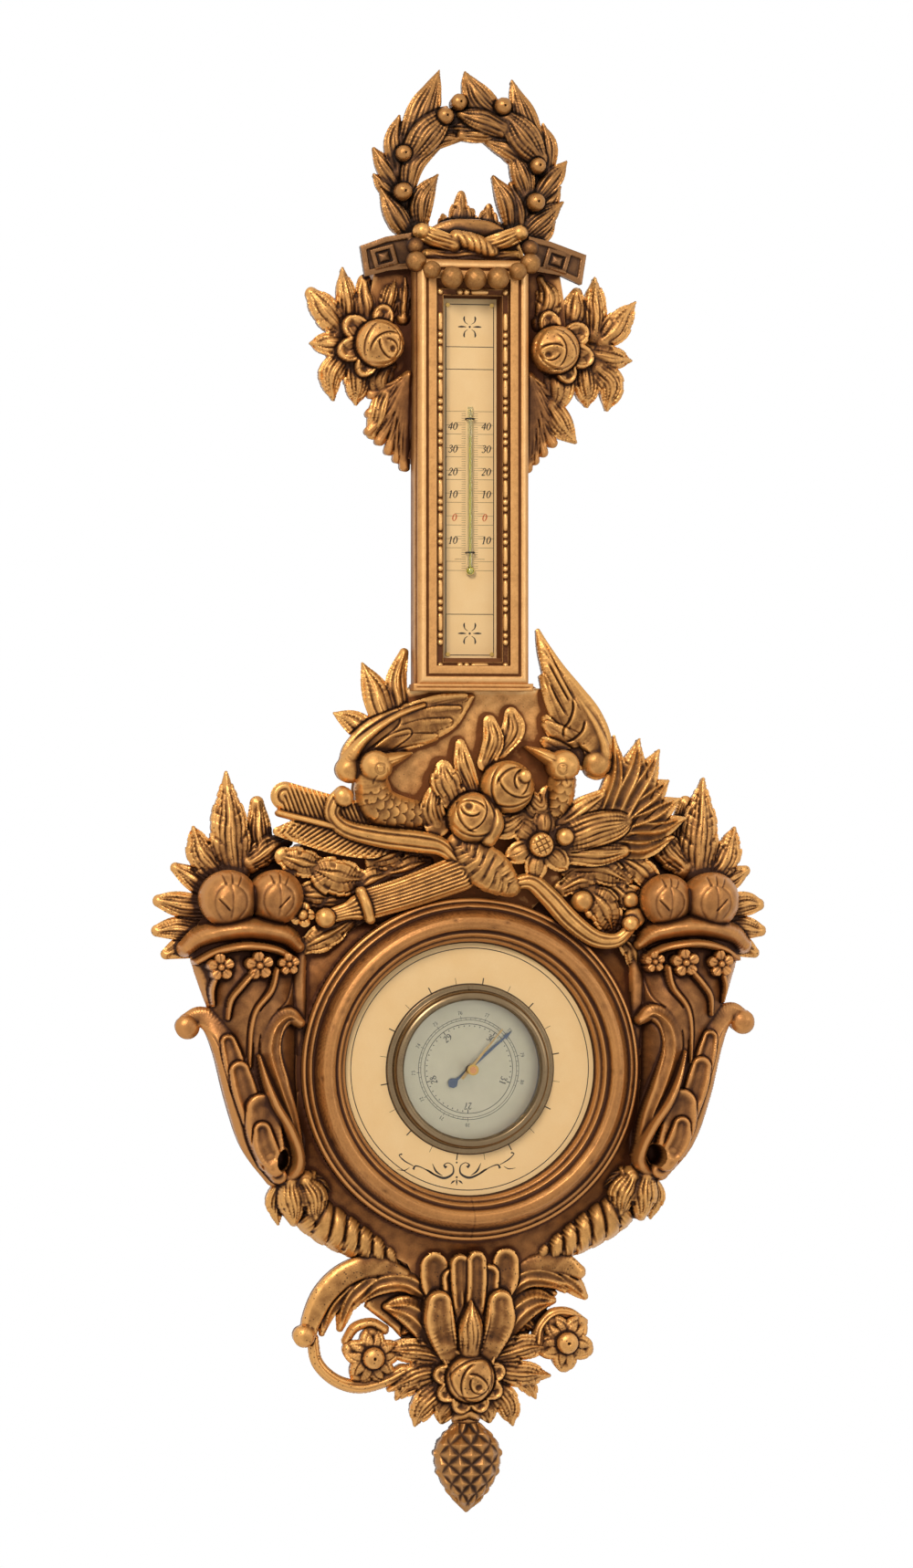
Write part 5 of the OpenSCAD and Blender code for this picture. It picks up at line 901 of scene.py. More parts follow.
def shell_flutes():
    """Scooped flutes that fan down and out from the case"""
    wood = Carving(EDGE_BACK)
    for side in (-1, 1):
        for x, z in ((62, -72), (63, -84), (63.5, -95), (57, -101), (51, -107), (45.5, -112), (41, -117)):
            wood.leaf([[side * 38.5, -58, 3, 25],
                       [side * (0.62 * 38 + 0.38 * x), 0.42 * -58 + 0.58 * z, 4.4, 22],
                       [side * (x - 2), z + 2.5, 3.4, 16]], flutes=1, gouge=2.0, lines=2, edge=0.75)
    wood.cut_case()
    return wood


def trophy_ground():
    wood = Carving(BOARD - 1, undercut=0.5)
    wood.panel([[-46, -253], [-60, -272], [-70, -292], [-74, -318], [-62, -340], [-66, -372], [-40, -392],
                [40, -392], [60, -372], [56, -340], [61, -318], [66, -292], [62, -276], [46, -253]], GROUND,
               drop=2.0)
    wood.cut_case()
    return wood


def dove_left():
    """Three sprigs behind, a flat wing whose feathers are cut in, the breast and the head"""
    wood = Carving(BOARD - 2)
    base = GROUND - 2
    for rows in (
            [[-53, -274, 9, 26], [-59, -256, 9, 22], [-66.5, -238, 1, 13]],
            [[-60, -284, 8, 24], [-72, -275, 7.6, 20], [-84, -269, 1, 11]],
            [[-44, -270, 7, 22], [-46, -250, 7, 20], [-40, -231, 3, 13]]):
        wood.leaf(rows, base=EDGE_BACK + 4, gouge=1.5, lines=5)
    wood.bar([[-77, -303, 6, 12], [-72, -293, 9, 14], [-58, -283.5, 12, 14], [-38, -277, 13, 13],
              [-18, -271.5, 10, 11], [-6, -264, 5, 9], [1, -258.5, 1.6, 8]], base=base, edge=0.72, groove=1.4)
    for x, z, h in ((-4, -259, 9), (-8, -266.5, 10), (-14, -274.5, 11), (-23, -284, 11)):
        wood.feather([[x - 36, z - 9, 5, h], [x - 16, z - 3, 4.8, h + 1.2], [x, z, 2.6, h]],
                     base=base, barbs=26, depth=0.25, quill=0.5, tilt=1.2, edge=0.85)
    for rows in ([[-75, -298], [-66, -287], [-52, -275.5], [-46, -271], [-45, -267], [-49, -264]],
                 [[-66, -293], [-54, -283.5], [-44, -279.5], [-39, -279], [-38.5, -283], [-46, -289],
                  [-52, -293]],
                 [[-70, -296], [-58, -286], [-49, -279], [-45.5, -274], [-47, -270]],
                 [[-52, -294], [-41, -290], [-31, -288.5], [-29, -291], [-36, -296]]):
        wood.cut(rows[::-1], 1.1, 1.1)
    wood.bar([[-78, -304, 7.6, 15], [-73, -291, 4.6, 18], [-62, -280, 3, 18], [-46, -270, 2.2, 16],
              [-30, -264, 1.6, 13]], base=base, edge=0.6)
    wood.ball(-77, -304, 8.6, 44, 7.5)
    wood.scales([[-63, -316, 11, 24], [-58, -327, 12.5, 21], [-41, -332, 10.5, 17], [-22, -333, 8, 12]],
                base=base, pitch=7)
    wood.bar([[-63, -302, 9, 26], [-63.5, -312, 10.2, 25], [-60, -322, 10.5, 21]], base=base, edge=0.45)
    wood.ball(-62, -302, 9.8, 56, 8.2, groove=0)
    wood.leaf([[-56, -299, 5, 27], [-48, -296.5, 3.4, 25], [-39.5, -293.8, 0.7, 21]], base=base, flutes=1,
              gouge=0, edge=0.6)
    wood.cut([[-55, -299.5], [-48, -297.5], [-41, -294.8]], 0.9, 0.3, 0.45)
    dove_face(wood, -60.5, -303.6, -1)
    return wood


def dove_right():
    """The same bird with its wing raised beside the case"""
    wood = Carving(BOARD - 2)
    base = GROUND - 2
    wood.bar([[79, -301, 7, 13], [80, -288, 9.6, 16], [72, -274, 12.5, 15], [63, -260, 11, 14],
              [54, -244, 7.6, 12], [47, -228, 4.2, 9], [43.5, -217, 1.4, 7]], base=base, edge=0.72,
             groove=1.4)
    for rows in ([[58, -276, 4.4, 12], [52, -262, 4.6, 12], [46, -246, 2, 9]],
                 [[64, -268, 4.4, 13], [56, -250, 4.4, 12], [46, -232, 1.6, 9]],
                 [[58, -288, 4, 11], [52, -279, 4.6, 12], [48, -272, 2.4, 10]],
                 [[66, -286, 5, 13], [56, -281, 5, 13], [48.5, -276, 3, 11]],
                 [[60, -294, 5, 12], [53, -290, 4.8, 12], [47, -286, 2.6, 10]]):
        wood.feather(rows, base=base, barbs=20, depth=0.25, quill=0.5, tilt=-1.2, edge=0.85)
    for rows in ([[64, -259], [64.5, -266], [62, -274], [58.5, -279], [59, -285]],
                 [[72, -273], [70, -280], [65, -285], [60, -287]],
                 [[66, -262], [58, -247], [50, -230], [46, -222]], [[62, -262], [55, -249], [49, -237]],
                 [[60, -270], [54, -259], [50, -250]], [[56, -297], [62, -292], [70, -291], [76, -295]]):
        wood.cut(rows, 1.7, 1.3, 0.65)
    wood.bar([[80, -303, 7.6, 15], [84.5, -293, 4.6, 18], [79, -277, 3.2, 17], [68, -259, 2.2, 14],
              [56, -240, 1.6, 11]], base=base, edge=0.6)
    wood.ball(80, -300, 8.8, 45, 7.6)
    wood.scales([[58, -312, 8.6, 25], [56, -323, 8.6, 21], [51, -335, 6.4, 15]], base=base)
    wood.bar([[68, -292, 9, 10], [72, -296, 8.6, 10]], base=base, edge=0.7)
    wood.ball(57, -301.5, 9.8, 56, 8.4, groove=0)
    wood.leaf([[51.5, -298.5, 5, 27], [44, -294.5, 3.6, 25], [34, -290, 0.8, 21]], base=base, flutes=1,
              gouge=0, edge=0.6)
    wood.cut([[51, -299], [44, -295.8], [36, -291.4]], 0.9, 0.3, 0.45)
    dove_face(wood, 54.5, -303.8, 1)
    return wood


def dove_face(wood, x, z, side):
    """A ringed eye, and two cuts where the head runs into the neck"""
    wood.cut([spot(x, z, 3.3, 0.785 * k) for k in range(9)], 0.8, 0.6, 0.5)
    wood.ball(x, z, 2.1, 55.8, 1.6, groove=1.0)
    wood.cut([[x + side * 1.5, z - 3.8], [x + side * 3.5, z - 7], [x + side * 4, z - 10]], 0.8, 0.4)
    wood.cut([[x - side * 4.4, z + 1], [x - side * 6, z - 3], [x - side * 6, z - 8]], 0.7, 0.4)


def bouquet():
    """Two roses among leaves, with a bud"""
    wood = Carving(BOARD)
    base = GROUND
    for rows, teeth in (
            ([[-8, -328, 7, 14], [-16, -313, 10, 16], [-18, -303, 5, 13]], 3),
            ([[1, -318, 5, 12], [-5, -302, 6, 14], [-7, -288, 3, 11]], 0),
            ([[19, -292, 5, 8], [27, -279, 7.4, 9], [26, -269, 4, 7]], 0),
            ([[9, -300, 5, 10], [14, -287, 6.8, 12], [12, -274, 4, 9]], 0),
            ([[36, -322, 6, 14], [44, -327, 8, 15], [48, -318, 4, 11]], 3),
            ([[12, -341, 6, 16], [23, -339, 8, 18], [32, -334, 4, 14]], 2),
            ([[-22, -338, 8, 13], [-26, -327, 7, 15], [-24, -318, 4, 12]], 2),
            ([[30, -332, 7, 13], [38, -336, 7, 14], [44, -332, 3, 12]], 2)):
        wood.leaf(rows, base=base, teeth=teeth, lobe=0.16, gouge=0.9, lines=5, edge=0.8)
    wood.rose(0, -334, 15.8, 57, eye=(-0.35, 0.5), turn=60)
    wood.leaf([[9, -347, 5, 25], [13, -338, 5.6, 28], [13, -330, 3, 25]], base=base, gouge=0.9)
    wood.rose(22, -315, 16.6, 55.5, eye=(0.55, 0.4), turn=-30)
    wood.ball(31, -308, 4.2, 56, 3)
    return wood


def arrow():
    """Two vanes of barbs and the shaft between them"""
    wood = Carving(BOARD)
    for lean, rows in (
            (-0.75, [[-117, -320.5, 9, 10], [-94.2, -327.3, 9, 13], [-72.4, -332.5, 8.6, 13],
                     [-55.3, -338, 5, 11]]),
            (0.9, [[-121.6, -342.4, 3, 10], [-106.6, -342.6, 7.6, 12], [-84.8, -348.2, 8.4, 13],
                   [-64.6, -352.5, 6.8, 12], [-54, -352.5, 4, 10]])):
        wood.feather(rows, base=BOARD + 2, barbs=20, quill=0, depth=1.5, lean=lean, edge=0.85, tilt=0,
                     one_sided=True)
    wood.bar([[-121, -331, 2.4, 15], [-90, -338.5, 2.8, 18], [-56, -346, 3, 18]], base=BOARD, cuts=(0,),
             edge=0.5)
    return wood


def bow():
    """The bow's two ends, that come out from behind the knot of leaves"""
    wood = Carving(BOARD + 4)
    wood.bar([[-82, -319, 5, 15], [-87, -325, 5.4, 15], [-88, -333, 5, 15], [-79, -341, 5.4, 16],
              [-58, -346, 6.4, 18], [-34, -349, 6.8, 18], [-20, -352, 5.6, 18], [-10, -361, 3, 17]],
             cuts=(-0.5, 0.42), edge=0.6)
    wood.ball(-81.5, -321, 6, 46, 4.4)
    wood.bar([[24, -376, 3.6, 15], [37, -374, 5.2, 17], [49, -384, 6, 18], [62, -398, 6.2, 18],
              [78, -409.5, 5.4, 16], [92, -411, 4.4, 15], [101, -404, 3, 15]], cuts=(-0.5, 0.42), edge=0.6)
    wood.ball(101, -400.5, 4.8, 46, 4)
    return wood


def quiver():
    """Fluted, with a banded mouth, a ball at its foot and a twisted sash"""
    wood = Carving(BOARD + 1)
    wood.bar([[-86, -394, 4.6, 12], [-77, -391.4, 5.6, 13], [-70, -389.2, 8.4, 15]], base=GROUND,
             cuts=(-0.6, -0.2, 0.2, 0.6), edge=0.5)
    wood.bar([[-66, -388, 9.4, 14], [-40, -380, 10.2, 18], [-8, -368.5, 11.4, 20]], base=GROUND,
             cuts=(-0.84, -0.62, -0.4, -0.18, 0.04, 0.26, 0.48, 0.7, 0.88), edge=0.5)
    wood.leaf([[-70.5, -379.5, 3, 17], [-67.5, -388, 3.4, 19], [-64.5, -397, 3, 16]], base=GROUND, flutes=1,
              gouge=0.6, edge=0.75)
    wood.ball(-92.5, -396, 6.2, 45, 5.2)
    wood.bar([[-9, -350, 7, 17], [2, -360, 12.5, 23], [12, -368, 13, 24], [24, -377, 7, 18]], base=GROUND,
             lobes=7.4, lean=0.35, lobe_depth=1.7, edge=0.6)
    return wood


def torch_plume():
    """Flames that fan out from a fluted torch"""
    wood = Carving(BOARD - 1)
    for rows in (
            [[94, -351, 8, 13], [112, -352, 7.6, 14], [130, -346.5, 1, 10]],
            [[98, -342, 8, 14], [120, -340, 8, 15], [138, -334.5, 1, 10]],
            [[100, -338, 8, 15], [119, -330, 8.4, 16], [134, -322.5, 1, 10]],
            [[98, -335, 8, 16], [115, -320, 8.4, 17], [127, -311, 1, 10]],
            [[97, -333, 8, 17], [110, -311, 8.8, 18], [121, -292, 1, 10]],
            [[91, -332, 8.6, 17], [102, -308, 9.6, 19], [108.5, -285, 0.8, 10]],
            [[84, -334, 8, 16], [93, -310, 7.4, 19], [92, -283, 0.8, 11]]):
        wood.leaf(rows, base=BOARD, flutes=3, gouge=2.4, edge=0.66, groove=1.4)
    wood.leaf([[58, -337, 7, 17], [72, -329, 8.4, 20], [84, -320, 4, 16]], base=BOARD, lines=4)
    wood.leaf([[60, -356, 7, 16], [80, -356.5, 8, 19], [98, -355, 4, 14]], base=BOARD, lines=5)
    wood.leaf([[57, -348, 9, 17], [74, -342.5, 11, 23], [90, -339, 9.4, 22], [99, -336.5, 4, 17]], base=BOARD,
              gouge=1.0, lines=7, groove=1.6)
    return wood


def daisy():
    """Six fluted petals round a hatched button"""
    wood = Carving(BOARD + 6)
    x, z = 43, -351
    for k in range(6):
        a = math.radians(20 + 60 * k)
        rows = [[*spot(x, z, far, a), w, h] for far, w, h in ((5, 4.6, 13), (14, 7.2, 14), (22.5, 1.4, 11))]
        wood.leaf(rows, gouge=1.0, lines=3)
    wood.ball(x, z, 7.6, 50, 3.6)
    win = window(x - 8, x + 8, z - 8, z + 8)
    u, v = X[win] - x, Z[win] - z
    hatch = np.maximum(np.cos(1.7 * (u + 0.5 * v)), np.cos(1.7 * (v - 0.5 * u)))
    wood.front[win] -= np.where(np.hypot(u, v) < 6.4, 1.0 * ramp(hatch, 0.7, 0.97), 0)
    wood.ball(58, -346, 5.4, 51, 4.4)
    return wood


def garland_leaves():
    """Toothed leaves under the arrow and the torch, with berries and two small flowers"""
    base = BOARD - 6
    wood = Carving(base)
    for rows in (
            [[-82, -405, 4, 12], [-72, -397, 5, 13], [-62, -391, 3, 12]],
            [[-104, -414, 5, 13], [-92, -408, 9, 16], [-77, -399, 5, 13]],
            [[-117, -358, 6, 15], [-107, -362, 10, 18], [-95, -363, 5, 14]],
            [[-106, -381, 6, 14], [-98, -382, 9, 17], [-89, -384, 5, 13]],
            [[-97, -389, 5, 13], [-88, -388, 6.4, 16], [-79, -386, 4, 13]],
            [[-98, -366, 5, 15], [-85, -371, 13, 20], [-69, -372, 6, 15]],
            [[-74, -380, 5, 14], [-63, -374, 9, 17], [-52, -369, 5, 14]],
            [[-61, -361, 5, 14], [-51, -358, 8.4, 17], [-42, -353, 3, 13]],
            [[-51, -369, 5, 14], [-38, -364.5, 9, 17], [-26, -362, 4, 13]],
            [[98, -360, 6, 14], [111, -368, 9, 17], [121, -379, 3, 12]],
            [[65, -366, 7, 15], [84, -367, 10.4, 19], [102, -374, 3, 14]],
            [[92, -378, 7, 14], [101, -384, 9, 17], [110, -384, 4, 13]],
            [[59, -379, 5, 14], [72, -373.5, 7.6, 17], [86, -375.5, 1, 12]],
            [[78, -381, 7, 15], [86, -392, 12, 19], [93, -407, 3, 13]],
            [[98, -410, 5, 13], [106, -418, 8, 15], [108, -430, 4, 12]],
            [[110, -386, 6, 13], [114, -396, 7, 14], [112, -404, 4, 12]]):
        wood.leaf(rows, teeth=3, lobe=0.17, sweep=0.18, gouge=1.1, lines=4, edge=0.76)
    for x, z, r, h in ((72, -386.5, 6.8, 20), (105.5, -397, 6.6, 20), (103, -386, 5, 19)):
        wood.ball(x, z, r, base + h, r * 0.8)
    wood.floret(-106.5, -394, 8, base + 21, button=0.42)
    wood.floret(-114, -383, 5.4, base + 18, button=0.4)
    return wood


def horn(side):
    """A horn of plenty: a smooth bell under leaves, with a rolled mouth and florets; drawn for the left"""
    wood = Carving(EDGE_BACK, undercut=6)

    def own(rows):
        return rows if side < 0 else flip(rows)

    def own_cut(points, depth, lip=0.0, width=0.55):
        points = points if side < 0 else [(-x, z) for x, z in points][::-1]
        wood.cut(points, depth, lip, width)

    # The smooth bell from the mouth to the curled foot
    wood.bar(own([[-143, -417, 32, 30], [-138, -440, 29, 36], [-132, -462, 24, 37], [-128, -490, 20, 34],
                  [-123, -520, 17, 29], [-119, -545, 12, 23], [-117.5, -551, 9, 20]]), edge=0.35)
    wood.calm(2.5)
    # Trailing stems under the florets, raised from the bell
    for rows in ([[-124, -428, 1.7, 50], [-127.2, -440.3, 1.9, 49.5], [-136.4, -452.6, 1.9, 47],
                  [-139.5, -466.3, 1.7, 45.5], [-140, -488, 1.2, 42]],
                 [[-139, -430, 1.7, 51], [-146, -438, 1.9, 50], [-152, -446.5, 1.8, 47],
                  [-153.5, -458, 1.2, 43]],
                 [[-160, -430, 1.7, 44], [-163, -440, 1.6, 42], [-162, -450, 1, 39]]):
        wood.bar(own([[x, z, w, h - EDGE_BACK] for x, z, w, h in rows]), edge=0.88, groove=1.6)
    own_cut([(-110, -428), (-115, -445), (-121, -452), (-128, -460), (-131, -474)], 1.0, 0.8)
    # The smooth band that lies against the ring
    wood.leaf(own([[-106, -418, 4, 22], [-108, -440, 5, 26], [-106, -475, 5, 26], [-103.5, -520, 4.6, 23],
                   [-106, -545, 3, 20]]), flutes=1, gouge=1.6)
    # The bed of the leaves, then the broad outer leaf: a scooped band that ends in a ball
    wood.bar(own([[-152, -474, 6, 28], [-140, -500, 15, 33], [-130, -530, 15, 31], [-120, -553, 9, 23]]),
             edge=0.75, groove=0.2)
    wood.leaf(own([[-177, -460, 5, 19], [-169, -457, 6.2, 23], [-160, -463, 7.6, 28], [-153, -480, 8, 33],
                   [-146, -508, 8, 35], [-136, -536, 8.4, 31], [-123, -557, 6, 23]]), flutes=1, gouge=2.4,
              edge=0.72, groove=1.4)
    own_cut([(-170, -463), (-161, -470), (-154.6, -486), (-149, -508), (-139, -534), (-126, -554)], 0.6, 1.2)
    wood.ball(side * 177, -463.5, 7.6, EDGE_BACK + 23, 5.4, groove=0.3)
    # Round-topped lobes that rise beside each other, each scooped out within a thin rim
    for rows in (
            [[-146, -500, 6, 33], [-150, -484, 6.4, 34.5], [-153, -472.5, 4.8, 33]],
            [[-138, -520, 7, 36], [-143.5, -502, 7.6, 37.5], [-146.5, -490.5, 6.4, 37]],
            [[-126, -545, 9, 36], [-131.5, -527, 11, 39.5], [-133, -514, 9.8, 40]],
            [[-124, -550, 6, 37], [-131, -537, 7.4, 41], [-133, -527, 5.6, 41]],
            [[-121, -556, 5, 30], [-126, -549, 5.6, 36], [-127, -543, 4.4, 37]]):
        wood.leaf(own(rows), flutes=1, gouge=0, dish=3.8, edge=0.9, groove=1.3)
    # The inner leaf with its curled top, and the rolled edge that runs down round the eye
    wood.leaf(own([[-108, -461, 3.4, 34], [-116, -456.5, 5.4, 38], [-125, -464, 6.4, 41],
                   [-127.5, -479, 6.6, 42], [-121.5, -500, 6.2, 42], [-114.5, -520, 5.4, 38],
                   [-109.5, -538, 4, 33]]), gouge=2.4, edge=0.8, groove=1.3)
    own_cut([(-110, -459), (-117, -460), (-121, -468), (-122, -482), (-117, -500)], 0.8, 1.0)
    wood.bar(own([[-135, -481, 1.4, 41], [-130.5, -497, 2.8, 45], [-124.3, -512, 3.6, 45.5],
                  [-115.7, -526, 3.8, 42], [-109.4, -540.3, 4, 37], [-108.6, -550, 4.2, 32],
                  [-113.4, -557, 4, 28], [-120, -556, 2.6, 26]]), edge=0.7, groove=1.4)
    wood.hole(side * 118.5, -546, 4.4, 6.6, EDGE_BACK + 12, 0.12 * side)
    # The rolled mouth, with a second fine lip and the florets below it
    wood.bar(own([[-178, -415, 5.4, 26], [-167, -407, 7.4, 34], [-143, -402.5, 8.6, 42],
                  [-119, -406, 7.4, 38], [-108, -414, 5, 30]]), edge=0.35)
    wood.bar(own([[-172, -423, 2, 30], [-160, -416.5, 2.4, 38], [-143, -413, 2.6, 45],
                  [-124, -415.5, 2.4, 41], [-111, -422, 2, 32]]), edge=0.8)
    for x, z, r, top in ((-158.5, -426, 8.6, 50), (-135, -425, 9, 53), (-116, -424.5, 7, 49)):
        wood.floret(side * abs(x), z, r, top - 2, turn=0.4, cup=0.9, button=0.24)
    wood.cut_ring()
    return wood


def fruit(side):
    """Two round fruits, each with a three-pointed calyx, creases from pole to pole and a slanting nick"""
    fruits = {-1: ((-153, -384, 18, 52), (-123, -383, 17, 50)),
              1: ((125, -386, 16.5, 50), (154, -386, 17.5, 52))}[side]
    wood = Carving(BOARD - 8)
    for (x, z, r, top), lean in zip(fruits, (-1, 1)):
        wood.ball(x, z, r, top, r * 0.9, groove=1.8)
        for turn in (62, 85, 108):
            wood.cut([spot(x, z, far * r, math.radians(turn)) for far in (0.5, 0.7, 0.92)], 1.2, 0.6)
        crease = ((0.1, 0.62), (0.75, 0.2), (0.8, -0.3), (0.35, -0.75))
        for bend in (-0.62, 0.1, 0.7):
            wood.cut([[x + u * bend * r, z + v * r] for u, v in crease], 0.5, 0.7, 1.1)
        wood.cut([[x + u * lean * r, z + v * r] for u, v in ((0.45, 0.05), (0.2, -0.2), (0, -0.42))], 1.3,
                 0.9)
    return wood


def foliage(side):
    """Gouged leaves that stand up behind the fruit, on a ground that carries them; the two sides differ"""
    leaves = {-1: [
        [[-130, -358, 7, 17], [-131, -342, 8, 16], [-132, -325, 4.6, 12]],
        [[-160, -380, 7, 16], [-172, -372, 7.4, 16], [-183, -365, 3.4, 11]],
        [[-164, -414, 6.4, 16], [-178, -414, 7.4, 15], [-189, -418.5, 3.4, 11]],
        [[-166, -404, 7, 17], [-182, -402.5, 7.4, 16], [-194.5, -404, 3.8, 11]],
        [[-162, -391, 7.4, 18], [-181, -387.5, 8, 17], [-193.5, -385.5, 4, 12]],
        [[-138, -362, 7.4, 20], [-124, -353, 8.8, 20], [-113, -349, 3.4, 15]],
        [[-156, -372, 8.4, 19], [-167, -356, 10, 19], [-172, -340, 1.2, 11]],
        [[-147, -368, 10, 21], [-150, -340, 12.6, 21], [-151.5, -306, 1.2, 11]]
    ], 1: [
        [[139, -360, 7, 17], [140, -343, 8, 16], [142, -325, 4.6, 12]],
        [[160, -380, 7, 16], [171, -373, 7.4, 16], [181, -368, 3.4, 11]],
        [[164, -414, 6.4, 16], [177, -415, 7.4, 15], [187, -420, 3.4, 11]],
        [[166, -404, 7, 17], [180, -404, 7.4, 16], [191, -406, 3.8, 11]],
        [[163, -391, 7.4, 18], [179, -389, 8, 17], [189.5, -389.5, 4, 12]],
        [[140, -366, 8, 20], [129, -354, 9.6, 20], [124, -343.5, 3, 14]],
        [[157, -373, 8, 19], [168, -358, 9.6, 19], [174, -341, 1.2, 11]],
        [[149, -369, 10, 21], [150, -342, 12.6, 21], [153.5, -310, 1.2, 11]]
    ]}[side]
    ground = [[-150, -392], [-152, -360], [-128, -346], [-113, -352], [-104, -376], [-112, -396]]
    wood = Carving(EDGE_BACK)
    wood.panel(ground if side < 0 else flip(ground), EDGE_BACK + 7, drop=3)
    for k, rows in enumerate(leaves):
        wood.leaf(rows, teeth=4 if k > 4 else 0, lobe=0.14, gouge=1.7, lines=7, edge=0.62)
    return wood


def rope(side):
    """A twisted garland with a tuft of leaves where the horn ends; drawn for the left"""
    wood = Carving(EDGE_BACK, undercut=5)
    mirror = (lambda rows: rows) if side < 0 else flip
    wood.bar(mirror([[-103, -575, 12.6, 22], [-92, -583.5, 14.4, 25], [-79, -591.5, 14, 25],
                     [-64, -600, 11.8, 23], [-50, -607.5, 8.8, 19], [-38, -613, 5, 15]]), lobes=7.6,
             lean=-0.55 * side, lobe_depth=4.6, edge=0.24)
    for rows in (
            [[-99, -559, 6, 24], [-91, -563, 6.4, 22], [-84, -569, 1.4, 17]],
            [[-117, -562, 6, 21], [-121, -574, 6.6, 20], [-119, -587, 1, 12]],
            [[-104, -560, 7, 28], [-98.5, -571, 9.6, 31], [-97, -582, 3.6, 25]],
            [[-113, -560, 7, 28], [-111.5, -573, 9.4, 31], [-110.5, -585, 3, 25]]):
        wood.leaf(mirror(rows), teeth=2, lobe=0.16, gouge=1.4, edge=0.66, lines=6, groove=1.2)
    wood.cut_ring()
    return wood


def pendant_acanthus():
    """Scrolled leaves round a palmette, with thin stems that loop out to the flowers"""
    wood = Carving(EDGE_BACK)
    # The sheathing behind the scrolls, that closes the gaps between them
    wood.panel([[-30, -606], [30, -606], [52, -618], [60, -634], [46, -654], [26, -676], [-26, -676],
                [-46, -654], [-64, -640], [-58, -618]], EDGE_BACK + 8, drop=3)
    # Thin stems that loop out to the flowers
    wood.bar([[-97, -659, 3.8, 13], [-94, -674, 3.8, 13], [-83, -685, 4, 14], [-68, -689.5, 4.4, 15],
              [-52, -686, 4.4, 16], [-40, -680, 4.6, 17]], cuts=(-0.35, 0.35), edge=0.5)
    wood.bar([[-76, -661, 2.8, 12], [-70, -652.5, 3.2, 13], [-60, -650, 3.4, 14], [-52, -654, 3.4, 15]],
             edge=0.5)
    wood.bar([[46, -664, 4.4, 17], [48, -655, 4, 15], [56, -647, 4, 14], [66, -646.5, 3.8, 13],
              [77, -652, 2.2, 11]], cuts=(-0.3, 0.4), edge=0.5)
    for rows, teeth in (
            # lobes that hang inside the outer band
            ([[-60, -621, 7, 17], [-74, -634, 8, 16], [-79.5, -653, 2.4, 10]], 2),
            ([[-76, -626, 6, 16], [-88, -640, 7, 15], [-91, -656, 2, 10]], 0),
            ([[50, -619, 7, 17], [66, -626, 8.4, 16], [77, -636, 2.4, 10]], 2),
            # the broad leaf from the middle, and the one under it
            ([[-22, -634, 6, 18], [-38, -623, 8, 20], [-56, -625, 7.6, 18], [-68.5, -637, 2, 11]], 0),
            ([[22, -634, 6, 18], [38, -622, 8, 20], [56, -623, 7.6, 18], [70, -633, 2, 11]], 0),
            ([[-20, -664, 7, 18], [-28, -650, 9.4, 20], [-38, -641.5, 8.6, 18], [-50, -640, 2.6, 12]], 0),
            ([[20, -664, 7, 18], [28, -649, 9.4, 20], [42, -638.5, 8.6, 18], [56, -638, 2.6, 12]], 0),
            ([[-24, -656, 6, 17], [-33, -652, 6, 15], [-39, -657, 1.4, 10]], 2),
            ([[26, -655, 6, 17], [37, -651, 6, 15], [45, -656, 1.4, 10]], 2)):
        wood.leaf(rows, flutes=3, teeth=teeth, lobe=0.2, gouge=1.9, edge=0.6, groove=1.5)
    # The outer scroll: a wide smooth band that ends in a ball
    wood.leaf([[-40, -620, 5, 19], [-58, -613.5, 7, 21], [-76, -618.5, 7.2, 20], [-90, -631, 7, 19],
               [-98, -647, 6, 18], [-99.5, -656, 4.6, 16]], flutes=1, gouge=2.2, edge=0.66, groove=1.4)
    wood.ball(-103, -657, 7, EDGE_BACK + 19, 5.6)
    wood.leaf([[26, -624, 5, 18], [44, -615, 7, 21], [60, -614, 7, 20], [72, -620, 4.6, 17]], flutes=1,
              gouge=2.2, edge=0.66, groove=1.4)
    # The palmette: round-topped scooped lobes, a curled leaf on each side and a pointed bud
    for rows in (
            [[-12, -640, 6, 20], [-20, -627, 9, 23], [-21.5, -614.5, 9, 22.5]],
            [[12, -640, 6, 20], [22, -626, 9, 23], [24, -612.5, 8.6, 22.5]],
            [[-8, -650, 6, 23], [-9.6, -635, 6.6, 25.5], [-10.4, -622, 6.6, 25]],
            [[8, -650, 6, 23], [11.5, -633, 6.6, 25.5], [13, -620, 6.6, 25]],
            [[-3, -648, 6, 24], [-5, -628, 6.6, 27.5], [-5.6, -613, 6.4, 27]],
            [[3, -648, 6, 24], [4.4, -628, 6.2, 28.5], [4.6, -611, 6.2, 28]]):
        wood.leaf(rows, flutes=1, gouge=0, edge=0.86, dish=3.6, groove=1.5)
    for side in (-1, 1):
        wood.leaf([[side * 13, -668, 7, 24], [side * 19, -650, 9.4, 31], [side * 19.5, -637, 7.8, 31]],
                  flutes=1, gouge=0, edge=0.82, dish=3.4, groove=1.5)
        wood.cut([[side * 9, -664], [side * 12, -650], [side * 12.5, -636]][::side], 1.0, 0.8)
    wood.leaf([[0.5, -668, 7, 28], [0.5, -652, 7.8, 34], [0.5, -636, 1, 30]], gouge=0.8, edge=0.66, lines=5,
              groove=1.5)
    return wood


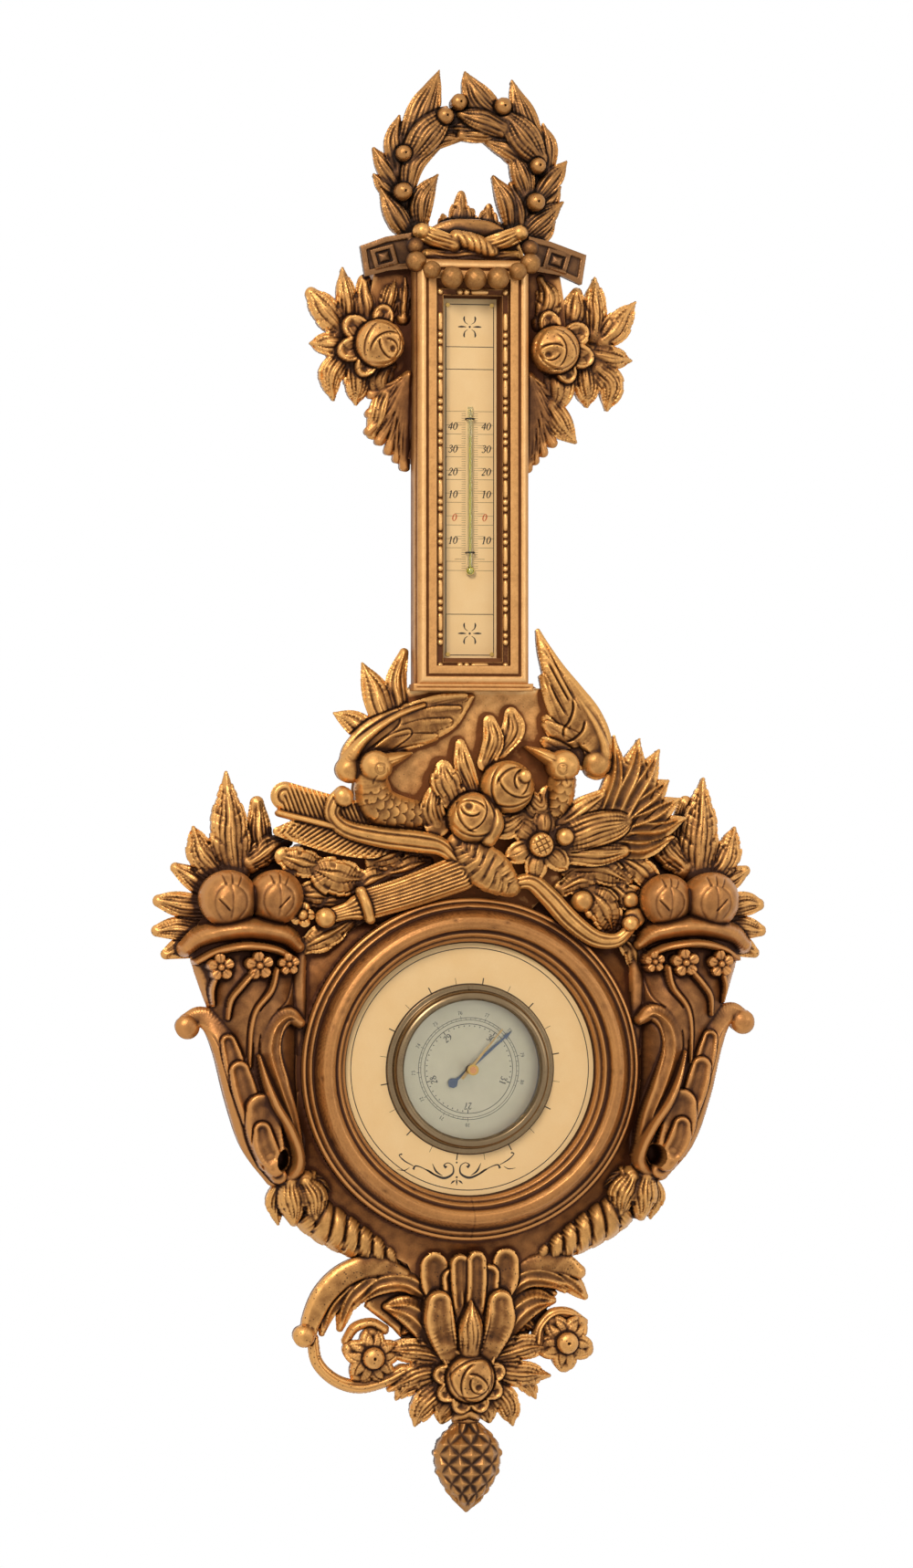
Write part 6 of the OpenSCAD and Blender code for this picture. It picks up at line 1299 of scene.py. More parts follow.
def pendant_flowers():
    """Leaves, two small open flowers and the rose in its ring of petals"""
    wood = Carving(EDGE_BACK)
    for rows in (
            [[-18, -672, 7, 19], [-34, -667.5, 9, 20], [-50, -667, 2.6, 15]],
            [[18, -672, 7, 19], [36, -666.5, 9, 20], [52, -667, 2.6, 15]],
            [[-18, -681, 7, 18], [-34, -683, 9, 19], [-49, -692, 1.4, 13]],
            [[18, -681, 7, 18], [36, -683, 9, 19], [53, -685, 1.4, 14]],
            [[34, -686, 6, 16], [41, -692, 5.4, 14], [45, -699, 1, 11]],
            [[-32, -688, 6, 16], [-39, -692, 5.4, 14], [-44, -698, 1, 11]],
            [[-16, -692, 8, 18], [-27, -702, 8.8, 18], [-32, -714.5, 1.2, 10]],
            [[16, -692, 8, 18], [26, -702, 8.8, 18], [30.5, -715.5, 1.2, 10]]):
        wood.leaf(rows, teeth=3, lobe=0.16, gouge=1.5, edge=0.66, lines=6)
    wood.bar([[0, -694, 9, 22], [0, -704, 10.4, 23], [0, -711, 9, 21]], lobes=3.2, lean=0, lobe_depth=2.2,
             edge=0.3)
    wood.leaf([[-10, -700, 7, 19], [-14, -706, 6.4, 17], [-15, -712, 2.4, 12]], lines=3)
    wood.leaf([[8, -702, 7, 19], [13, -706, 6.4, 17], [15, -712, 2.4, 12]], lines=3)
    for x, z, turn in ((-60, -671, 0.3), (63.5, -664, 0.9)):
        for k in range(5):
            a = turn + 1.257 * k
            rows = [[*spot(x, z, far, a), w, h] for far, w, h in ((4, 5, 20), (9.5, 8, 20), (14, 5.4, 15))]
            wood.leaf(rows, flutes=1, gouge=2.2, edge=0.62, lines=3)
        wood.ball(x, z, 6.8, EDGE_BACK + 25, 4.6)
        wood.hole(x, z, 1.2, 1.2, EDGE_BACK + 23)
    x, z = 0.7, -684.5
    for turn in range(12, 372, 40):
        petal(wood, *spot(x, z, 15.4, math.radians(turn)), 6.8, EDGE_BACK + 25, turn)
    wood.rose(x, z, 15.6, EDGE_BACK + 33, eye=(0.25, -0.35), turn=30)
    return wood


def pine_cone():
    """Round in front and behind: two sets of slanting rows cut it into scales, each with a raised point"""
    wood = Carving(EDGE_BACK)
    top_z, foot_z, axis = -713, -769.5, 22
    half = smooth_line([[top_z, 8.5], [-718, 14], [-726, 20.5], [-736, 22], [-748, 18.5], [-760, 10.5],
                        [foot_z, 0.6]], 60)
    win = window(-26, 26, foot_z - 3, top_z + 3)
    z = Z[win]
    w = np.interp(z, half[::-1, 0], half[::-1, 1], left=0.1, right=0.1).astype(np.float32)
    t = np.clip(X[win] / w, -1.2, 1.2)
    round_way = np.arcsin(np.clip(t, -1, 1)) / math.pi * 4.6
    depth_way = (top_z - z) / 12.4
    a, b = part_of(round_way + depth_way), part_of(depth_way - round_way)
    knob_rise = 1 - 2 * np.maximum(np.abs(a - 0.5), np.abs(b - 0.5))
    swell = 0.82 * w * np.sqrt(1 - np.clip(t, -0.99, 0.99) ** 2)
    front = axis + swell - 2.4 + 3.6 * knob_rise * ramp(w, 2, 10)
    limit = 1 - 0.07 * (1 - knob_rise)
    inside = np.minimum((limit - np.abs(t)) * w, np.minimum(z - foot_z, top_z - z))
    wood.add(win, front.astype(np.float32), inside.astype(np.float32))
    wood.back[win] = np.minimum(2 * axis - front + 1, axis)
    wood.undercut = 1.0
    return wood


WOOD_FRONT = 5  # where the gilding of the board's edges starts
MOVEMENT_BORE = 46.6
HANGER_SEAT, NAIL_POCKET = 1.5, 4.6  # depths cut into the back for the hanger plate and the nail's head


def board(low, high):
    """A layer of the backboard: sawn wood behind, gilded wood in front with the cove under the ring"""
    outline = [(-31, 18), (-58, 14), (-62, -10), (-64, -45), (-50, -66), (-42, -108), (-31, -112),
               (-31, -250), (-44, -262), (-66, -288), (-70, -318), (-84, -360), (-70, -410), (70, -410),
               (84, -360), (74, -348), (62.5, -333), (61, -318), (72, -296), (58, -262), (40, -250),
               (31, -250), (31, -112), (42, -108), (50, -66), (64, -45), (62, -10), (58, 14), (31, 18)]
    shield = [(76, 146), (106, 140), (118, 119), (120, 86), (116, 61), (113, 36), (109, 6), (109, -46),
              (103, -70), (90, -86), (64, -108), (38, -122), (25, -149), (14, -203)]
    shield = [(x, DIAL_Z + z) for x, z in shield]
    shield = shield + [(-x, z) for x, z in shield[::-1]]
    r = np.hypot(X, Z - DIAL_Z)
    wood = Carving(low, undercut=0.0)
    wood.panel(outline, high, drop=0, groove=0)
    wood.panel(shield, high, drop=0, groove=0)
    wood.add(np.s_[:, :], np.full(X.shape, high, np.float32), (RING_R + 3 - r).astype(np.float32), 0)
    np.minimum(wood.inside, r - MOVEMENT_BORE, out=wood.inside)
    if low:
        cove = 9.0 * np.clip(1 - (r - RING_R) / 16.0, 0, 1) ** 2
        wood.front += np.where((r > RING_R - 1) & (Z < -400), cove, 0).astype(np.float32)
        wood.front[r < RING_R - 1] = BOARD - 0.5
    else:
        wood.back[(np.abs(X) < 13) & (np.abs(Z + 10) < 25)] = HANGER_SEAT
        wood.back[np.hypot(X, Z) < 7] = NAIL_POCKET
    return wood


def carve_all():
    """Every carved piece by its name, from the crest down"""
    pieces = {}
    for carve in (crest_wreath, crest_flame, ribbon_knot, fret_band, rose_spray, shell_flutes, trophy_ground,
                  dove_left, dove_right, bouquet, arrow, bow, quiver, torch_plume, daisy, garland_leaves,
                  horn, fruit, foliage, rope, pendant_acanthus, pendant_flowers, pine_cone):
        if carve in (rose_spray, horn, fruit, foliage, rope):
            pieces[carve.__name__ + "_left"] = carve(-1)
            pieces[carve.__name__ + "_right"] = carve(1)
        else:
            pieces[carve.__name__] = carve()
    pieces["backboard"] = board(0, WOOD_FRONT)
    pieces["board_gilding"] = board(WOOD_FRONT, BOARD)
    return pieces


def skin_of(name):
    """The gilding of a carved piece"""
    for skin, names in ((GILT_BROWN, ("crest_wreath", "crest_flame", "pine_cone")),
                        (GILT_SATIN, ("fruit_left", "fruit_right", "horn_left", "horn_right", "shell_flutes")),
                        (GILT_DARK, ("fret_band",)), (GILT_GROUND, ("trophy_ground",)),
                        (GILT_PITTED, ("pendant_acanthus", "pendant_flowers", "foliage_left", "foliage_right",
                                       "rose_spray_left", "rose_spray_right"))):
        if name in names:
            return skin
    return GILT


carvings = carve_all()
whole = relief_of(carvings.values())
blurs = [blurred(whole, spread) for spread in SHADE_SPREADS]
for name, carving in carvings.items():
    if name == "backboard":
        make_carving(name, carving, WOOD, step=3)
    elif name == "board_gilding":
        make_carving(name, carving, GILT_BOARD, replaces=(), step=3)
    else:
        make_carving(name, carving, skin_of(name), step=2 if name == "trophy_ground" else 1)


# Turned, planed and printed pieces

def smooth_closed(points, times):
    """Puts evenly spaced points between those of a closed profile"""
    p = np.array(points)
    f = np.arange(times)[None, :, None] / times
    return (p[:, None] * (1 - f) + np.roll(p, -1, axis=0)[:, None] * f).reshape(-1, 2)


def turned_ring():
    """The gilt ring round the dial, with the small dents of age and one glued seam"""
    marks = [(rng.uniform(0, 6.283), rng.uniform(82, 106), rng.uniform(0.7, 1.5),
              rng.uniform(0.1, 0.5)) for _ in range(70)]

    def dents(angle, r):
        sink = 0.10 * np.sin(7 * angle + 1.1) * np.sin(r / 3.0)
        for a, ring, size, deep in marks:
            far = np.abs((angle - a + math.pi) % (2 * math.pi) - math.pi) * ring
            sink = sink - deep * np.exp(-(far / (size * 1.8)) ** 2 - ((r - ring) / size) ** 2)
        seam = np.exp(-((angle - math.pi) * 90 / 0.35) ** 2)
        return np.where(r > RING_OPEN + 1, sink - 0.35 * seam, 0)

    shape = softened([(79, 30.5), (107, 24.2)] + RING_PROFILE[1:], 4, 0.7)
    points, faces = turned(smooth_closed(shape, 3), 600, dents=dents)
    make("dial_ring", points, faces, GILT_SATIN, replaces=["dial_ring"], sharp=60)


def thermometer_case():
    """Mitred mouldings round the scale, with a small foot moulding and a flat floor"""
    half, top, foot = CASE_HALF, CASE_TOP, CASE_FOOT
    slip_out = RECESS_HALF + SLIP_W
    deep = half - slip_out
    side = [(0, BOARD), (0, 37.5), (0.5, 38.6), (1.1, 38.9), (1.1, 40.6), (0.7, 41.6), (0.9, 43.2),
            (1.8, 44.4), (3.2, 45.6), (4.6, 46), (5.9, 45.7), (6.4, 44.2), (7.2, 44.0), (7.6, 45.1),
            (deep - 0.4, 45.1), (deep, 44.6), (deep, SLIP_SEAT), (half - RECESS_HALF, SLIP_SEAT),
            (half - RECESS_HALF, 30.5), (half - 10, 30.5), (half - 10, BOARD)]
    body = mitred(np.array(softened(side, 3, 0.35)), -half, half, foot, top, 2.0)
    foot_piece = mitred(softened([(0.1, 25), (-0.6, 44.4), (0, 45), (1.1, 45), (1.7, 44.4), (1.7, 25)], 3,
                                 0.3), -half - 1.4, half + 1.4, foot - 2.6, foot + 1.0, 4.0)
    floor = mitred([(0, 24.6), (0, 30.4), (9, 30.4), (9, 24.6)], -half + 9, half - 9, foot + 9, top - 9, 6.0)
    points, faces = joined([body, foot_piece, floor])
    wear = 0.00012 * np.sin(points[:, 2] * 900 + 3 * np.sin(points[:, 2] * 210)) * np.sin(points[:, 0] * 700)
    points[:, 1] += wear * (points[:, 1] < -0.040)
    make("thermometer_case", points, faces, GILT_LIGHT, replaces=["thermometer_case"], sharp=50,
         shade=case_shade(points))


def case_shade(points):
    """Painted shade in the case's grooves and where the slip meets it, and a painted highlight on its arrises
    """
    x, z, p = np.abs(points[:, 0]) / MM, points[:, 2] / MM, -points[:, 1] / MM
    inset = np.minimum(CASE_HALF - x, np.minimum(CASE_TOP - z, z - CASE_FOOT))
    groove = np.exp(-((inset - 6.8) / 0.7) ** 2)
    lip = np.exp(-((inset - 4.0) / 1.2) ** 2)
    under = np.exp(-((inset - 0.9) / 0.5) ** 2) * (p < 41.2)
    return np.clip(0.5 + 0.5 * groove - 0.22 * lip + 0.3 * under + 0.4 * (inset > 12.6) + 0.25 * (p < 36), 0,
                   1)


def bead_slip():
    """A flat slip with a fillet at each side; along it run two beads and a long reel, again and again"""
    line, r, pitch = RECESS_HALF + SLIP_W / 2, 2.05, 4.3
    flat = [(0.15, SLIP_SEAT + 0.1), (0.15, SLIP_SEAT + 2.0), (0.5, SLIP_SEAT + 2.2), (0.9, SLIP_SEAT + 1.6),
            (SLIP_W - 0.9, SLIP_SEAT + 1.6), (SLIP_W - 0.5, SLIP_SEAT + 2.2), (SLIP_W - 0.1, SLIP_SEAT + 2.0),
            (SLIP_W - 0.1, SLIP_SEAT + 0.1)]
    pieces = [mitred(softened(flat, 3, 0.2), -line - SLIP_W / 2, line + SLIP_W / 2, RECESS_FOOT - SLIP_W,
                     RECESS_TOP + SLIP_W, 4.0)]
    runs = ((-line, RECESS_FOOT, 0, 1, RECESS_TOP - RECESS_FOOT),
            (line, RECESS_FOOT, 0, 1, RECESS_TOP - RECESS_FOOT),
            (-RECESS_HALF, RECESS_FOOT - SLIP_W / 2, 1, 0, 2 * RECESS_HALF),
            (-RECESS_HALF, RECESS_TOP + SLIP_W / 2, 1, 0, 2 * RECESS_HALF))
    for x, z, dx, dz, reach in runs:
        group = 2 * pitch + 12.2
        n = int(reach / group)
        at = (reach - n * group) / 2
        for k in range(n):
            for m in (0.5, 1.5):
                f = at + m * pitch
                size = r * rng.uniform(0.92, 1.02)
                pieces.append(bead(x + dx * f, z + dz * f, SLIP_SEAT + 1.9, size))
            f = at + 2 * pitch + 6.1
            pieces.append(bead(x + dx * f, z + dz * f, SLIP_SEAT + 1.8, r * 0.92, long_x=3.9 * dx,
                               long_z=3.9 * dz))
            at += group
    for x in (-line, line):
        for z in (RECESS_FOOT - SLIP_W / 2, RECESS_TOP + SLIP_W / 2):
            pieces.append(bead(x, z, SLIP_SEAT + 1.9, r))
    points, faces = joined(pieces)
    p = -points[:, 1] / MM
    # Painted shade low on the slip and round the beads' feet, painted highlight on their tops
    make("bead_slip", points, faces, GILT_BRIGHT, replaces=["bead_slip"], sharp=50,
         shade=np.clip(1.05 - (p - SLIP_SEAT - 0.6) * 0.27, 0, 1))


def pearls():
    """Nine pearls, largest in the middle, a little uneven as carved"""
    rows = [(0, 0.8, 49.8, 7.0), (14.6, 1.5, 49.8, 7.0), (27.2, 6, 48.9, 5.6), (36.2, 11.6, 43.4, 6.6),
            (36.6, 21.2, 41.4, 5.4)]
    pieces = []
    for x, z, p, r in rows:
        for side in ((1,) if x == 0 else (-1, 1)):
            points, faces = bead(side * x, z, p, r, segments=48, rings=28)
            centre = np.array([side * x, -p, z]) * MM
            away = (points - centre) / (r * MM)
            lumps = 0.02 * np.sin(9 * away[:, 0] + side) * np.sin(8 * away[:, 2] + x)
            lumps = lumps + 0.012 * np.sin(21 * away[:, 0]) * np.sin(19 * away[:, 2])
            pieces.append((centre + away * (1 + lumps[:, None]) * r * MM, faces))
    points, faces = joined(pieces)
    # Painted shade on the back of each pearl where it meets the ground, a slight painted highlight on its
    # front
    shade = 0.42 + 0.5 * np.clip((47 + points[:, 1] / MM) / 5, 0, 1)
    make("pearl_swag", points, faces, GILT, replaces=["pearl_swag"], shade=shade)


def brass_bezel():
    """A turned rim with a flat, a cove and a rounded nose that runs down to the glass"""
    inner, seat = 45.3, CARD_FRONT
    profile = [(inner, seat), (BEZEL_R, seat), (BEZEL_R, seat + 1.0), (BEZEL_R - 0.4, seat + 1.6),
               (BEZEL_R - 3.0, seat + 1.7), (BEZEL_R - 3.5, seat + 2.2), (BEZEL_R - 3.7, BEZEL_TOP - 4.4),
               (BEZEL_R - 4.2, BEZEL_TOP - 2.0), (BEZEL_R - 5.3, BEZEL_TOP - 0.7),
               (BEZEL_R - 6.8, BEZEL_TOP - 0.1), (BEZEL_R - 8.2, BEZEL_TOP - 0.1),
               (BEZEL_OPEN + 0.9, BEZEL_TOP - 0.9), (BEZEL_OPEN, BEZEL_TOP - 2.4), (BEZEL_OPEN, 39.7),
               (inner, 39.7)]
    points, faces = turned(smooth_closed(softened(profile, 4, 0.5), 2), 360)
    make("bezel", points, faces, BEZEL_BRASS, replaces=["bezel"],
         shade=np.full(len(points), PLAIN_SHADE), sharp=50)


class Print:
    """Thin ink laid on a flat: every line is a ribbon a little above the surface"""

    def __init__(self, level, thick=0.06):
        self.level, self.thick, self.pieces = level, thick, []

    def ribbon(self, rows):
        """rows are x, z, half width"""
        p = np.array(rows, float)
        d = np.gradient(p[:, :2], axis=0)
        d /= np.maximum(np.hypot(d[:, 0], d[:, 1]), 1e-6)[:, None]
        off = np.stack([-d[:, 1], d[:, 0]], axis=1) * p[:, 2:3]
        left, right = p[:, :2] + off, p[:, :2] - off
        high, low = self.level + self.thick, self.level - 0.15
        edges = ((left, high), (right, high), (right, low), (left, low))
        ring = [place(side[:, 0], side[:, 1], np.full(len(p), h)) for side, h in edges]
        points = np.stack(ring, axis=1).reshape(-1, 3)
        n = len(p)
        i = np.arange(n - 1)
        faces = [np.stack([4 * i + k, 4 * i + (k + 1) % 4, 4 * i + 4 + (k + 1) % 4, 4 * i + 4 + k],
                          axis=1) for k in range(4)]
        caps = np.array([[3, 2, 1, 0], [4 * n - 4, 4 * n - 3, 4 * n - 2, 4 * n - 1]])
        self.pieces.append((points, np.concatenate(faces + [caps])))

    def stroke(self, rows, count=14):
        self.ribbon(np.maximum(smooth_line(rows, count * (len(rows) - 1)), [-999, -999, 0.03]))

    def line(self, x0, z0, x1, z1, half):
        self.ribbon([[x0, z0, half], [(x0 + x1) / 2, (z0 + z1) / 2, half], [x1, z1, half]])

    def circle(self, x, z, r, half, start=0, end=360, step=2.0):
        a = np.radians(np.linspace(start, end, int((end - start) / step) + 1))
        self.ribbon(np.stack([x + r * np.sin(a), z + r * np.cos(a), np.full(len(a), half)], axis=1))

    def spokes(self, z, angles, r0, r1, half):
        for a in np.radians(angles):
            s, c = math.sin(a), math.cos(a)
            self.line(r0 * s, z + r0 * c, r1 * s, z + r1 * c, half)

    def figure(self, text, x, z, size, turn=0.0, weight=1.0, slant=0.2):
        """Old-style figures, centred on x, z and turned clockwise in degrees"""
        a = math.radians(turn)
        for k, digit in enumerate(text):
            shift = (k - (len(text) - 1) / 2) * 0.66 - 0.3
            for strokes in FIGURES[digit]:
                rows = []
                for u, v, w in strokes:
                    px, pz = (u + shift + slant * (v - 0.5)) * size, (v - 0.5) * size
                    rows.append([x + px * math.cos(a) + pz * math.sin(a),
                                 z - px * math.sin(a) + pz * math.cos(a), w * size * weight])
                self.stroke(rows, 7)

    def make(self, name, skin, slot, body="frame"):
        points, faces = joined(self.pieces)
        make(name, points, faces, skin, body, shade=np.full(len(points), PLAIN_SHADE))


# Pen strokes of the figures: x, y and half width, in a box of height 1
FIGURES = {
    "0": [[(0.3, 1, 0.03), (0.1, 0.75, 0.07), (0.08, 0.3, 0.08), (0.28, 0, 0.03), (0.5, 0.25, 0.07),
           (0.52, 0.7, 0.08), (0.3, 1, 0.03)]],
    "1": [[(0.14, 0.8, 0.03), (0.32, 0.98, 0.05)], [(0.33, 1, 0.07), (0.32, 0.5, 0.08), (0.3, 0, 0.07)],
          [(0.15, 0, 0.03), (0.46, 0, 0.03)]],
    "2": [[(0.1, 0.78, 0.06), (0.28, 1, 0.04), (0.5, 0.78, 0.08), (0.32, 0.4, 0.05), (0.06, 0.02, 0.03)],
          [(0.06, 0.03, 0.05), (0.3, 0.06, 0.08), (0.56, 0.06, 0.04)]],
    "3": [[(0.1, 0.86, 0.05), (0.3, 1, 0.04), (0.48, 0.8, 0.08), (0.24, 0.55, 0.03)],
          [(0.24, 0.55, 0.03), (0.52, 0.36, 0.08), (0.36, 0.02, 0.05), (0.06, 0.12, 0.06)]],
    "4": [[(0.44, 1, 0.03), (0.2, 0.6, 0.04), (0.02, 0.3, 0.04)],
          [(0.02, 0.3, 0.05), (0.3, 0.3, 0.05), (0.6, 0.3, 0.04)],
          [(0.44, 1, 0.05), (0.42, 0.5, 0.08), (0.4, 0, 0.06)]],
    "5": [[(0.5, 0.98, 0.04), (0.3, 0.96, 0.06), (0.16, 0.98, 0.03), (0.12, 0.6, 0.04)],
          [(0.12, 0.58, 0.03), (0.34, 0.64, 0.04), (0.54, 0.36, 0.08), (0.34, 0.02, 0.05),
           (0.06, 0.12, 0.06)]],
    "6": [[(0.46, 0.98, 0.04), (0.2, 0.76, 0.06), (0.1, 0.32, 0.08), (0.3, 0, 0.04), (0.52, 0.28, 0.07),
           (0.34, 0.56, 0.04), (0.12, 0.36, 0.05)]],
    "7": [[(0.06, 0.9, 0.05), (0.3, 0.96, 0.06), (0.56, 0.98, 0.03)],
          [(0.56, 0.98, 0.03), (0.3, 0.5, 0.06), (0.2, 0, 0.08)]],
    "8": [[(0.46, 0.78, 0.05), (0.3, 1, 0.04), (0.12, 0.78, 0.06), (0.32, 0.5, 0.07), (0.54, 0.22, 0.07),
           (0.28, 0, 0.04), (0.06, 0.22, 0.06), (0.3, 0.52, 0.04), (0.46, 0.78, 0.05)]],
    "9": [[(0.5, 0.72, 0.06), (0.3, 1, 0.04), (0.08, 0.74, 0.07), (0.28, 0.48, 0.04), (0.5, 0.72, 0.06),
           (0.48, 0.34, 0.07), (0.16, 0, 0.04)]],
}


def thermometer_print():
    """Border, bands, six-armed marks and the degrees, with ticks beside the tube; the zeros are red"""
    ink = Print(PLATE_FRONT)
    half, top, foot = 15.2, -13.5, -232.5
    for x0, z0, x1, z1 in ((-half, top, half, top), (half, top, half, foot), (half, foot, -half, foot),
                           (-half, foot, -half, top)):
        ink.line(x0, z0, x1, z1, 0.28)
    for z in (-40, -54, -207):
        ink.line(-half, z, half, z, 0.22)
    for z in (-27.5, -219):
        ink.circle(0, z, 0.35, 0.35, step=30)
        for side in (-1, 1):
            ink.stroke([[side * 2.2, z, 0.12], [side * 5, z + 0.1, 0.6], [side * 7.4, z, 0.25]])
            for up in (-1, 1):
                ink.stroke([[side * 1.2, z + up * 1.6, 0.12], [side * 3.0, z + up * 3.0, 0.3],
                            [side * 3.6, z + up * 5.2, 0.55], [side * 3.2, z + up * 6.6, 0.2]])
    for k in range(71):
        z = -80.3 - 1.42 * k
        out, thick = (half, 0.10) if k % 10 == 0 else (9.5, 0.10) if k % 5 == 0 else (5.2, 0.09)
        if k % 10 == 6:
            out = half
        for side in (-1, 1):
            ink.line(side * 2.6, z, side * out, z, thick)
    for text, z in (("40", -89.5), ("30", -103.7), ("20", -118), ("10", -132), ("10", -160.7)):
        for side in (-1, 1):
            ink.figure(text, side * 10.6, z, 4.6)
    ink.make("scale_print", INK, "black_wire")
    red = Print(PLATE_FRONT)
    for side in (-1, 1):
        red.figure("0", side * 9.6, -146.5, 4.6)
    red.make("zero_print", RED_INK, "spirit")


def card_print():
    """Rings, long and short marks round the bezel, and a pen flourish below"""
    ink = Print(CARD_FRONT)
    ink.circle(0, DIAL_Z, 75.6, 0.28)
    ink.circle(0, DIAL_Z, BEZEL_R + 0.25, 0.3)
    ink.spokes(DIAL_Z, [8.6 + 36 * k for k in range(10)], BEZEL_R + 0.2, BEZEL_R + 4.4, 0.34)
    ink.spokes(DIAL_Z, [26.6 + 36 * k for k in range(10)], BEZEL_R + 0.2, BEZEL_R + 4.6, 0.13)
    cx, cz = -8.5, -554
    for rows in (
            ((6.6, 1.6, 1.0), (8.0, 3.2, 0.45), (5.4, 4.6, 0.25), (2.4, 2.4, 0.35), (2.6, -2.2, 0.6),
             (8, -4.8, 0.75), (15, -2.2, 0.5), (21, 1.4, 0.3), (26, 3.0, 0.45), (27.6, 0.8, 0.7)),
            ((9, -3.4, 0.12), (13, -0.6, 0.6), (15.4, 4.2, 0.12)),
            ((11.5, -4.2, 0.12), (17, -0.6, 0.5), (20, 1.0, 0.12)),
            ((27.4, 3.0, 0.2), (33, 6.2, 0.4), (36.4, 9.6, 0.3), (34.6, 10.6, 0.55)),
            ((30, 2.0, 0.12), (33, 0.4, 0.3), (37.5, 0.8, 0.1)),
            ((0.8, -6.4, 0.1), (2.4, -7.2, 0.55), (3.8, -8.6, 0.1))):
        for side in (-1, 1):
            ink.stroke([[cx + side * x, cz + z, w] for x, z, w in rows])
    ink.stroke([[cx, cz - 5.6, 0.15], [cx, cz - 7.4, 0.5], [cx, cz - 9.4, 0.1]])
    ink.circle(cx, cz - 4.4, 0.35, 0.35, step=40)
    ink.circle(cx, cz + 4.8, 0.3, 0.3, step=40)
    ink.make("card_print", INK, "black_wire")


def dial_print():
    """Three rings, tenths inside and fine marks outside, numbered 27 to 31 and 70 to 80"""
    ink = Print(DIAL_FRONT, 0.04)
    for r, half in ((28, 0.22), (30.5, 0.16), (31.9, 0.18)):
        ink.circle(0, DIAL_Z, r, half, step=3)
    ink.spokes(DIAL_Z, [181 + 7.2 * k for k in range(41)], 26.3, 27.2, 0.3)
    ink.spokes(DIAL_Z, [181 + 72 * k for k in range(5)], 25.4, 28, 0.26)
    ink.spokes(DIAL_Z, [181 + 5.67 * k for k in range(52)], 30.5, 31.9, 0.12)
    ink.spokes(DIAL_Z, [181 + 28.35 * k for k in range(11)], 31.9, 33.3, 0.15)
    for first, count, step, r, size, weight in ((27, 5, 72, 23.4, 4.0, 1.15),
                                                (70, 11, 28.35, 35.2, 2.2, 1.2)):
        for k in range(count):
            turn = 181 + step * k
            way = math.radians(turn)
            ink.figure(str(first + k), r * math.sin(way), DIAL_Z + r * math.cos(way), size, turn, weight,
                       slant=0)
    ink.make("dial_print", INK, "black_wire")


def dress_cad_nodes():
    """The nodes that keep their CAD shape get the material they are made of"""
    skins = {"hanger_plate": CLOCK_BRASS, "hanger_screws": STEEL, "scale_plate": CARD,
             "plate_pins": CLOCK_BRASS, "thermometer_tube": TUBE_GLASS, "spirit_column": SPIRIT,
             "tube_clips": WIRE, "dial_card": CARD, "bezel_screws": BEZEL_BRASS, "dial_glass": PLATE_GLASS,
             "glass_ring": CLOCK_BRASS, "aneroid_case": CLOCK_BRASS, "silvered_dial": SILVERED,
             "movement_plate": CLOCK_BRASS, "vacuum_capsule": CLOCK_BRASS, "spring_bridge": STEEL,
             "mainspring": STEEL, "main_lever": STEEL, "rocker_shaft": STEEL, "arbor_bridge": CLOCK_BRASS,
             "hand_arbor": STEEL, "hairspring": BLUED, "chain": CLOCK_BRASS, "adjusting_screw": STEEL,
             "pressure_hand": BLUED, "set_hand": CLOCK_BRASS}
    for name, skin in skins.items():
        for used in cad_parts[name].material_slots:
            used.material = skin


def knob():
    """A domed copper button over the set hand's knob"""
    profile = [(0.05, 43.95), (1.2, 44.0), (2.3, 43.9), (3.0, 43.5), (3.42, 42.8), (3.42, 41.8), (3.1, 41.45),
               (0.05, 41.4)]
    points, faces = turned(smooth_closed(softened(profile[::-1], 3, 0.2), 2), 96)
    make("set_knob", points, faces, COPPER, body="set_pointer",
         shade=np.full(len(points), PLAIN_SHADE))


for work in (turned_ring, thermometer_case, bead_slip, pearls, brass_bezel, thermometer_print, card_print,
             dial_print, dress_cad_nodes, knob):
    work()


# Stage, light and camera

# Places in metres, as in the frame
MIDDLE = Vector((0, 0, -0.313))  # of the whole, where the lamps point
FLOOR_Z, FLOOR_SIZE = -1.9, 5.0
FLOOR_PALENESS = 0.8  # how far the eye sees the floor as white
EYE_TARGET, EYE_DISTANCE, EYE_TURN = Vector((-0.008, -0.030, -0.313)), 3.2, math.radians(-11)


def lamp(name, where, power, size, tint="#ffffff"):
    """A round soft lamp that points at the middle"""
    light = bpy.data.lights.new(name, "AREA")
    light.shape, light.size, light.energy = "DISK", size, power
    light.color = colour(tint)[:3]
    obj = bpy.data.objects.new(name, light)
    obj.location = where
    obj.rotation_euler = (MIDDLE - Vector(where)).to_track_quat("-Z", "Y").to_euler()
    bpy.context.scene.collection.objects.link(obj)


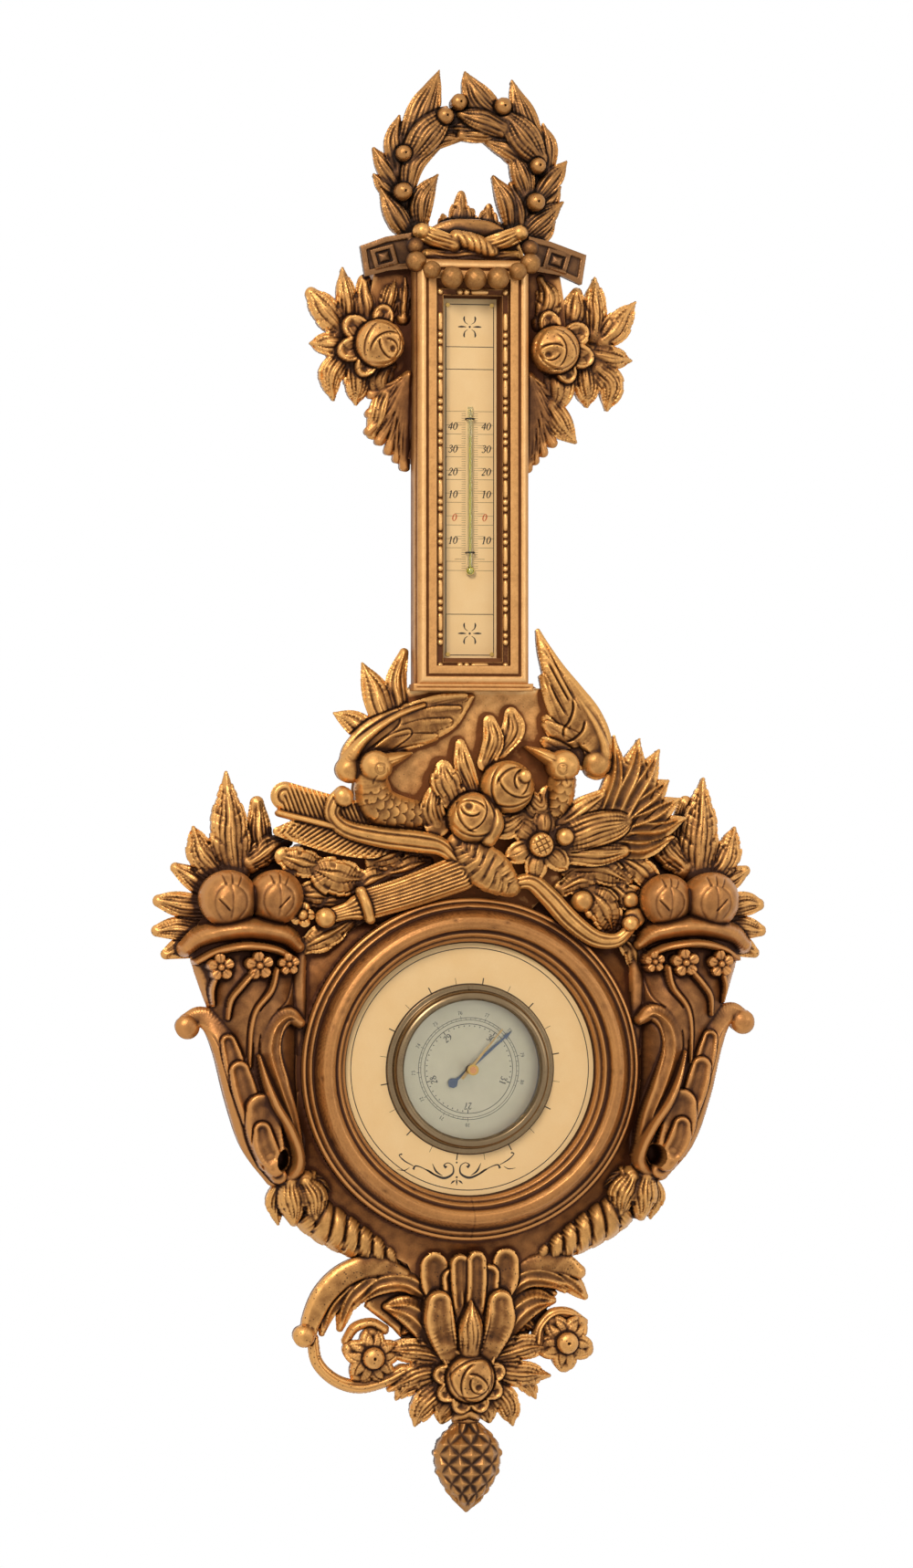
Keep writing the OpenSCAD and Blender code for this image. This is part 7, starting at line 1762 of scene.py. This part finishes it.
# Painted studio floor: off-white, faintly mottled; the eye sees it pale, mirrors and glass see it white
def pale_floor():
    mat, tree, where = surface("painted_floor", Roughness=0.9)
    blotches = node(tree, "ShaderNodeTexNoise", Vector=where, Scale=per_mm(300.0))
    tone = node(tree, "ShaderNodeMix", 2, data_type="RGBA", i0=blotches, i6=colour("#f4f2ee"),
                i7=colour("#ebe8e2"))
    finish(mat, Base_Color=tone)
    white = node(tree, "ShaderNodeEmission", Color=(1, 1, 1, 1), Strength=1.0)
    mirrored = node(tree, "ShaderNodeMath", operation="MAXIMUM",
                    i0=node(tree, "ShaderNodeLightPath", "Is Glossy Ray"),
                    i1=node(tree, "ShaderNodeLightPath", "Is Transmission Ray"))
    seen = node(tree, "ShaderNodeMath", operation="MULTIPLY",
                i0=node(tree, "ShaderNodeLightPath", "Is Camera Ray"), i1=FLOOR_PALENESS)
    pale = node(tree, "ShaderNodeMath", operation="MAXIMUM", i0=seen, i1=mirrored)
    painted = tree.nodes["Principled BSDF"].outputs[0]
    mixed = node(tree, "ShaderNodeMixShader", i0=pale, i1=painted, i2=white)
    join(tree, tree.nodes["Material Output"], Surface=mixed)
    return mat


def lamps():
    """A warm key from the upper left, a broad fill from the right and a weak one from below"""
    lamp("key_light", (-1.1, -2.25, 1.35), 52, 1.0, "#fff4e6")
    lamp("fill_light", (2.0, -2.2, 0.2), 10, 1.4)
    lamp("low_light", (-0.6, -1.8, -1.9), 3, 1.2)


def surroundings():
    """A soft grey light all round, that the eye, mirrors and glass see as white"""
    world = bpy.data.worlds.new("studio")
    bpy.context.scene.world = world
    world.use_nodes = True
    tree = world.node_tree
    seen = node(tree, "ShaderNodeLightPath", "Is Camera Ray")
    for kind in ("Is Glossy Ray", "Is Transmission Ray"):
        seen = node(tree, "ShaderNodeMath", operation="MAXIMUM", i0=seen,
                    i1=node(tree, "ShaderNodeLightPath", kind))
    soft = node(tree, "ShaderNodeBackground", Color=colour("#cfcac2"), Strength=0.5)
    white = node(tree, "ShaderNodeBackground", Color=(1, 1, 1, 1), Strength=1.0)
    mixed = node(tree, "ShaderNodeMixShader", i0=seen, i1=soft, i2=white)
    join(tree, tree.nodes["World Output"], Surface=mixed)


def floor():
    """The studio floor, well below the pendant"""
    mesh = bpy.data.meshes.new("floor")
    half = FLOOR_SIZE / 2
    corners = [(x, y, FLOOR_Z) for x, y in ((-half, -half), (half, -half), (half, half), (-half, half))]
    mesh.from_pydata(corners, [], [(0, 1, 2, 3)])
    mesh.materials.append(pale_floor())
    obj = bpy.data.objects.new("floor", mesh)
    bpy.context.scene.collection.objects.link(obj)


def camera():
    """The photograph's view: a long lens, from a little left of the front"""
    data = bpy.data.cameras.new("photo_camera")
    data.sensor_fit, data.sensor_height, data.lens = "VERTICAL", 36, 117.6
    data.clip_end = 20
    obj = bpy.data.objects.new("photo_camera", data)
    obj.location = EYE_TARGET + Vector((math.sin(EYE_TURN), -math.cos(EYE_TURN), 0)) * EYE_DISTANCE
    obj.rotation_euler = (EYE_TARGET - obj.location).to_track_quat("-Z", "Y").to_euler()
    bpy.context.scene.collection.objects.link(obj)
    bpy.context.scene.camera = obj


bpy.context.scene.view_settings.view_transform = "Standard"
for work in (lamps, surroundings, floor, camera):
    work()
